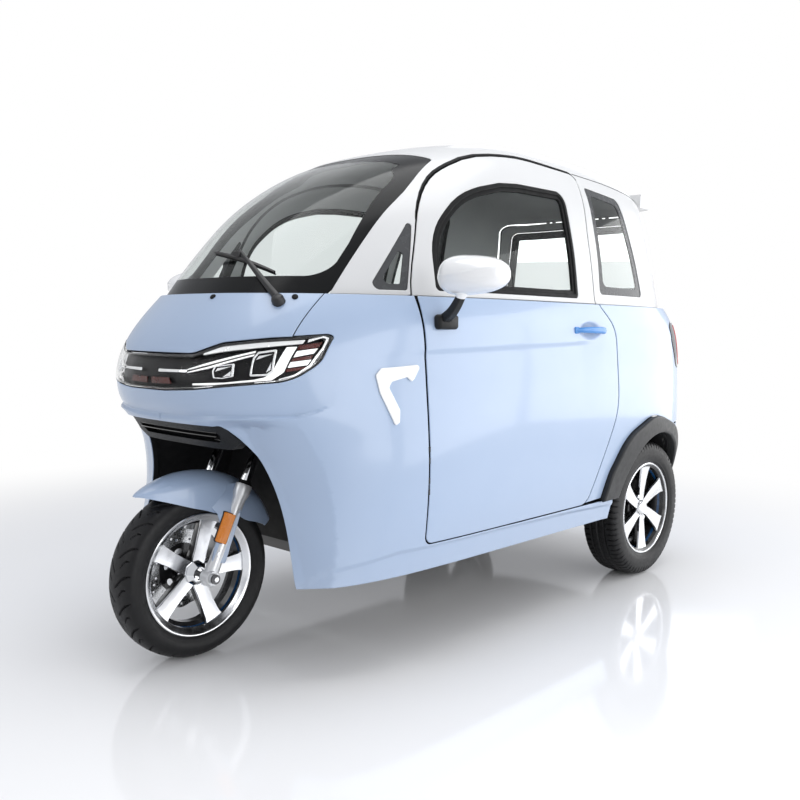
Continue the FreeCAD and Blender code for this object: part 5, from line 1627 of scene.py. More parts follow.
DISC_STEEL = Finish("ground_steel", "steel", (0.55, 0.56, 0.57), (0.45, 0.46, 0.47), rough=0.28, metal=1.0,
                    grain=0.15, grain_scale=500.0, patch_scale=30.0)
DARK_STEEL = Finish("dark_steel", "steel", (0.13, 0.13, 0.135), (0.09, 0.09, 0.095), rough=0.42, metal=0.7,
                    grain=0.3, grain_scale=600.0, patch_scale=14.0)
# An amber reflector; its glow=0.10 is painted light, an emission standing for the light that it throws back.
AMBER_PAINTED_GLOW = Finish("amber_reflector_painted_glow", "lamp_red", (0.66, 0.20, 0.008), (0.54, 0.15, 0.005), rough=0.25, coat=0.25,
               grain=0.9, grain_depth=0.001, perforated=260.0, glow=0.10)


class Tread(Enum):
    """The two tread patterns."""

    SCOOTER = "curved sipes"
    CAR = "straight grooves and shoulder cuts"


def ring_loop(radius: float, count: int, wave: float = 0.0, waves: int = 0) -> Array:
    """A circle whose radius may wave.

    Args:
        radius: The radius.
        count: The number of points.
        wave: How far the radius waves.
        waves: How many waves go round.

    Returns:
        The points.
    """
    turn = np.arange(count) * 2 * math.pi / count
    r = radius + wave * np.cos(waves * turn)
    return np.stack([r * np.cos(turn), r * np.sin(turn)], -1)


def plate(loops: Sequence[Array], origin: Sequence[float], across: Sequence[float], up: Sequence[float],
          thick: float, bevel: float = 0.0, slot: int = 0) -> Patch:
    """A flat plate with holes: point = origin + u * across + v * up + w * (across x up), w from 0 to thick.

    Args:
        loops: The outline and then its holes, in metres.
        origin: The place of u = v = w = 0.
        across: The first axis.
        up: The second axis.
        thick: Its thickness.
        bevel: How far its front edge is cut back.
        slot: Its slot.

    Returns:
        The patch.
    """
    fixed = wound(loops)
    where, tris, number = triangulated(np.concatenate(fixed), fixed, 1e-8)
    tris = kept_triangles(where, tris, fixed)
    x, y = unit(np.asarray(across, float)), unit(np.asarray(up, float))
    z = np.cross(x, y)
    base = np.asarray(origin, float)
    place = lambda p, w: base + p[:, :1] * x + p[:, 1:] * y + w * z
    count = len(where)
    faces = [tris[:, ::-1], tris + count]
    middle = []
    points = [place(where, 0.0), place(where, thick)]
    size = 2 * count
    start = 0
    for loop in fixed:
        ring = np.array([number[start + i] for i in range(len(loop))])
        start += len(loop)
        if bevel > 0:
            points.append(place(where[ring], thick - bevel))
            shoulder = size + np.arange(len(ring))
            size += len(ring)
            run = unit(np.roll(where[ring], -1, 0) - np.roll(where[ring], 1, 0))
            points[1][ring] -= bevel * (run[:, 1:] * x - run[:, :1] * y)
            rows = [ring, shoulder, ring + count]
        else:
            rows = [ring, ring + count]
        for low, high in zip(rows, rows[1:]):
            middle.append(np.stack([low, np.roll(low, -1), np.roll(high, -1), high], -1))
    return Patch().add(np.concatenate(points), faces + middle, slot)


def from_pitch(arc: Array, pitch: float) -> Array:
    """The distance along the tread to the nearest multiple of a pitch."""
    return np.abs((arc + pitch / 2) % pitch - pitch / 2)


@dataclass
class Wheel:
    """One wheel: a tyre with its tread cut in, a barrel, a bright lip, spokes and a hub."""

    name: str
    body: Body
    centre: Array
    radius: float
    width: float
    rim_width: float
    tread: Tread
    side: int = 1
    rim: float = 0.166

    def section(self, count: int = 76) -> Array:
        """The tyre's outside in (y, r): a spline through shares of the half width and of the height.

        Args:
            count: The number of points.

        Returns:
            The points.
        """
        if self.tread is Tread.SCOOTER:
            shares = [(0.74, -0.14), (0.83, 0.05), (0.93, 0.20), (1.0, 0.42), (0.985, 0.60), (0.90, 0.77),
                      (0.70, 0.90), (0.40, 0.975), (0.0, 1.0)]
        else:
            shares = [(0.78, -0.14), (0.88, 0.06), (0.97, 0.22), (1.0, 0.45), (0.985, 0.66), (0.94, 0.82),
                      (0.84, 0.93), (0.66, 0.975), (0.35, 0.995), (0.0, 1.0)]
        shares = shares + [(-y, r) for y, r in shares[-2::-1]]
        points = np.array(shares) * (self.width / 2, self.radius - self.rim) + (0, self.rim)
        return smooth_path(points, count)

    def depth(self, turn: Array, across: Array) -> Array:
        """How deep the tread is cut.

        Args:
            turn: The turn.
            across: The share of the half width.

        Returns:
            The depth at each.
        """
        s = np.abs(across)
        arc = turn * self.radius
        pitch = 2 * math.pi * self.radius / (19 if self.tread is Tread.SCOOTER else 72)
        skew = np.where(across >= 0, 0.0, 0.5) * pitch
        if self.tread is Tread.SCOOTER:
            near = from_pitch(arc - (0.020 * np.sin(2.6 * s) + 0.030 * s ** 2) + skew, pitch)
            wide = 0.0026 * np.clip((0.93 - s) / 0.25, 0, 1) * np.clip((s - 0.02) / 0.1, 0, 1)
            first = np.clip((wide - near) / 0.0012 + 0.5, 0, 1) * (wide > 0)
            near = from_pitch(arc - (0.046 + 0.030 * np.sin(3.4 * (s - 0.2))) + skew, pitch)
            wide = 0.0019 * np.clip((0.80 - s) / 0.2, 0, 1) * np.clip((s - 0.26) / 0.1, 0, 1)
            second = np.clip((wide - near) / 0.0012 + 0.5, 0, 1) * (wide > 0)
            return 0.0042 * np.maximum(first, second)
        grooves = np.zeros_like(s)
        for at in (0.0, 0.38):
            grooves = np.maximum(grooves, np.clip((0.045 - np.abs(s - at)) / 0.02, 0, 1))
        slanted = arc + 0.006 * s + skew
        cuts = np.clip((0.0022 - from_pitch(slanted, pitch)) / 0.0016 + 0.5, 0, 1) * np.clip((s - 0.46) / 0.05, 0, 1)
        cuts = cuts * np.clip((0.99 - s) / 0.04, 0, 1)
        fine = np.clip((0.0012 - from_pitch(slanted - pitch / 4, pitch)) / 0.001, 0, 1)
        fine = fine * (s > 0.06) * (s < 0.34)
        return 0.0058 * grooves + 0.0040 * cuts * (1 - grooves) + 0.0018 * fine * (1 - grooves)

    def tyre(self) -> None:
        """The tyre: its section turned round the axle and pressed in by the depth of the tread."""
        line = self.section()
        along = unit(np.gradient(line, axis=0))
        out = np.stack([-along[:, 1], along[:, 0]], -1)
        if out[len(out) // 2, 1] < 0:
            out = -out
        height = (line[:, 1] - self.rim) / (self.radius - self.rim)
        count = 900 if self.tread is Tread.CAR else 760
        turn = np.arange(count) * 2 * math.pi / count
        share = line[:, 0] / (self.width / 2)
        cut = self.depth(turn[None, :], np.repeat(share[:, None], count, 1))
        cut = cut * np.clip((height - 0.62) / 0.1, 0, 1)[:, None]
        rings = 0.0007 * np.clip(1 - np.abs(height - 0.30) / 0.02, 0, 1)
        rings += 0.0012 * np.clip(1 - np.abs(height - 0.13) / 0.02, 0, 1)
        shape = line[:, None] - out[:, None] * cut[..., None] + out[:, None] * rings[:, None, None]
        inner = np.stack([np.linspace(line[-1, 0], line[0, 0], 5)[1:-1], np.full(3, self.rim - 0.012)], -1)
        shape = np.concatenate([shape, np.repeat(inner[:, None], count, 1)])
        y, r = shape[..., 0], shape[..., 1]
        points = self.centre + np.stack([r * np.cos(turn), y, r * np.sin(turn)], -1)
        patch = Patch().grid(points, wrap_rows=True)
        stands_for = "front_tyre" if self.name == "front" else f"rear_tyre_{self.name}"
        piece(f"{self.name}_tyre_cut", patch, [TYRE_RUBBER], self.body, [stands_for], sharp=28.0)

    def around(self, shape: Array) -> Array:
        """Points (radius, offset round the wheel, y, turn) put in place."""
        r, t, y, turn = np.moveaxis(shape, -1, 0)
        c, s = np.cos(turn), np.sin(turn)
        return self.centre + np.stack([r * c - t * s, y * self.side, r * s + t * c], -1)

    def spokes(self, count: int, start: float, rows: Sequence[Sequence[float]], swirl: float) -> Patch:
        """Spokes, swirled about the axle as they near the hub.

        Args:
            count: How many.
            start: The turn of the first, in degrees.
            rows: Radius, width, inner y and outer y from hub to rim.
            swirl: The turn at the hub, in radians.

        Returns:
            The patch, with a bright face in slot 0 and dark sides in slot 1.
        """
        rows_at = np.array(rows)
        steps = 22
        along = np.linspace(rows_at[0, 0], rows_at[-1, 0], steps)
        width, low, high = (np.interp(along, rows_at[:, 0], rows_at[:, k]) for k in (1, 2, 3))
        face = np.array([(-1, -0.006), (-0.93, -0.001), (-0.5, -0.0022), (0, -0.0028), (0.5, -0.0022),
                         (0.93, -0.001), (1, -0.006)])
        back = np.array([(0.84, 0.006), (0.66, 0.0), (-0.66, 0.0), (-0.84, 0.006)])
        wide = len(face) + len(back)
        patch = Patch()
        for k in range(count):
            turn = math.radians(start + 360.0 / count * k) - swirl * (1 - along / along[-1]) ** 1.3
            parts = [np.stack([np.repeat(along[:, None], len(shape), 1), shape[:, 0] * width[:, None] / 2,
                               level[:, None] + shape[:, 1], np.repeat(turn[:, None], len(shape), 1)], -1)
                     for shape, level in ((face, high), (back, low))]
            faces = quads(steps, wide, flip=self.side > 0).reshape(steps - 1, wide, 4)
            bright, dark = (part.reshape(-1, 4) for part in np.split(faces, [len(face) - 1], axis=1))
            base = patch.size
            patch.add(self.around(np.concatenate(parts, 1)), [bright])
            cap = np.arange(wide)[None]
            ends = [cap + base, (cap + (steps - 1) * wide)[:, ::-1] + base]
            patch.faces += [dark + base] + (ends if self.side < 0 else [end[:, ::-1] for end in ends])
            patch.slots += [1, 1, 1]
        return patch

    def barrel(self, lip: float) -> Patch:
        """The barrel, its drop centre and both flanges; the outer lip is bright and as wide as asked.

        Args:
            lip: The width of the bright lip.

        Returns:
            The patch, with the lip in slot 0, the barrel in slot 1 and a dark blue ring inside the barrel near the lip
            in slot 2.
        """
        h, r = self.rim_width / 2, self.rim
        patch = Patch()
        s = self.side
        loop = [(-h, r), (-h + 0.005, r - 0.001), (-h + 0.007, r - 0.011), (-h + 0.025, r - 0.013),
                (-0.012, r - 0.026), (0.012, r - 0.026), (h - 0.025, r - 0.013), (h - 0.007, r - 0.011),
                (h - 0.005, r - 0.001), (h - 0.001, r - 0.004), (h - 0.008, r - 0.0135), (h - 0.026, r - 0.0185),
                (0.012, r - 0.031), (-0.012, r - 0.031), (-h + 0.026, r - 0.018), (-h + 0.004, r - 0.015),
                (-h, r - 0.010)]
        patch.join(lathe([(y * s, q) for y, q in loop], self.centre, count=96, closed=True), 1)
        bright = [(h - 0.0045, r), (h + 0.0005, r + 0.0015), (h + 0.002, r - 0.001), (h + 0.0012, r - 0.004),
                  (h - 0.003, r - lip * 0.45), (h - 0.010, r - lip), (h - 0.016, r - lip - 0.0015),
                  (h - 0.010, r - 0.006)]
        patch.join(lathe([(y * s, q) for y, q in bright], self.centre, count=128, closed=True), 0)
        # A dark blue ring inside the black barrel, near the lip.
        line = [(h - 0.021, r - 0.0180), (h - 0.029, r - 0.0212), (h - 0.030, r - 0.0200), (h - 0.022, r - 0.0160)]
        patch.join(lathe([(y * s, q) for y, q in line], self.centre, count=96, closed=True), 2)
        return patch


def bolt_heads(centres: Array, axis: Sequence[float], radius: float, height: float, sides: int = 6) -> Patch:
    """Bolt heads: short prisms with a cut-back edge and a small dish.

    Args:
        centres: Their places.
        axis: The way they face.
        radius: Their radius.
        height: Their height.
        sides: Six for a hexagon, more for a round head.

    Returns:
        The patch.
    """
    patch = Patch()
    shape = [(0.0, radius), (height * 0.8, radius), (height, radius * 0.84), (height, radius * 0.5),
             (height * 0.7, radius * 0.42), (height * 0.7, 0.0)]
    for at in centres:
        patch.join(lathe([(0.0, 0.0)] + shape, at, axis, count=sides * 2 if sides > 6 else sides))
    return patch


@dataclass
class RunningGear:
    """The three wheels, the fork with its mudguard, and the brake."""

    rake: float = math.radians(26.0)
    half_track: float = 0.436

    def build(self) -> None:
        """Makes every piece."""
        self.front_wheel()
        for name, body, side in (("left", Body.REAR_LEFT, 1), ("right", Body.REAR_RIGHT, -1)):
            self.rear_wheel(name, body, side)
        self.mudguard()
        self.fork_details()

    def front_wheel(self) -> None:
        """Five broad machined spokes, a chrome cone on each side of the hub, a drilled disc on the right."""
        wheel = Wheel("front", Body.FRONT_WHEEL, FRONT_AXLE, 0.2295, 0.110, 0.092, Tread.SCOOTER)
        wheel.tyre()
        rows = [(0.020, 0.040, -0.018, 0.0240), (0.040, 0.042, -0.017, 0.0245), (0.060, 0.040, -0.014, 0.0255),
                (0.100, 0.043, -0.010, 0.0275), (0.132, 0.048, -0.004, 0.0310), (0.146, 0.057, 0.000, 0.0335),
                (0.153, 0.074, 0.006, 0.0345)]
        patch = wheel.barrel(0.019)
        patch.join(wheel.spokes(5, 105.0, rows, 0.0))
        piece("front_wheel_rim", patch, [MACHINED, POCKET_BLACK, BARREL_BLUE_RING], Body.FRONT_WHEEL, ["front_rim"])
        cone = [(-0.044, 0.0), (-0.044, 0.020), (-0.040, 0.023), (-0.018, 0.033), (0.020, 0.0345), (0.026, 0.0335),
                (0.0385, 0.0225), (0.041, 0.0200), (0.0405, 0.0165), (0.034, 0.0150), (0.034, 0.0)]
        piece("front_hub_cone", lathe(cone, FRONT_AXLE, count=10), [CHROME], Body.FRONT_WHEEL, sharp=20.0)
        self.disc()

    def disc(self) -> None:
        """The brake disc with a waved edge and small holes, on a black carrier with oval windows."""
        holes = []
        for k in range(36):
            turn = 2 * math.pi * k / 36
            r = (0.101, 0.091, 0.081)[k % 3]
            holes.append(ring_loop(0.0038, 8) + (r * math.cos(turn), r * math.sin(turn)))
        loops = [ring_loop(0.1095, 180, 0.0018, 12), ring_loop(0.068, 60)] + holes
        origin = FRONT_AXLE + (0, -0.0480, 0)
        patch = plate(loops, origin, (1, 0, 0), (0, 0, 1), 0.0040)
        piece("brake_disc_ring", patch, [DISC_STEEL], Body.FRONT_WHEEL, ["front_brake_disc"])
        windows = []
        for k in range(6):
            turn = 2 * math.pi * (k + 0.3) / 6
            oval = circle(0.0085, 20, 0.0125)
            spin = np.array([[math.cos(turn), math.sin(turn)], [-math.sin(turn), math.cos(turn)]])
            windows.append(oval @ spin + (0.049 * math.cos(turn), 0.049 * math.sin(turn)))
        carrier = plate([ring_loop(0.0705, 72), ring_loop(0.020, 32)] + windows, FRONT_AXLE + (0, -0.0462, 0),
                        (1, 0, 0), (0, 0, 1), 0.0070, bevel=0.0012)
        turns = np.arange(6) * math.pi / 3 + 0.1
        at = FRONT_AXLE + np.stack([0.0635 * np.cos(turns), np.full(6, -0.0532), 0.0635 * np.sin(turns)], -1)
        carrier.join(bolt_heads(at, (0, -1, 0), 0.0045, 0.0035, 12), 1)
        piece("disc_carrier", carrier, [POCKET_BLACK, CHROME], Body.FRONT_WHEEL)

    def rear_wheel(self, name: str, body: Body, side: int) -> None:
        """Six broad machined spokes, four nuts and a bright cap.

        Args:
            name: Its side's name.
            body: What it rides on.
            side: 1 on the left, -1 on the right.
        """
        centre = REAR_AXLE + (0, side * self.half_track, 0)
        wheel = Wheel(name, body, centre, 0.247, 0.136, 0.118, Tread.CAR, side)
        wheel.tyre()
        rows = [(0.016, 0.036, 0.012, 0.040), (0.034, 0.032, 0.016, 0.043), (0.060, 0.037, 0.020, 0.044),
                (0.100, 0.046, 0.024, 0.047), (0.135, 0.055, 0.028, 0.0505), (0.148, 0.065, 0.032, 0.0525),
                (0.156, 0.080, 0.036, 0.0530)]
        patch = wheel.barrel(0.0125)
        patch.join(wheel.spokes(6, 92.0, rows, math.radians(9.0)))
        piece(f"{name}_wheel_rim", patch, [MACHINED, POCKET_BLACK, BARREL_BLUE_RING], body, [f"rear_rim_{name}"])
        hub = [(-0.025, 0.0), (-0.025, 0.058), (0.018, 0.060), (0.022, 0.056), (0.022, 0.0)]
        piece(f"{name}_hub_drum", lathe([(y * side, r) for y, r in hub], centre, count=48), [POCKET_BLACK], body)
        cap = [(0.020, 0.0), (0.020, 0.031), (0.040, 0.030), (0.047, 0.027), (0.052, 0.0225), (0.0545, 0.015),
               (0.0555, 0.0)]
        bright = lathe([(y * side, r) for y, r in cap], centre, count=40)
        turns = np.radians([62.0, 152.0, 242.0, 332.0])
        at = centre + np.stack([0.047 * np.cos(turns), np.full(4, 0.021 * side), 0.047 * np.sin(turns)], -1)
        for place in at:
            nut = [(0.0, 0.0), (0.0, 0.0095), (0.012, 0.0092), (0.020, 0.0065), (0.0225, 0.0)]
            bright.join(lathe([(y * side, r) for y, r in nut], place, count=12))
        piece(f"{name}_hub_cap", bright, [CHROME], body, sharp=38.0)

    def mudguard(self) -> None:
        """The mudguard, from angle and share across: a crown, a crease and a deep side, with a leg down the fork.

        Each point lies at radius top(angle) - drop(share, angle) from the axle and at width(angle) * reach(share)
        to the side.
        """
        angle = np.radians(np.array([53, 55, 58, 62, 66, 72, 80, 90, 100, 110, 118, 126, 136, 144, 150, 153]))
        top = np.array([.2890, .2880, .2865, .2845, .2830, .2805, .2790, .2785, .2800, .2815, .2830, .2840, .2840,
                        .2820, .2790, .2770])
        width = np.array([.06, .25, .45, .62, .75, .88, .97, 1.0, 1.0, 1.0, 1.0, 1.0, 1.0, .97, .92, .88])
        side = np.array([.004, .012, .026, .042, .056, .072, .088, .100, .110, .112, .106, .100, .094, .074, .054,
                         .044])
        fine = np.linspace(angle[0], angle[-1], 90)
        knots = Spline(angle, np.stack([top, width, side], -1))(fine)
        crease_share = 0.82
        share = np.array([0, .12, .25, .38, .5, .6, .68, .74, .78, crease_share, .88, .94, 1.0])
        reach = np.interp(share, [0, .25, .5, .68, .78, .82, 1], [0, .0260, .0460, .0580, .0625, .0645, .0690])
        drop = np.interp(share, [0, .25, .5, .68, .78, .82, 1], [0, .0030, .0130, .0270, .0400, .0470, 1.0])
        both = np.concatenate([-share[:0:-1], share])
        reach = np.sign(both) * np.interp(np.abs(both), share, reach)
        fall = np.interp(np.abs(both), share, drop)
        low = knots[:, 2:]
        full = np.minimum(1, low / 0.06)
        crease = np.interp(crease_share, share, drop) * full
        past = np.clip((np.abs(both)[None] - crease_share) / (1 - crease_share), 0, 1)
        depth = np.where(np.abs(both)[None] > crease_share, crease + (np.maximum(low, crease + 0.002) - crease) * past,
                         fall[None] * full)
        radius = knots[:, :1] - depth
        y = reach[None] * knots[:, 1:2]
        points = FRONT_AXLE + np.stack([radius * np.cos(fine)[:, None], y, radius * np.sin(fine)[:, None]], -1)
        normal = unit(np.cross(np.gradient(points, axis=0), np.gradient(points, axis=1)))
        if normal[45, 12, 2] < 0:
            normal = -normal
        inner = points - 0.0032 * normal
        loop = np.concatenate([points, inner[:, ::-1]], 1)
        patch = Patch().grid(loop)
        flat = np.arange(loop.shape[1])
        half = loop.shape[1] // 2
        for row, turned in ((0, False), (len(fine) - 1, True)):
            a = flat[:half - 1] + row * loop.shape[1]
            b = (loop.shape[1] - 1 - flat[:half - 1]) + row * loop.shape[1]
            strip = np.stack([a, a + 1, b - 1, b], -1)
            patch.faces.append(strip[:, ::-1] if turned else strip)
            patch.slots.append(0)
        piece("mudguard_shell", patch, [PALE_BLUE], Body.STEERING, ["front_mudguard"], sharp=24.0)
        self.mudguard_legs()

    def leg_face(self, x: Array, z: Array) -> Array:
        """The y of the left leg's outer face: it leans in ahead of the fork's slider and towards the mudguard.

        Args:
            x: The station.
            z: The height.

        Returns:
            The y at each.
        """
        axis = FRONT_AXLE[0] - math.tan(self.rake) * (z - FRONT_AXLE[2])
        ahead = (x - axis) * math.cos(self.rake)
        return 0.1020 - 0.46 * np.clip(ahead, -0.01, 0.06) - 0.36 * np.clip(z - 0.395, 0, 0.1)

    def leg_plate(self, outline: Array, thick: float, lift: float, bevel: float) -> Patch:
        """A plate in (x, z) laid on the leg's outer face.

        Args:
            outline: Its outline in metres.
            thick: Its thickness, inwards of the lift.
            lift: How far it stands out of the leg's face.
            bevel: The cut of its outer edge.

        Returns:
            The patch.
        """
        flat = plate([outline[:, ::-1]], (0, 0, 0), (0, 0, 1), (1, 0, 0), thick, bevel)
        return flat.moved(lambda p: np.stack([p[:, 0], self.leg_face(p[:, 0], p[:, 2]) + p[:, 1] - thick + lift,
                                              p[:, 2]], -1))

    def mudguard_legs(self) -> None:
        """The legs that carry the mudguard down the sliders, each with a reflector and two screws."""
        outline = rounded([(958, 446, 0), (905, 428, 12), (884, 396, 16), (880, 366, 14), (888, 340, 16),
                           (904, 302, 20), (914, 270, 6), (878, 266, 6), (862, 309, 40), (832, 380, 60),
                           (815, 425, 20), (812, 470, 0), (850, 470, 0), (920, 462, 0)])
        leg = self.leg_plate(outline, 0.004, 0.0, 0.0012)
        piece("mudguard_legs", pair(leg), [PALE_BLUE], Body.STEERING, sharp=40.0)
        long_way = unit(np.array([0.42, -0.907]))
        wide_way = np.array([-long_way[1], long_way[0]])
        flat = rounded([(-41, -14, 4), (41, -14, 4), (41, 14, 4), (-41, 14, 4)])
        centre = (0.8720, 0.3585)
        lens = self.leg_plate(flat[:, :1] * long_way + flat[:, 1:] * wide_way + centre, 0.005, 0.0062, 0.0018)
        flat = rounded([(-43, -16, 5), (43, -16, 5), (43, 16, 5), (-43, 16, 5)])
        back = self.leg_plate(flat[:, :1] * long_way + flat[:, 1:] * wide_way + centre, 0.003, 0.0022, 0.0008)
        # The reflector lenses glow: painted light.
        piece("side_reflectors", pair(lens), [AMBER_PAINTED_GLOW], Body.STEERING)
        piece("side_reflector_backs", pair(back), [SATIN_BLACK], Body.STEERING)
        where = np.array([(0.829, 0.413), (0.895, 0.292)])
        at = np.stack([where[:, 0], self.leg_face(*where.T) - 0.0005, where[:, 1]], -1)
        piece("mudguard_screws", pair(bolt_heads(at, (0, 1, 0), 0.0058, 0.0035, 12)), [CHROME], Body.STEERING)

    def fork_details(self) -> None:
        """The silver sliders with their cup collars and lugs, dust seals and the axle nuts."""
        up = np.array([-math.sin(self.rake), 0.0, math.cos(self.rake)])
        slider = [(-0.024, 0.0), (-0.024, 0.0130), (-0.018, 0.0175), (0.030, 0.0195), (0.050, 0.0182), (0.190, 0.0176),
                  (0.222, 0.0186), (0.236, 0.0228), (0.258, 0.0236), (0.263, 0.0226), (0.263, 0.0)]
        seal = [(0.2620, 0.0), (0.2620, 0.0176), (0.2665, 0.0182), (0.2700, 0.0170), (0.2740, 0.0160), (0.2740, 0.0)]
        lug = [(-0.017, 0.0), (-0.017, 0.0190), (-0.015, 0.0210), (0.0165, 0.0210), (0.0185, 0.0190), (0.0185, 0.0)]
        nut = [(0.0, 0.0), (0.0, 0.0130), (0.009, 0.0130), (0.011, 0.0110), (0.011, 0.0075), (0.016, 0.0070),
               (0.017, 0.0)]
        foot = FRONT_AXLE + (0, 0.085, 0)
        cast = lathe(slider, foot, up, count=40).join(lathe(lug, foot, count=36))
        piece("fork_slider_castings", pair(cast), [CAST_SILVER], Body.STEERING, ["fork_sliders"], sharp=30.0)
        piece("fork_dust_seals", pair(lathe(seal, foot, up, count=32)), [SEAL_AND_GAP_SHADE], Body.STEERING)
        nuts = pair(lathe(nut, FRONT_AXLE + (0, 0.1030, 0), count=6))
        piece("front_axle_nuts", nuts, [CHROME], Body.STEERING, sharp=25.0)


# Cabin, controls and chassis
# ===========================
SEAT_LEATHER = Finish("seat_leather", "seat", (0.040, 0.041, 0.044), (0.030, 0.031, 0.033), rough=0.46, grain=0.9,
                      grain_scale=900.0, patch_scale=9.0, sheen=0.15)
FLOOR_MAT = Finish("floor_mat", "black_plastic", (0.045, 0.046, 0.048), (0.035, 0.036, 0.038), rough=0.85, sheen=0.2,
                   grain=1.0, grain_scale=900.0)
GRIP_RUBBER = Finish("grip_rubber", "black_plastic", (0.018, 0.018, 0.019), rough=0.7, grain=0.8, grain_scale=900.0,
                     ribbed=260.0)
SCREEN_DARK = Finish("display_glass", "black_plastic", (0.010, 0.014, 0.018), rough=0.06, coat=1.0, grain=0.0)
FRAME_ENAMEL = Finish("frame_enamel", "frame_black", (0.022, 0.022, 0.024), (0.016, 0.016, 0.017), rough=0.38, coat=0.4,
                      grain=0.25, grain_scale=420.0, patch_scale=10.0, dusty=0.25)
BATTERY_CASE = Finish("battery_case", "trim_grey", (0.16, 0.165, 0.17), (0.13, 0.135, 0.14), rough=0.5, grain=0.5,
                      grain_scale=700.0, dusty=0.2)
WIPER_BLACK = Finish("wiper_black", "black_plastic", (0.014, 0.014, 0.015), (0.010, 0.010, 0.011), rough=0.42,
                     grain=0.3, grain_scale=1500.0)
WELL_BLACK = Finish("wheel_well_black", "black_plastic", (0.009, 0.009, 0.010), (0.006, 0.006, 0.007), rough=0.75,
                    grain=0.7, grain_scale=600.0, specular=0.25, dusty=0.1)


VOXEL = 0.0075
BLOW_FRAMES = 20


def cushion(name: str, patch: Patch, depth: float, finishes: Sequence[Finish], body: Body) -> bpy.types.Object:
    """A padded form: remeshed, blown up as cloth with a cap on how far a point may move, then smoothed.

    Args:
        name: The piece's name.
        patch: Its starting shape, a little smaller than the finished cushion.
        depth: The cap on a point's move.
        finishes: Its finish.
        body: What it rides on.

    Returns:
        The object.
    """
    thing = piece(name, patch, finishes, body)
    thing.data.shade_smooth()
    remesh = thing.modifiers.new("remesh", "REMESH")
    remesh.mode = "VOXEL"
    remesh.voxel_size = VOXEL
    bake(thing)
    start = points_of(thing)
    cloth = thing.modifiers.new("cloth", "CLOTH")
    settings = cloth.settings
    settings.quality = 4
    settings.mass = 0.3
    settings.tension_stiffness = settings.compression_stiffness = 12.0
    settings.bending_stiffness = 1.2
    settings.use_pressure = True
    settings.uniform_pressure_force = 4.0
    settings.effector_weights.gravity = 0.0
    cloth.point_cache.frame_start, cloth.point_cache.frame_end = 1, BLOW_FRAMES
    for frame in range(1, BLOW_FRAMES + 1):
        bpy.context.scene.frame_set(frame)
    bake(thing)
    bpy.context.scene.frame_set(1)
    move = points_of(thing) - start
    length = np.linalg.norm(move, axis=1, keepdims=True)
    keep = start + move * np.minimum(1.0, depth / np.maximum(length, 1e-9))
    thing.data.vertices.foreach_set("co", keep.astype(np.float32).ravel())
    smooth = thing.modifiers.new("smooth", "SMOOTH")
    smooth.iterations = 4
    bake(thing)
    thing.data.shade_smooth()
    return thing


def points_of(thing: bpy.types.Object) -> Array:
    """The mesh's points as an array."""
    flat = np.empty(len(thing.data.vertices) * 3, np.float32)
    thing.data.vertices.foreach_get("co", flat)
    return flat.reshape(-1, 3).astype(float)


def bake(thing: bpy.types.Object) -> None:
    """Applies the object's modifiers to its mesh and keeps its materials.

    Args:
        thing: The object.
    """
    graph = bpy.context.evaluated_depsgraph_get()
    made = bpy.data.meshes.new_from_object(thing.evaluated_get(graph), depsgraph=graph)
    old = thing.data
    made.name = old.name + "_made"
    dressed = list(old.materials)
    thing.modifiers.clear()
    thing.data = made
    made.materials.clear()
    for material in dressed:
        made.materials.append(material)
    bpy.data.meshes.remove(old)


def carve(thing: bpy.types.Object, lines: Sequence[tuple[Array, Array, float, float]]) -> None:
    """Presses sewn channels into a cushion: each is a plane (point, normal, half width, depth) of tucked cloth.

    Args:
        thing: The cushion.
        lines: The channels.
    """
    where = points_of(thing)
    normals = np.empty(len(where) * 3, np.float32)
    thing.data.vertices.foreach_get("normal", normals)
    out = normals.reshape(-1, 3).astype(float)
    total = np.zeros(len(where))
    for point, normal, width, depth in lines:
        away = np.abs((where - point) @ unit(np.asarray(normal, float)))
        total = np.maximum(total, depth * np.exp(-(away / width) ** 2))
    thing.data.vertices.foreach_set("co", (where - out * total[:, None]).astype(np.float32).ravel())
    thing.data.update()


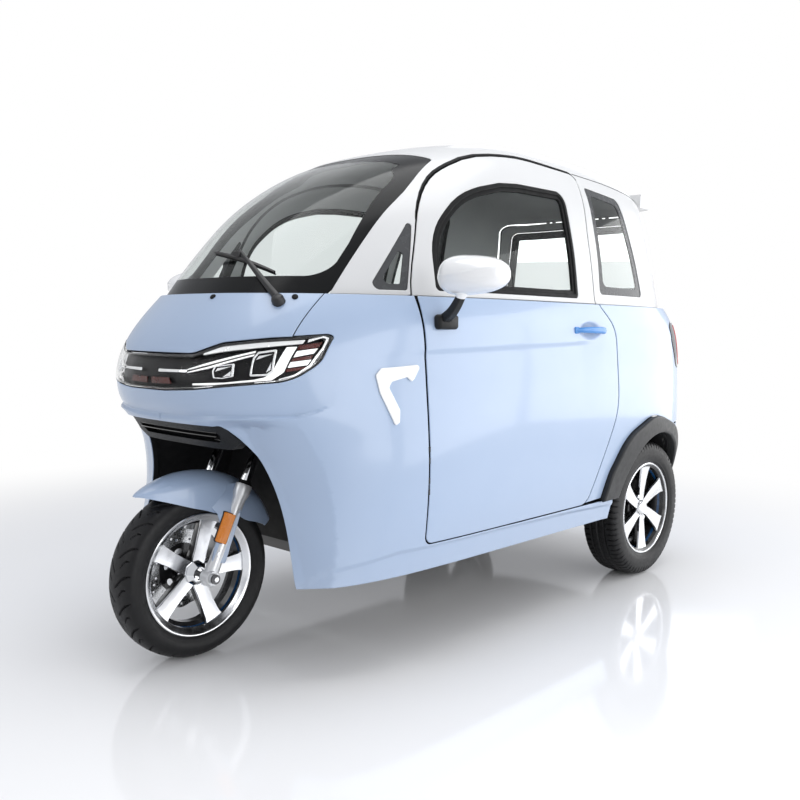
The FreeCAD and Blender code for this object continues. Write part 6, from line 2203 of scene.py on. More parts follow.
@dataclass
class Cabin:
    """What shows through the glass: seats, dash, handlebar and floor."""

    def build(self) -> None:
        """Makes every piece."""
        self.driver_seat()
        self.rear_seat()
        self.handlebar()
        self.dash()
        self.floor_mat()

    def driver_seat(self) -> None:
        """A bucket seat: a crowned cushion, a tall back with side rolls and a head pillow."""
        seat = rounded_block((-0.105, 0.0, 0.440), (0.208, 0.192, 0.046), 0.040, 6)
        seat = seat.moved(lambda p: p + np.stack([0 * p[:, 0], 0 * p[:, 0], 0.016 * (np.abs(p[:, 1]) / 0.19) ** 3 *
                                                  (p[:, 2] > 0.44)], -1))
        base = cushion("driver_seat_cushion", seat, 0.012, [SEAT_LEATHER], Body.SHELL)
        back = rounded_block((-0.372, 0.0, 0.735), (0.036, 0.192, 0.285), 0.032, 6)
        back = back.moved(self._shaped_back)
        rest = cushion("driver_seat_back", back, 0.010, [SEAT_LEATHER], Body.SHELL)
        carve(base, [((-0.20, 0, 0), (1, 0, 0), 0.005, 0.006), ((0.0, 0, 0), (1, 0, 0), 0.005, 0.006),
                     ((0, 0.125, 0), (0, 1, 0), 0.005, 0.006), ((0, -0.125, 0), (0, 1, 0), 0.005, 0.006)])
        carve(rest, [((0, 0, 0.62), (0, 0, 1), 0.005, 0.006), ((0, 0, 0.76), (0, 0, 1), 0.005, 0.006),
                     ((0, 0, 0.90), (0, 0, 1), 0.006, 0.010), ((0, 0.125, 0), (0, 1, 0), 0.005, 0.005),
                     ((0, -0.125, 0), (0, 1, 0), 0.005, 0.005)])
        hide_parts("driver_seat")

    def _shaped_back(self, p: Array) -> Array:
        """Narrows the back towards its top, leans it and gives it side rolls.

        Args:
            p: Points of the block.

        Returns:
            Their new places.
        """
        rise = np.clip((p[:, 2] - 0.45) / 0.57, 0, 1)
        narrow = 1 - 0.30 * np.clip((rise - 0.72) / 0.28, 0, 1) ** 1.5
        roll = 0.016 * (np.abs(p[:, 1]) / 0.192) ** 3 * (p[:, 0] > -0.372)
        return np.stack([p[:, 0] + roll * (1 - 0.6 * rise), p[:, 1] * narrow, p[:, 2]], -1)

    def rear_seat(self) -> None:
        """The bench behind: a crowned cushion and a back with three sewn panels."""
        seat = rounded_block((-0.655, 0.0, 0.535), (0.145, 0.288, 0.048), 0.040, 6)
        base = cushion("rear_seat_cushion", seat, 0.010, [SEAT_LEATHER], Body.SHELL)
        back = rounded_block((-0.905, 0.0, 0.765), (0.033, 0.288, 0.170), 0.030, 6)
        rest = cushion("rear_seat_back", back, 0.009, [SEAT_LEATHER], Body.SHELL)
        lines = [((0, y, 0), (0, 1, 0), 0.005, 0.006) for y in (-0.10, 0.10)]
        carve(base, lines + [((-0.655, 0, 0), (1, 0, 0), 0.005, 0.005)])
        carve(rest, lines + [((0, 0, 0.77), (0, 0, 1), 0.005, 0.005)])
        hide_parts("rear_seat")

    def handlebar(self) -> None:
        """Grips, levers, switch blocks and a display on the handlebar."""
        grips, bright, black = Patch(), Patch(), Patch()
        for side in (1, -1):
            ribs = [(0.190, 0.0), (0.190, 0.021), (0.194, 0.021), (0.196, 0.0165)]
            for k in range(14):
                at = 0.198 + 0.0068 * k
                ribs += [(at, 0.0165), (at + 0.0016, 0.0178), (at + 0.0044, 0.0178), (at + 0.006, 0.0165)]
            ribs += [(0.2945, 0.0168), (0.297, 0.0195), (0.300, 0.0190), (0.300, 0.0)]
            grips.join(lathe([(y * side, r) for y, r in ribs], (0.509, 0, 0.977), count=28))
            black.join(rounded_block((0.509, side * 0.162, 0.977), (0.020, 0.022, 0.022), 0.008))
            black.join(rounded_block((0.531, side * 0.158, 0.990), (0.010, 0.014, 0.008), 0.004))
            lever = smooth_path([(0.540, side * 0.160, 0.972), (0.556, side * 0.195, 0.968),
                                 (0.560, side * 0.240, 0.966), (0.552, side * 0.282, 0.965)], 18)
            shape = circle(0.0060, 12, 0.0040)
            bright.join(sweep(lever, shape, scale=np.linspace(1.2, 0.8, 18)))
        black.join(rounded_block((0.545, 0.0, 1.006), (0.018, 0.075, 0.030), 0.010))
        piece("handlebar_grips", grips, [GRIP_RUBBER], Body.STEERING)
        piece("handlebar_levers", bright, [CHROME], Body.STEERING)
        piece("handlebar_switches", black, [SATIN_BLACK], Body.STEERING)
        glass = rounded_block((0.5285, 0.0, 1.006), (0.0022, 0.066, 0.023), 0.002)
        piece("handlebar_display", glass, [SCREEN_DARK], Body.STEERING)

    def dash(self) -> None:
        """A round vent with four slats at each end of the dash."""
        black = Patch()
        for side in (1, -1):
            black.join(lathe([(0.0, 0.0), (0.0, 0.034), (0.006, 0.036), (0.010, 0.033), (0.010, 0.028), (0.005, 0.026),
                              (0.005, 0.0)], (0.600, side * 0.30, 0.925), (-1, 0, 0), count=32))
            for k in range(4):
                black.join(rounded_block((0.592, side * 0.30, 0.907 + 0.012 * k), (0.003, 0.026, 0.0018), 0.0015, 2))
        piece("dash_vents", black, [PIANO_BLACK], Body.SHELL)

    def floor_mat(self) -> None:
        """A ribbed mat on the floor between the doors."""
        rows, columns = 200, 60
        x, y = np.meshgrid(np.linspace(-0.40, 0.50, rows), np.linspace(-0.30, 0.30, columns), indexing="ij")
        z = 0.2735 + 0.0012 * (np.sin(x * 260) > 0)
        top = np.stack([x, y, z], -1)
        low = top.copy()
        low[..., 2] = 0.2683
        count = x.size
        patch = Patch()
        both = np.concatenate([top.reshape(-1, 3), low.reshape(-1, 3)])
        faces = quads(rows, columns, wrap_columns=False)
        number = np.arange(count).reshape(rows, columns)
        ring = np.concatenate([number[0], number[1:, -1], number[-1, -2::-1], number[-2:0:-1, 0]])
        wall = np.stack([ring, ring + count, np.roll(ring, -1) + count, np.roll(ring, -1)], -1)
        patch.add(both, [faces, faces[:, ::-1] + count, wall[:, ::-1]])
        piece("floor_mat", patch, [FLOOR_MAT], Body.SHELL)


@dataclass
class Trim:
    """The wiper, washer jets, mirrors, handles, grille blades, roof seams and the bare number plate."""

    def build(self) -> None:
        """Makes every piece."""
        self.wiper()
        self.washer_jets()
        self.mirrors()
        self.handles()
        self.grille()
        self.roof()
        self.plate()

    def wiper(self) -> None:
        """The wiper: a cap, a tapered arm, a spring joint and a blade in two stages."""
        arm = smooth_path([(0.845, 0.285, 0.969), (0.840, 0.225, 1.012), (0.828, 0.150, 1.062),
                           (0.816, 0.088, 1.101)], 24)
        profile = np.array([(-0.0080, -0.003), (0.0080, -0.003), (0.0075, 0.003), (0.003, 0.0055), (-0.003, 0.0055),
                            (-0.0075, 0.003)])
        patch = sweep(arm, profile, up=(0.6, 0, 0.8), scale=np.linspace(1.25, 0.62, 24))
        patch.join(lathe([(-0.010, 0.0), (-0.010, 0.0170), (0.004, 0.0165), (0.010, 0.0135), (0.012, 0.009),
                          (0.012, 0.0)], (0.8475, 0.287, 0.966), (0.62, 0.16, 0.77), count=28))
        blade = smooth_path([(0.836, 0.008, 1.0955), (0.826, 0.082, 1.079), (0.816, 0.150, 1.060),
                             (0.806, 0.225, 1.037)], 40)
        rise = np.array([0.62, 0.05, 0.78])
        bridge = np.array([(-0.0042, 0.002), (0.0042, 0.002), (0.0036, 0.0088), (-0.0036, 0.0088)])
        patch.join(sweep(blade, bridge, up=rise, scale=1 - 0.35 * np.abs(np.linspace(-1, 1, 40)) ** 2))
        patch.join(rounded_block((0.8225, 0.086, 1.0895), (0.009, 0.016, 0.009), 0.004))
        piece("wiper_arm", patch, [WIPER_BLACK], Body.SHELL, ["wiper"])
        rubber = np.array([(-0.0016, -0.0065), (0.0016, -0.0065), (0.0012, 0.002), (-0.0012, 0.002)])
        piece("wiper_rubber", sweep(blade, rubber, up=rise), [SEAL_AND_GAP_SHADE], Body.SHELL)

    def washer_jets(self) -> None:
        """Two small jets at the top of the bonnet."""
        patch = Patch()
        for y in (0.309, 0.100):
            where = LOWER.locate(View.FRONT, np.array([y]), np.array([0.974]))
            at, normal = LOWER.point(*where.T)[0], LOWER.normal(*where.T)[0]
            patch.join(lathe([(-0.004, 0.0), (-0.004, 0.0085), (0.002, 0.0080), (0.004, 0.0055), (0.0045, 0.0)], at,
                             normal, count=20))
        piece("washer_jets", patch, [SEAL_AND_GAP_SHADE], Body.SHELL)

    def mirrors(self) -> None:
        """White mirror shells with a crease and a recessed border, the glass behind, and stalks on small feet."""
        for side, (name, body) in zip((1, -1), DOOR_BODIES):
            turn = np.linspace(0, 2 * math.pi, 72, endpoint=False)
            rows = []
            for depth, share in [(0.0, 0.93), (0.006, 0.985), (0.016, 1.0), (0.030, 0.975), (0.045, 0.90),
                                 (0.058, 0.775), (0.068, 0.60), (0.0745, 0.38), (0.0775, 0.16), (0.078, 0.02)]:
                c, s = np.cos(turn), np.sin(turn)
                y = 0.108 * share * np.sign(c) * np.abs(c) ** 0.72
                z = 0.052 * share * np.sign(s) * np.abs(s) ** 0.80
                z = z * np.where(z < 0, 0.92, 1.0) * (1 - 0.18 * (y / 0.108))
                crease = 0.0035 * np.exp(-((z - 0.006 - 0.10 * y) / 0.006) ** 2) * np.clip(depth / 0.03, 0, 1)
                x = 0.4725 + depth + crease * 0.8
                rows.append(np.stack([x, side * (0.627 + y), 1.034 + z], -1))
            back = rows[0] - (0.001, 0, 0)
            middle = back.mean(0)
            inner = middle + (back - middle) * 0.93
            recess = inner + (0.006, 0, 0)
            grid = np.stack([recess, inner, back] + rows)
            patch = Patch().grid(grid, flip=side > 0, caps=True)
            piece(f"mirror_shell_{name}", patch, [TRIM_WHITE], body, [f"mirror_{name}"], sharp=50.0)
            glass = np.stack([middle + (inner - middle) * s + (d, 0, 0) for s, d in ((0.97, 0.006), (0.985, 0.0035),
                                                                                    (0.96, 0.0022))])
            piece(f"mirror_glass_{name}", Patch().grid(glass, flip=side < 0, caps=True), [CHROME], body)
            foot = lathe([(0.0, 0.0), (0.0, 0.0235), (0.012, 0.0190), (0.026, 0.0125), (0.030, 0.0)],
                         (0.5005, side * 0.600, 1.003), (-0.15, -0.35 * side, -0.93), count=28)
            piece(f"mirror_foot_{name}", foot, [TRIM_WHITE], body)
            path = smooth_path([(0.4955, side * 0.592, 0.984), (0.488, side * 0.570, 0.960),
                                (0.476, side * 0.540, 0.938), (0.466, side * 0.510, 0.924)], 16)
            box = rounded([(-11, -15, 6), (11, -15, 6), (11, 15, 6), (-11, 15, 6)])
            stalk = sweep(path, box, up=(1, 0, 0), scale=np.linspace(0.80, 1.12, 16))
            stalk.join(rounded_block((0.455, side * 0.509, 0.9165), (0.040, 0.014, 0.020), 0.010))
            piece(f"mirror_stalk_{name}", stalk, [MOULDED_BLACK], body, [f"mirror_arm_{name}"])

    def handles(self) -> None:
        """Bow handles across their recesses."""
        for side, (name, body) in zip((1, -1), DOOR_BODIES):
            path = smooth_path([(-0.134, 0.5430, 0.8990), (-0.150, 0.5520, 0.8995), (-0.185, 0.5585, 0.9000),
                                (-0.222, 0.5600, 0.9000), (-0.262, 0.5585, 0.8995), (-0.296, 0.5520, 0.8985),
                                (-0.308, 0.5430, 0.8980)], 48)
            along = np.linspace(0, 1, 48)
            scale = (0.62 + 0.38 * np.sin(np.pi * along) ** 0.5) * (1.12 - 0.20 * along[::-1])
            profile = circle(0.0046, 18, 0.0102)
            patch = sweep(path, profile, up=(0, 0, 1), scale=scale)
            for x in (-0.140, -0.302):
                patch.join(rounded_block((x, 0.5415, 0.8985), (0.0115, 0.0050, 0.0105), 0.0045))
            patch = patch if side > 0 else patch.mirrored()
            piece(f"handle_bow_{name}", patch, [HANDLE_BLUE], body, [f"door_handle_{name}"], sharp=45.0)

    def grille(self) -> None:
        """Two thin blades in the slot under the nose."""
        patch = Patch()
        line = np.stack([np.linspace(0.0, 0.178, 24), np.full(24, 0.6175)], -1)
        where = LOWER.locate(View.FRONT, *line.T)
        path = LOWER.point(*where.T) - 0.012 * LOWER.normal(*where.T)
        path = np.concatenate([path[:0:-1] * (1, -1, 1), path])
        for rise in (-0.006, 0.004):
            patch.join(sweep(path + (0, 0, rise), np.array([(-0.004, -0.0011), (0.004, -0.0011), (0.004, 0.0011),
                                                            (-0.004, 0.0011)])))
        piece("grille_blades", patch, [PIANO_BLACK], Body.SHELL)

    def roof(self) -> None:
        """The roof's dark seams, from the top of each door back to the spoiler."""
        run = trace(UPPER, View.SIDE, [(-366, 1427, 0), (-560, 1418, 300), (-760, 1403, 300), (-905, 1386, 0)])
        path = UPPER.point(*run.T) + 0.0004 * UPPER.normal(*run.T)
        profile = np.array([(-0.0017, -0.0020), (0.0017, -0.0020), (0.0013, 0.0006), (-0.0013, 0.0006)])
        seam = sweep(path, profile, up=UPPER.normal(*run.T))
        piece("roof_seams", pair(seam), [GREY_FRIT], Body.SHELL)

    def plate(self) -> None:
        """A blank plate on its pad, held by two screws."""
        face = rounded([(-105, 444, 8), (105, 444, 8), (105, 536, 8), (-105, 536, 8)])
        at = np.array([(-1.1475, y, 0.490) for y in (-0.075, 0.075)])
        flat = plate([face * (-1, 1)], (-1.1455, 0, 0), (0, -1, 0), (0, 0, 1), 0.0018, bevel=0.0005)
        piece("number_plate_blank", flat, [TRIM_WHITE], Body.SHELL)
        piece("number_plate_screws", bolt_heads(at, (-1, 0, 0), 0.0065, 0.0028, 12), [CHROME], Body.SHELL)


DRESS = {
    "wheel_well_liner": WELL_BLACK, "rear_liners": WELL_BLACK, "chassis_frame": FRAME_ENAMEL, "floor_pan": SATIN_BLACK,
    "leaf_springs": DARK_STEEL, "rear_axle": DARK_STEEL, "front_axle": DARK_STEEL, "fork_tubes": CHROME,
    "steering_stem": FRAME_ENAMEL, "handlebar": FRAME_ENAMEL, "seat_box": FRAME_ENAMEL, "battery_pack": BATTERY_CASE,
    "dash_panel": MOULDED_BLACK, "door_hinges": FRAME_ENAMEL, "tailgate_hinges": FRAME_ENAMEL,
    "intake_grille": MOULDED_BLACK, "brake_caliper": CAST_SILVER, "rear_spoiler": GLOSS_WHITE,
}


def dress_frame(frame: dict[str, bpy.types.Object]) -> None:
    """Gives every node that is kept its finish.

    Args:
        frame: The frame's objects by node.
    """
    for name, finish in DRESS.items():
        thing = frame[name]
        thing.data.materials.clear()
        thing.data.materials.append(finish.material())
        LOG.info("%s wears %s", name, finish.name)


# Lamps, glass and trim
# =====================
LAMP_LENS = Finish("lamp_lens", "glass", (0.97, 0.975, 0.98), rough=0.02, rough_spread=0.01, clear=1.0, ior=1.07,
                   grain=0.0)
LAMP_DARK = Finish("lamp_dark", "trim_grey", (0.006, 0.006, 0.007), (0.004, 0.004, 0.005), rough=0.35, grain=0.1,
                   specular=0.25)
# Silver bars in the lamp band; glow=0.05 is painted light, a faint emission that brightens them though they give no
# light.
LAMP_SILVER_PAINTED_GLOW = Finish("lamp_silver", "chrome", (0.83, 0.84, 0.845), (0.76, 0.77, 0.78), rough=0.24, metal=0.55, coat=0.6,
                     grain=0.04, glow=0.05)
LAMP_WHITE = Finish("light_guide", "white_paint", (0.90, 0.90, 0.895), (0.86, 0.86, 0.86), rough=0.22, coat=0.8,
                    grain=0.05, glow=0.18, ribbed=240.0)
LAMP_RED = Finish("dark_red_reflector", "lamp_red", (0.075, 0.009, 0.006), (0.045, 0.007, 0.005), rough=0.30, coat=0.2,
                  grain=0.4, perforated=330.0)
TAIL_RED = Finish("tail_lamp_red", "lamp_red", (0.45, 0.012, 0.016), (0.36, 0.009, 0.012), rough=0.16, coat=0.6,
                  grain=0.4, ribbed=150.0, glow=0.05)
TRIM_WHITE = Finish("trim_white", "white_paint", (0.86, 0.865, 0.87), (0.84, 0.845, 0.85), rough=0.16, coat=1.0,
                    grain=0.01)
HANDLE_BLUE = Finish("handle_blue", "handle_blue", (0.030, 0.170, 0.340), (0.025, 0.155, 0.315), rough=0.22,
                     coat=1.0, metal=0.35, grain=0.02)


def drawn(form: Form, view: View, points: Sequence[Sequence[float]], lift: float, wall: float = 0.003,
          roll: float = 0.0008, spacing: float = 0.02) -> Patch:
    """A small sheet of the body's surface inside a drawn outline.

    Args:
        form: The surface.
        view: The view that the outline is drawn in.
        points: The outline's corners in millimetres, with an optional radius.
        lift: How far the sheet stands out of the surface.
        wall: Its thickness.
        roll: The radius of its edge.
        spacing: The spacing of its points.

    Returns:
        The patch.
    """
    loop = trace(form, view, points, closed=True)
    panel = Panel(form, loop, lift=lift, wall=wall, roll=roll, spacing=spacing, inner_slot=0)
    return tidy(panel.build())


@dataclass
class Lamps:
    """The headlamp band, the tail lamps and the side trims."""

    def build(self) -> None:
        """Makes every piece."""
        self.band()
        self.guides()
        self.projectors()
        self.tail_lamps()
        self.trims()

    def half_band(self, i: float) -> Array:
        """Half of the lamp band's outline.

        Args:
            i: How far it is drawn in, in millimetres.

        Returns:
            Turn and climb along the loop.
        """
        run = trace(LOWER, View.FRONT, [
            (0, 738 + i, 0), (80, 738 + i, 0), (176, 744 + i, 300), (370 - i * 0.4, 768 + i, 60),
            (402 - i, 812, 60), (406 - i, 880 - i, 12), (318, 869 - i, 60), (225 + i * 0.4, 856 - i, 60),
            (160, 828 - i, 60), (0, 828 - i, 0)])
        run[[0, -1], 0] = 0.0
        fold = fold_run(LOWER, 0.0, float(run[-1, 1]), float(run[0, 1]))
        return join_runs(run, fold[1:-1])

    def band(self) -> None:
        """The dark tray, its rim and the clear lens over it."""
        tray = both_halves(Panel(LOWER, self.half_band(1), lift=-0.0215, wall=0.004, roll=0.001).build())
        sheet("headlamp_tray_black", tray, [LAMP_DARK, LAMP_DARK], Body.SHELL, ["headlamp_tray"])
        lens = Panel(LOWER, self.half_band(0.5), lift=0.0005, wall=0.003, roll=0.0015, inner_slot=0)
        sheet("headlamp_lens_clear", both_halves(lens.build()), [LAMP_LENS], Body.SHELL, ["headlamp_lens"])
        outer, inner = self.half_band(-1.2), self.half_band(4.5)
        folded = lambda loop: loop[:, 0] < 1e-9
        out_run, in_run = outer[~folded(outer)], inner[~folded(inner)]
        levels = [float(loop[folded(loop)][:, 1].min()) for loop in (outer, inner)]
        tops = [float(loop[folded(loop)][:, 1].max()) for loop in (outer, inner)]
        low = np.array([[0.0, levels[0]]])
        edge = join_runs(low, out_run, np.array([[0.0, tops[0]], [0.0, tops[1]]]), in_run[::-1],
                         np.array([[0.0, levels[1]]]))
        rim = both_halves(Panel(LOWER, edge, lift=-0.0055, wall=0.014, roll=0.0012, inner_slot=0).build())
        sheet("headlamp_rim", rim, [PIANO_BLACK], Body.SHELL)

    def guides(self) -> None:
        """The silver bars, the thin outline at the outer end, the pale light guides and the dark red films."""
        bar = [(180, 829, 2), (199, 846, 4), (227, 853, 8), (307, 863, 8), (374, 870, 2), (372, 860, 2), (312, 851, 8),
               (235, 840, 8)]
        outline = [(378, 862, 1), (396, 874, 3), (401.5, 872, 4), (401, 850, 6), (391, 806, 20), (374, 783, 10),
                   (352, 772, 1), (352, 769.5, 1), (375, 779.5, 10), (394.5, 804.5, 20), (404, 850, 8), (404.5, 875, 5),
                   (397, 878.5, 4), (378, 870, 1)]
        silver = drawn(LOWER, View.FRONT, bar, -0.0075, wall=0.006)
        silver = Patch().join(silver).join(drawn(LOWER, View.FRONT, outline, -0.0045, wall=0.004))
        # The silver bars' faint glow is painted light.
        sheet("lamp_silver_bars", pair(silver), [LAMP_SILVER_PAINTED_GLOW], Body.SHELL)
        guides = [
            [(171, 752, 1), (252, 754.5, 0), (312, 762, 30), (341, 769, 8), (358, 789, 14), (366, 853, 1),
             (350, 852, 1), (341, 796, 12), (330, 777, 10), (311, 770.5, 30), (252, 762, 0), (171, 757, 1)],
            [(366, 826, 1), (393, 836, 1), (396, 849, 1), (368, 842, 1)],
            [(362, 800, 1), (389, 807, 1), (392.5, 821, 1), (364, 814.5, 1)],
            [(150, 790, 0), (206, 806, 0), (300, 838, 0), (300, 842.5, 0), (204, 811, 0), (150, 793, 0)],
            [(152, 783, 0), (208, 796, 0), (300, 830, 0), (300, 834, 0), (206, 800.5, 0), (152, 786, 0)]]
        sheet("lamp_light_guides", pair(self._drawn_all(guides, -0.0085, 0.006)), [LAMP_WHITE], Body.SHELL)
        films = [[(368, 845, 0), (397, 853, 0), (399, 866, 0), (368, 857, 0)],
                 [(364, 816, 0), (392, 823, 0), (393, 833, 0), (366, 824, 0)],
                 [(360, 790, 0), (386, 797, 0), (388, 804, 0), (361, 798, 0)]]
        low_film = drawn(LOWER, View.FRONT, [(10, 750, 2), (96, 752, 2), (86, 769, 2), (10, 768, 2)], -0.012)
        patch = pair(self._drawn_all(films, -0.0125, 0.002)).join(low_film).join(low_film.mirrored())
        sheet("lamp_red_films", patch, [LAMP_RED], Body.SHELL)

    def _drawn_all(self, outlines: Sequence[Sequence[Sequence[float]]], lift: float, wall: float) -> Patch:
        """Small sheets at one depth inside the lamp, drawn from the front.

        Args:
            outlines: Their outlines in millimetres.
            lift: Their depth below the surface, as a negative number.
            wall: Their thickness.

        Returns:
            The patch.
        """
        patch = Patch()
        for points in outlines:
            patch.join(drawn(LOWER, View.FRONT, points, lift, wall=wall))
        return patch

    def projectors(self) -> None:
        """Two angular units a side, each a bright frame round a dark well with two bright facets, and a bar."""
        bright, dark = Patch(), Patch()
        shapes = [((221, 790), (225, 803), (268, 810), (271, 777), (247, 771), (226, 772)),
                  ((300, 824), (305, 839), (337, 846), (342, 790), (333, 780), (302, 778))]
        for shape in shapes:
            middle = np.mean(shape, 0)
            loop = [tuple(p) + (3,) for p in shape]
            inner = [tuple(middle + (np.array(p) - middle) * (0.82, 0.84)) + (2,) for p in shape]
            holed = Panel(LOWER, trace(LOWER, View.FRONT, loop, closed=True),
                          holes=[trace(LOWER, View.FRONT, inner, closed=True)], lift=-0.0065, wall=0.010, roll=0.001,
                          spacing=0.02, inner_slot=0)
            bright.join(tidy(holed.build()))
            dark.join(drawn(LOWER, View.FRONT, inner, -0.0135, wall=0.003))
            split = [middle + (np.array(p) - middle) * 0.72 for p in shape]
            for facet in (split[:3], [split[3], split[4], (split[2] + split[3]) / 2]):
                bright.join(drawn(LOWER, View.FRONT, facet, -0.0110, wall=0.002))
        bar = [(40, 783, 0), (146, 785, 0), (148, 792, 0), (40, 792, 0)]
        bright.join(drawn(LOWER, View.FRONT, bar, -0.012))
        sheet("lamp_projector_frames", pair(bright), [CHROME], Body.SHELL)
        sheet("lamp_projector_wells", pair(dark), [LAMP_DARK], Body.SHELL)

    def tail_lamps(self) -> None:
        """A red lens with a dark surround and three pale strips on each rear corner."""
        outer = trace(LOWER, View.REAR, grown(TAIL_LAMP, 0.5), closed=True)
        lit = [(412, 760, 20), (412, 925, 20), (484, 936, 24), (484, 860, 60), (480, 760, 20)]
        inner = trace(LOWER, View.REAR, grown(lit, -9), closed=True)
        ring = Panel(LOWER, outer, holes=[inner], lift=0.002, wall=0.012, roll=0.002, inner_slot=0).build()
        sheet("tail_lamp_surrounds", pair(tidy(ring)), [PIANO_BLACK], Body.SHELL)
        lens = Panel(LOWER, trace(LOWER, View.REAR, grown(lit, -8), closed=True), lift=0.0045, wall=0.014,
                     roll=0.003, inner_slot=1, wall_slot=1).build()
        sheet("tail_lamp_lenses", pair(tidy(lens)), [TAIL_RED, PIANO_BLACK], Body.SHELL, ["tail_lamps"])
        bars = Patch()
        for low in (785, 832, 879):
            bars.join(drawn(LOWER, View.REAR, [(428, low, 3), (468, low, 3), (470, low + 20, 3), (428, low + 20, 3)],
                            0.0052, wall=0.004))
        sheet("tail_lamp_strips", pair(bars), [LAMP_WHITE], Body.SHELL)

    def trims(self) -> None:
        """The white trims behind the front wheel, each a bar that turns down at its rear end."""
        outline = [(680, 780, 8), (664, 797, 9), (610, 801, 0), (546, 806, 8), (570, 768, 6), (578, 761, 4),
                   (592, 773, 4), (636, 762, 8), (645, 748, 10), (617, 690, 14), (620, 657, 5), (633, 650, 5),
                   (671, 734, 30)]
        panel = Panel(LOWER, trace(LOWER, View.SIDE, outline, closed=True), lift=0.0055, wall=0.010, roll=0.0035,
                      spacing=0.010, inner_slot=0)
        sheet("side_trim_frames", pair(tidy(panel.build())), [TRIM_WHITE], Body.SHELL, ["side_trims"])


@dataclass
class Glass:
    """The panes with their dark borders, the rubber round the door glass and the strips behind the gaps."""

    def build(self) -> None:
        """Makes every piece."""
        self.screen()
        self.side_panes()
        self.door_panes()
        self.rear_pane()
        self.gap_strips()
        self.arch_seals()

    def screen(self) -> None:
        """The screen with a black border, wide along its foot."""
        run = screen_run(0.0015)
        foot = belt_run(UPPER, float(run[-1, 0]), 0.0)
        edge = join_runs(run, foot, np.array([[0.0, 0.0]]), fold_run(UPPER, 0.0, 0.0, float(run[0, 1]))[1:-1])
        inner = trace(UPPER, View.FRONT, [(0, 1029, 0), (130, 1030, 300), (327, 1032, 55), (326, 1120, 0),
                                          (318, 1200, 200), (296, 1325, 60), (262, 1352, 0)])
        top = trace(UPPER, View.PLAN, [(380, 262, 30), (392, 90, 200), (392, 0, 0)])
        loop = np.vstack([inner, top])
        loop[0, 0] = loop[-1, 0] = 0.0
        loop = join_runs(loop, fold_run(UPPER, 0.0, float(loop[-1, 1]), float(loop[0, 1]))[1:-1])
        panel = Panel(UPPER, edge, bands=[(loop, 1)], lift=-0.003, wall=0.005, roll=0.001)
        sheet("windscreen_glass", both_halves(panel.build()), [FRIT, WINDOW], Body.SHELL, ["windshield"])

    def side_panes(self) -> None:
        """The quarter panes in front of the doors and the long ones behind them."""
        patch = Patch()
        for outline, inner in ((QUARTER_WINDOW, [(602, 1016, 14), (504, 1136, 8), (546, 1016, 10)]),
                               (REAR_SIDE_WINDOW, [(-378, 1046, 22), (-419, 1360, 22), (-597, 1343, 26),
                                                   (-626, 1046, 22)])):
            loop = trace(UPPER, View.SIDE, grown(outline, 0.5), closed=True)
            clear = trace(UPPER, View.SIDE, inner, closed=True)
            panel = Panel(UPPER, loop, bands=[(clear, 1)], lift=-0.003, wall=0.005, roll=0.001)
            patch.join(tidy(panel.build()))
        sheet("side_glass", pair(patch), [GREY_FRIT, WINDOW], Body.SHELL, ["side_windows"])

    def door_panes(self) -> None:
        """The door glass in its stepped rubber surround."""
        line, outer, middle, rim, inner = (trace(UPPER, View.SIDE, grown(DOOR_WINDOW, gap), closed=True)
                                           for gap in (-15, 1.6, -11, -9, -22))
        pane = Panel(UPPER, line, lift=-0.0095, wall=0.005, roll=0.001, inner_slot=0).build()
        ring = Panel(UPPER, outer, holes=[middle], lift=-0.0005, wall=0.012, roll=0.003, inner_slot=0).build()
        step = Panel(UPPER, rim, holes=[inner], lift=-0.005, wall=0.012, roll=0.002, inner_slot=0).build()
        for side, body in DOOR_BODIES:
            here = (lambda p: tidy(p)) if side == "left" else (lambda p: tidy(p).mirrored())
            sheet(f"door_glass_{side}", here(pane), [WINDOW], body, [f"door_window_{side}"])
            sheet(f"door_glass_rubber_{side}", Patch().join(here(ring)).join(here(step)), [SEAL_AND_GAP_SHADE], body)

    def rear_pane(self) -> None:
        """The tailgate's pane with its border."""
        outline, clear = (half_loop(UPPER, half_of(rounded(grown(REAR_WINDOW, gap)))) for gap in (0.5, -30))
        panel = Panel(UPPER, outline, bands=[(clear, 1)], lift=-0.003, wall=0.005, roll=0.001)
        sheet("tailgate_glass", both_halves(panel.build()), [FRIT, WINDOW], Body.TAILGATE, ["tailgate_window"])

    def strip(self, form: Form, run: Array, depth: float, profile: Array) -> Patch:
        """A strip at a depth under a line of the surface, swept with the surface's normal as its height."""
        normal = form.normal(*run.T)
        return sweep(form.point(*run.T) - depth * normal, profile, up=normal)

    def gap_strips(self) -> None:
        """Black rubber behind the gaps round the doors, on the body's side."""
        profile = np.array([(-0.008, -0.002), (0.008, -0.002), (0.008, 0.001), (0.003, 0.004), (-0.003, 0.004),
                            (-0.008, 0.001)])
        door = rounded(grown(DOOR, 3.5))
        patch = Patch()
        for form, level, upper in ((LOWER, 0.983, False), (UPPER, 0.987, True)):
            keep = clipped(door, level, upper)
            flat = np.abs(keep[:, 1] - level) < FOLD
            start = int(np.argmax(flat & ~np.roll(flat, -1)))
            keep, flat = np.roll(keep, -start, axis=0), np.roll(flat, -start)
            run = keep[:len(keep) - int(flat[1:].sum())]
            within = (np.arange(len(run)) > 0) & (np.arange(len(run)) < len(run) - 1)
            run = run[~((np.abs(run[:, 1] - level) < FOLD) & within)]
            patch.join(self.strip(form, straight(form, View.SIDE, *run), 0.0205, profile))
        piece("door_gap_rubber", pair(patch), [SEAL_AND_GAP_SHADE], Body.SHELL, sharp=40.0)

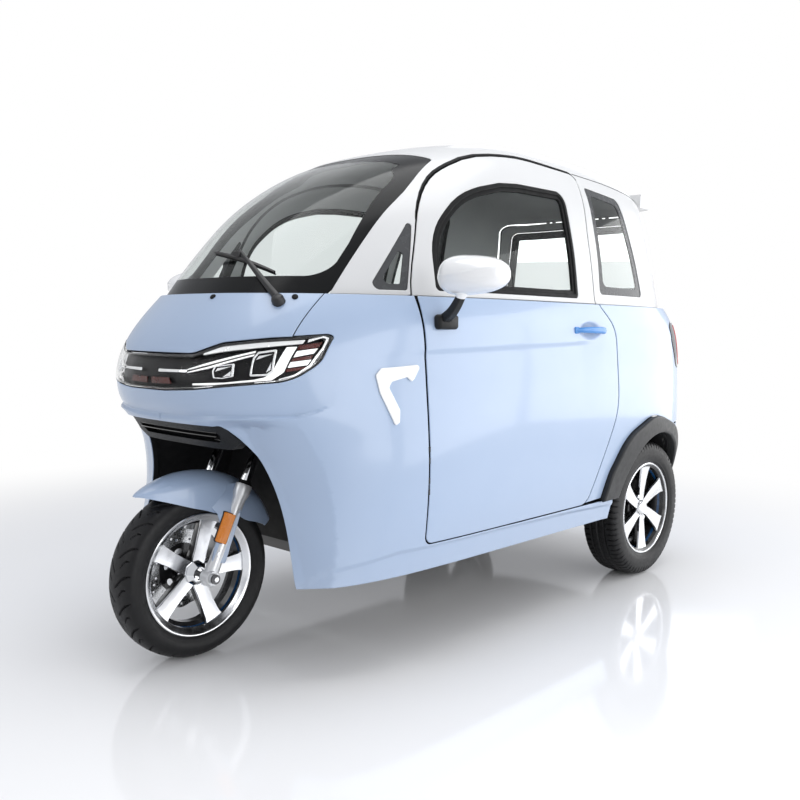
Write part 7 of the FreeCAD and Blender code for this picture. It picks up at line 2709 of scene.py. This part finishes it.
    def arch_seals(self) -> None:
        """The black weather strip over each door, widest at the top of the arch."""
        run = rounded(grown(DOOR, 7.4))
        run = run[(run[:, 1] > 1.19) & ((run[:, 0] > -0.2) | (run[:, 1] > 1.405))]
        run = run[np.argsort(-run[:, 0])]
        where = straight(UPPER, View.SIDE, *run)
        path = UPPER.point(*where.T) - 0.0012 * UPPER.normal(*where.T)
        share = np.linspace(0, 1, len(path))
        size = 0.35 + 0.9 * np.sin(np.pi * np.clip(share * 1.06, 0, 1)) ** 0.8
        profile = np.array([(-0.0050, -0.002), (0.0050, -0.002), (0.0042, 0.0022), (0.0016, 0.0031), (-0.0016, 0.0031),
                            (-0.0042, 0.0022)])
        strips = sweep(path, profile, up=UPPER.normal(*where.T), scale=size)
        piece("door_weather_strips", pair(strips), [SEAL_AND_GAP_SHADE], Body.SHELL, sharp=40.0)


# Studio
# ======
@dataclass
class Studio:
    """A pale floor that fades to white, soft light from above and the sides, and the camera."""

    eye: tuple[float, float, float] = (2.2735, 2.037, 0.899)
    yaw: float = 222.96
    pitch: float = -4.63
    roll: float = 0.68
    focal_pixels: float = 887.9
    frame_pixels: float = 800.0
    sensor: float = 36.0
    floor_reach: float = 60.0
    fade_from: float = 1.5
    fade_to: float = 3.4

    def build(self) -> None:
        """Makes the camera, the floor, the world and the lamps."""
        self.camera()
        self.floor()
        self.world()
        self.lamps()

    def camera(self) -> None:
        """Places the camera that took the picture's view."""
        yaw, pitch, roll = (math.radians(a) for a in (self.yaw, self.pitch, self.roll))
        ahead = Vector((math.cos(yaw) * math.cos(pitch), math.sin(yaw) * math.cos(pitch), math.sin(pitch)))
        right = Vector((math.sin(yaw), -math.cos(yaw), 0.0))
        up = right.cross(ahead)
        tilted_right = right * math.cos(roll) + up * math.sin(roll)
        tilted_up = -right * math.sin(roll) + up * math.cos(roll)
        lens = bpy.data.cameras.new("camera")
        lens.sensor_width = self.sensor
        lens.lens = self.sensor * self.focal_pixels / self.frame_pixels
        lens.clip_start = 0.02
        lens.clip_end = 200.0
        eye = bpy.data.objects.new("camera", lens)
        bpy.context.scene.collection.objects.link(eye)
        eye.rotation_mode = "QUATERNION"
        turn = np.array([tilted_right, tilted_up, -ahead]).T
        eye.rotation_quaternion = Matrix(turn.tolist()).to_quaternion()
        eye.location = self.eye
        bpy.context.scene.camera = eye

    def floor(self) -> None:
        """A wide glossy pale floor that fades to white away from the vehicle."""
        mesh = bpy.data.meshes.new("floor")
        reach = self.floor_reach
        mesh.from_pydata([(-reach, -reach, 0), (reach, -reach, 0), (reach, reach, 0), (-reach, reach, 0)], [],
                         [(0, 1, 2, 3)])
        thing = bpy.data.objects.new("floor", mesh)
        bpy.context.scene.collection.objects.link(thing)
        made = bpy.data.materials.new("studio_floor")
        made.use_nodes = True
        tree = made.node_tree
        shader = wire(tree, first_of(tree, "BSDF_PRINCIPLED"),
                      {"Base Color": (0.90, 0.90, 0.905, 1.0), "Roughness": 0.09, "Specular IOR Level": 0.55})
        place = tree.nodes.new("ShaderNodeTexCoord").outputs["Object"]
        length = tree.nodes.new("ShaderNodeVectorMath")
        length.operation = "LENGTH"
        wire(tree, length, {0: place})
        fade = tree.nodes.new("ShaderNodeMapRange")
        fade.interpolation_type = "SMOOTHSTEP"
        wire(tree, fade, {"From Min": self.fade_from, "From Max": self.fade_to, "Value": length.outputs["Value"]})
        white = node(tree, "ShaderNodeEmission", {"Color": (1.0, 1.0, 1.0, 1.0)})
        path = tree.nodes.new("ShaderNodeLightPath").outputs
        seen = self._sum(tree, "MAXIMUM", path["Is Camera Ray"], path["Is Glossy Ray"])
        both = self._sum(tree, "MAXIMUM", seen, path["Is Transmission Ray"])
        share = self._sum(tree, "MULTIPLY", both, fade.outputs["Result"])
        mix_to(tree, share, shader.outputs["BSDF"], white.outputs["Emission"], first_of(tree, "OUTPUT_MATERIAL"))
        mesh.materials.append(made)

    def world(self) -> None:
        """An even grey light that is white where it is looked at directly or through glass."""
        world = bpy.data.worlds.new("studio")
        bpy.context.scene.world = world
        world.use_nodes = True
        tree = world.node_tree
        dim = wire(tree, first_of(tree, "BACKGROUND"), {"Color": (0.93, 0.95, 1.0, 1.0), "Strength": 0.64})
        white = node(tree, "ShaderNodeBackground", {"Color": (1.0, 1.0, 1.0, 1.0)})
        path = tree.nodes.new("ShaderNodeLightPath").outputs
        seen = self._sum(tree, "MAXIMUM", path["Is Camera Ray"], path["Is Transmission Ray"])
        mix_to(tree, seen, dim.outputs["Background"], white.outputs["Background"], first_of(tree, "OUTPUT_WORLD"))

    def _sum(self, tree: bpy.types.NodeTree, operation: str, first: bpy.types.NodeSocket,
             second: bpy.types.NodeSocket) -> bpy.types.NodeSocket:
        """The larger or the product of two levels."""
        made = tree.nodes.new("ShaderNodeMath")
        made.operation = operation
        return wire(tree, made, {0: first, 1: second}).outputs["Value"]

    def lamps(self) -> None:
        """Large soft lamps: one overhead, three on the vehicle's left, one in front and one behind."""
        rows = [("overhead", (0.2, 0.3, 3.4), (0.0, 0.0, 0.6), (3.4, 2.2), 55.0),
                ("rear_left", (-4.9, 2.2, 1.5), (0.0, 0.4, 0.8), (3.4, 3.0), 80.0),
                ("side_left", (-2.6, 4.7, 1.5), (-0.2, 0.2, 0.8), (3.6, 3.0), 84.0),
                ("left", (1.1, 4.6, 1.5), (0.3, 0.0, 0.7), (3.0, 2.4), 62.0),
                ("front", (4.2, -1.2, 2.0), (0.4, 0.0, 0.6), (1.6, 1.8), 18.0),
                ("back", (-4.0, -1.6, 2.4), (-0.4, 0.0, 0.8), (2.4, 2.0), 20.0)]
        for name, place, target, size, power in rows:
            lamp = bpy.data.lights.new(name, "AREA")
            lamp.shape = "RECTANGLE"
            lamp.size, lamp.size_y = size
            lamp.energy = power
            thing = bpy.data.objects.new(name, lamp)
            bpy.context.scene.collection.objects.link(thing)
            thing.location = place
            aim = Vector(target) - Vector(place)
            thing.rotation_euler = aim.to_track_quat("-Z", "Y").to_euler()


def main() -> None:
    """Loads the frame, dresses it piece by piece and finishes."""
    logging.basicConfig(level=logging.INFO, format="%(message)s")
    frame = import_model()
    bpy.context.scene.view_settings.view_transform = "Standard"
    Studio().build()
    PaintedBody().build()
    Lamps().build()
    Glass().build()
    RunningGear().build()
    Cabin().build()
    Trim().build()
    dress_frame(frame["nodes"])


if __name__ == "__main__":
    main()
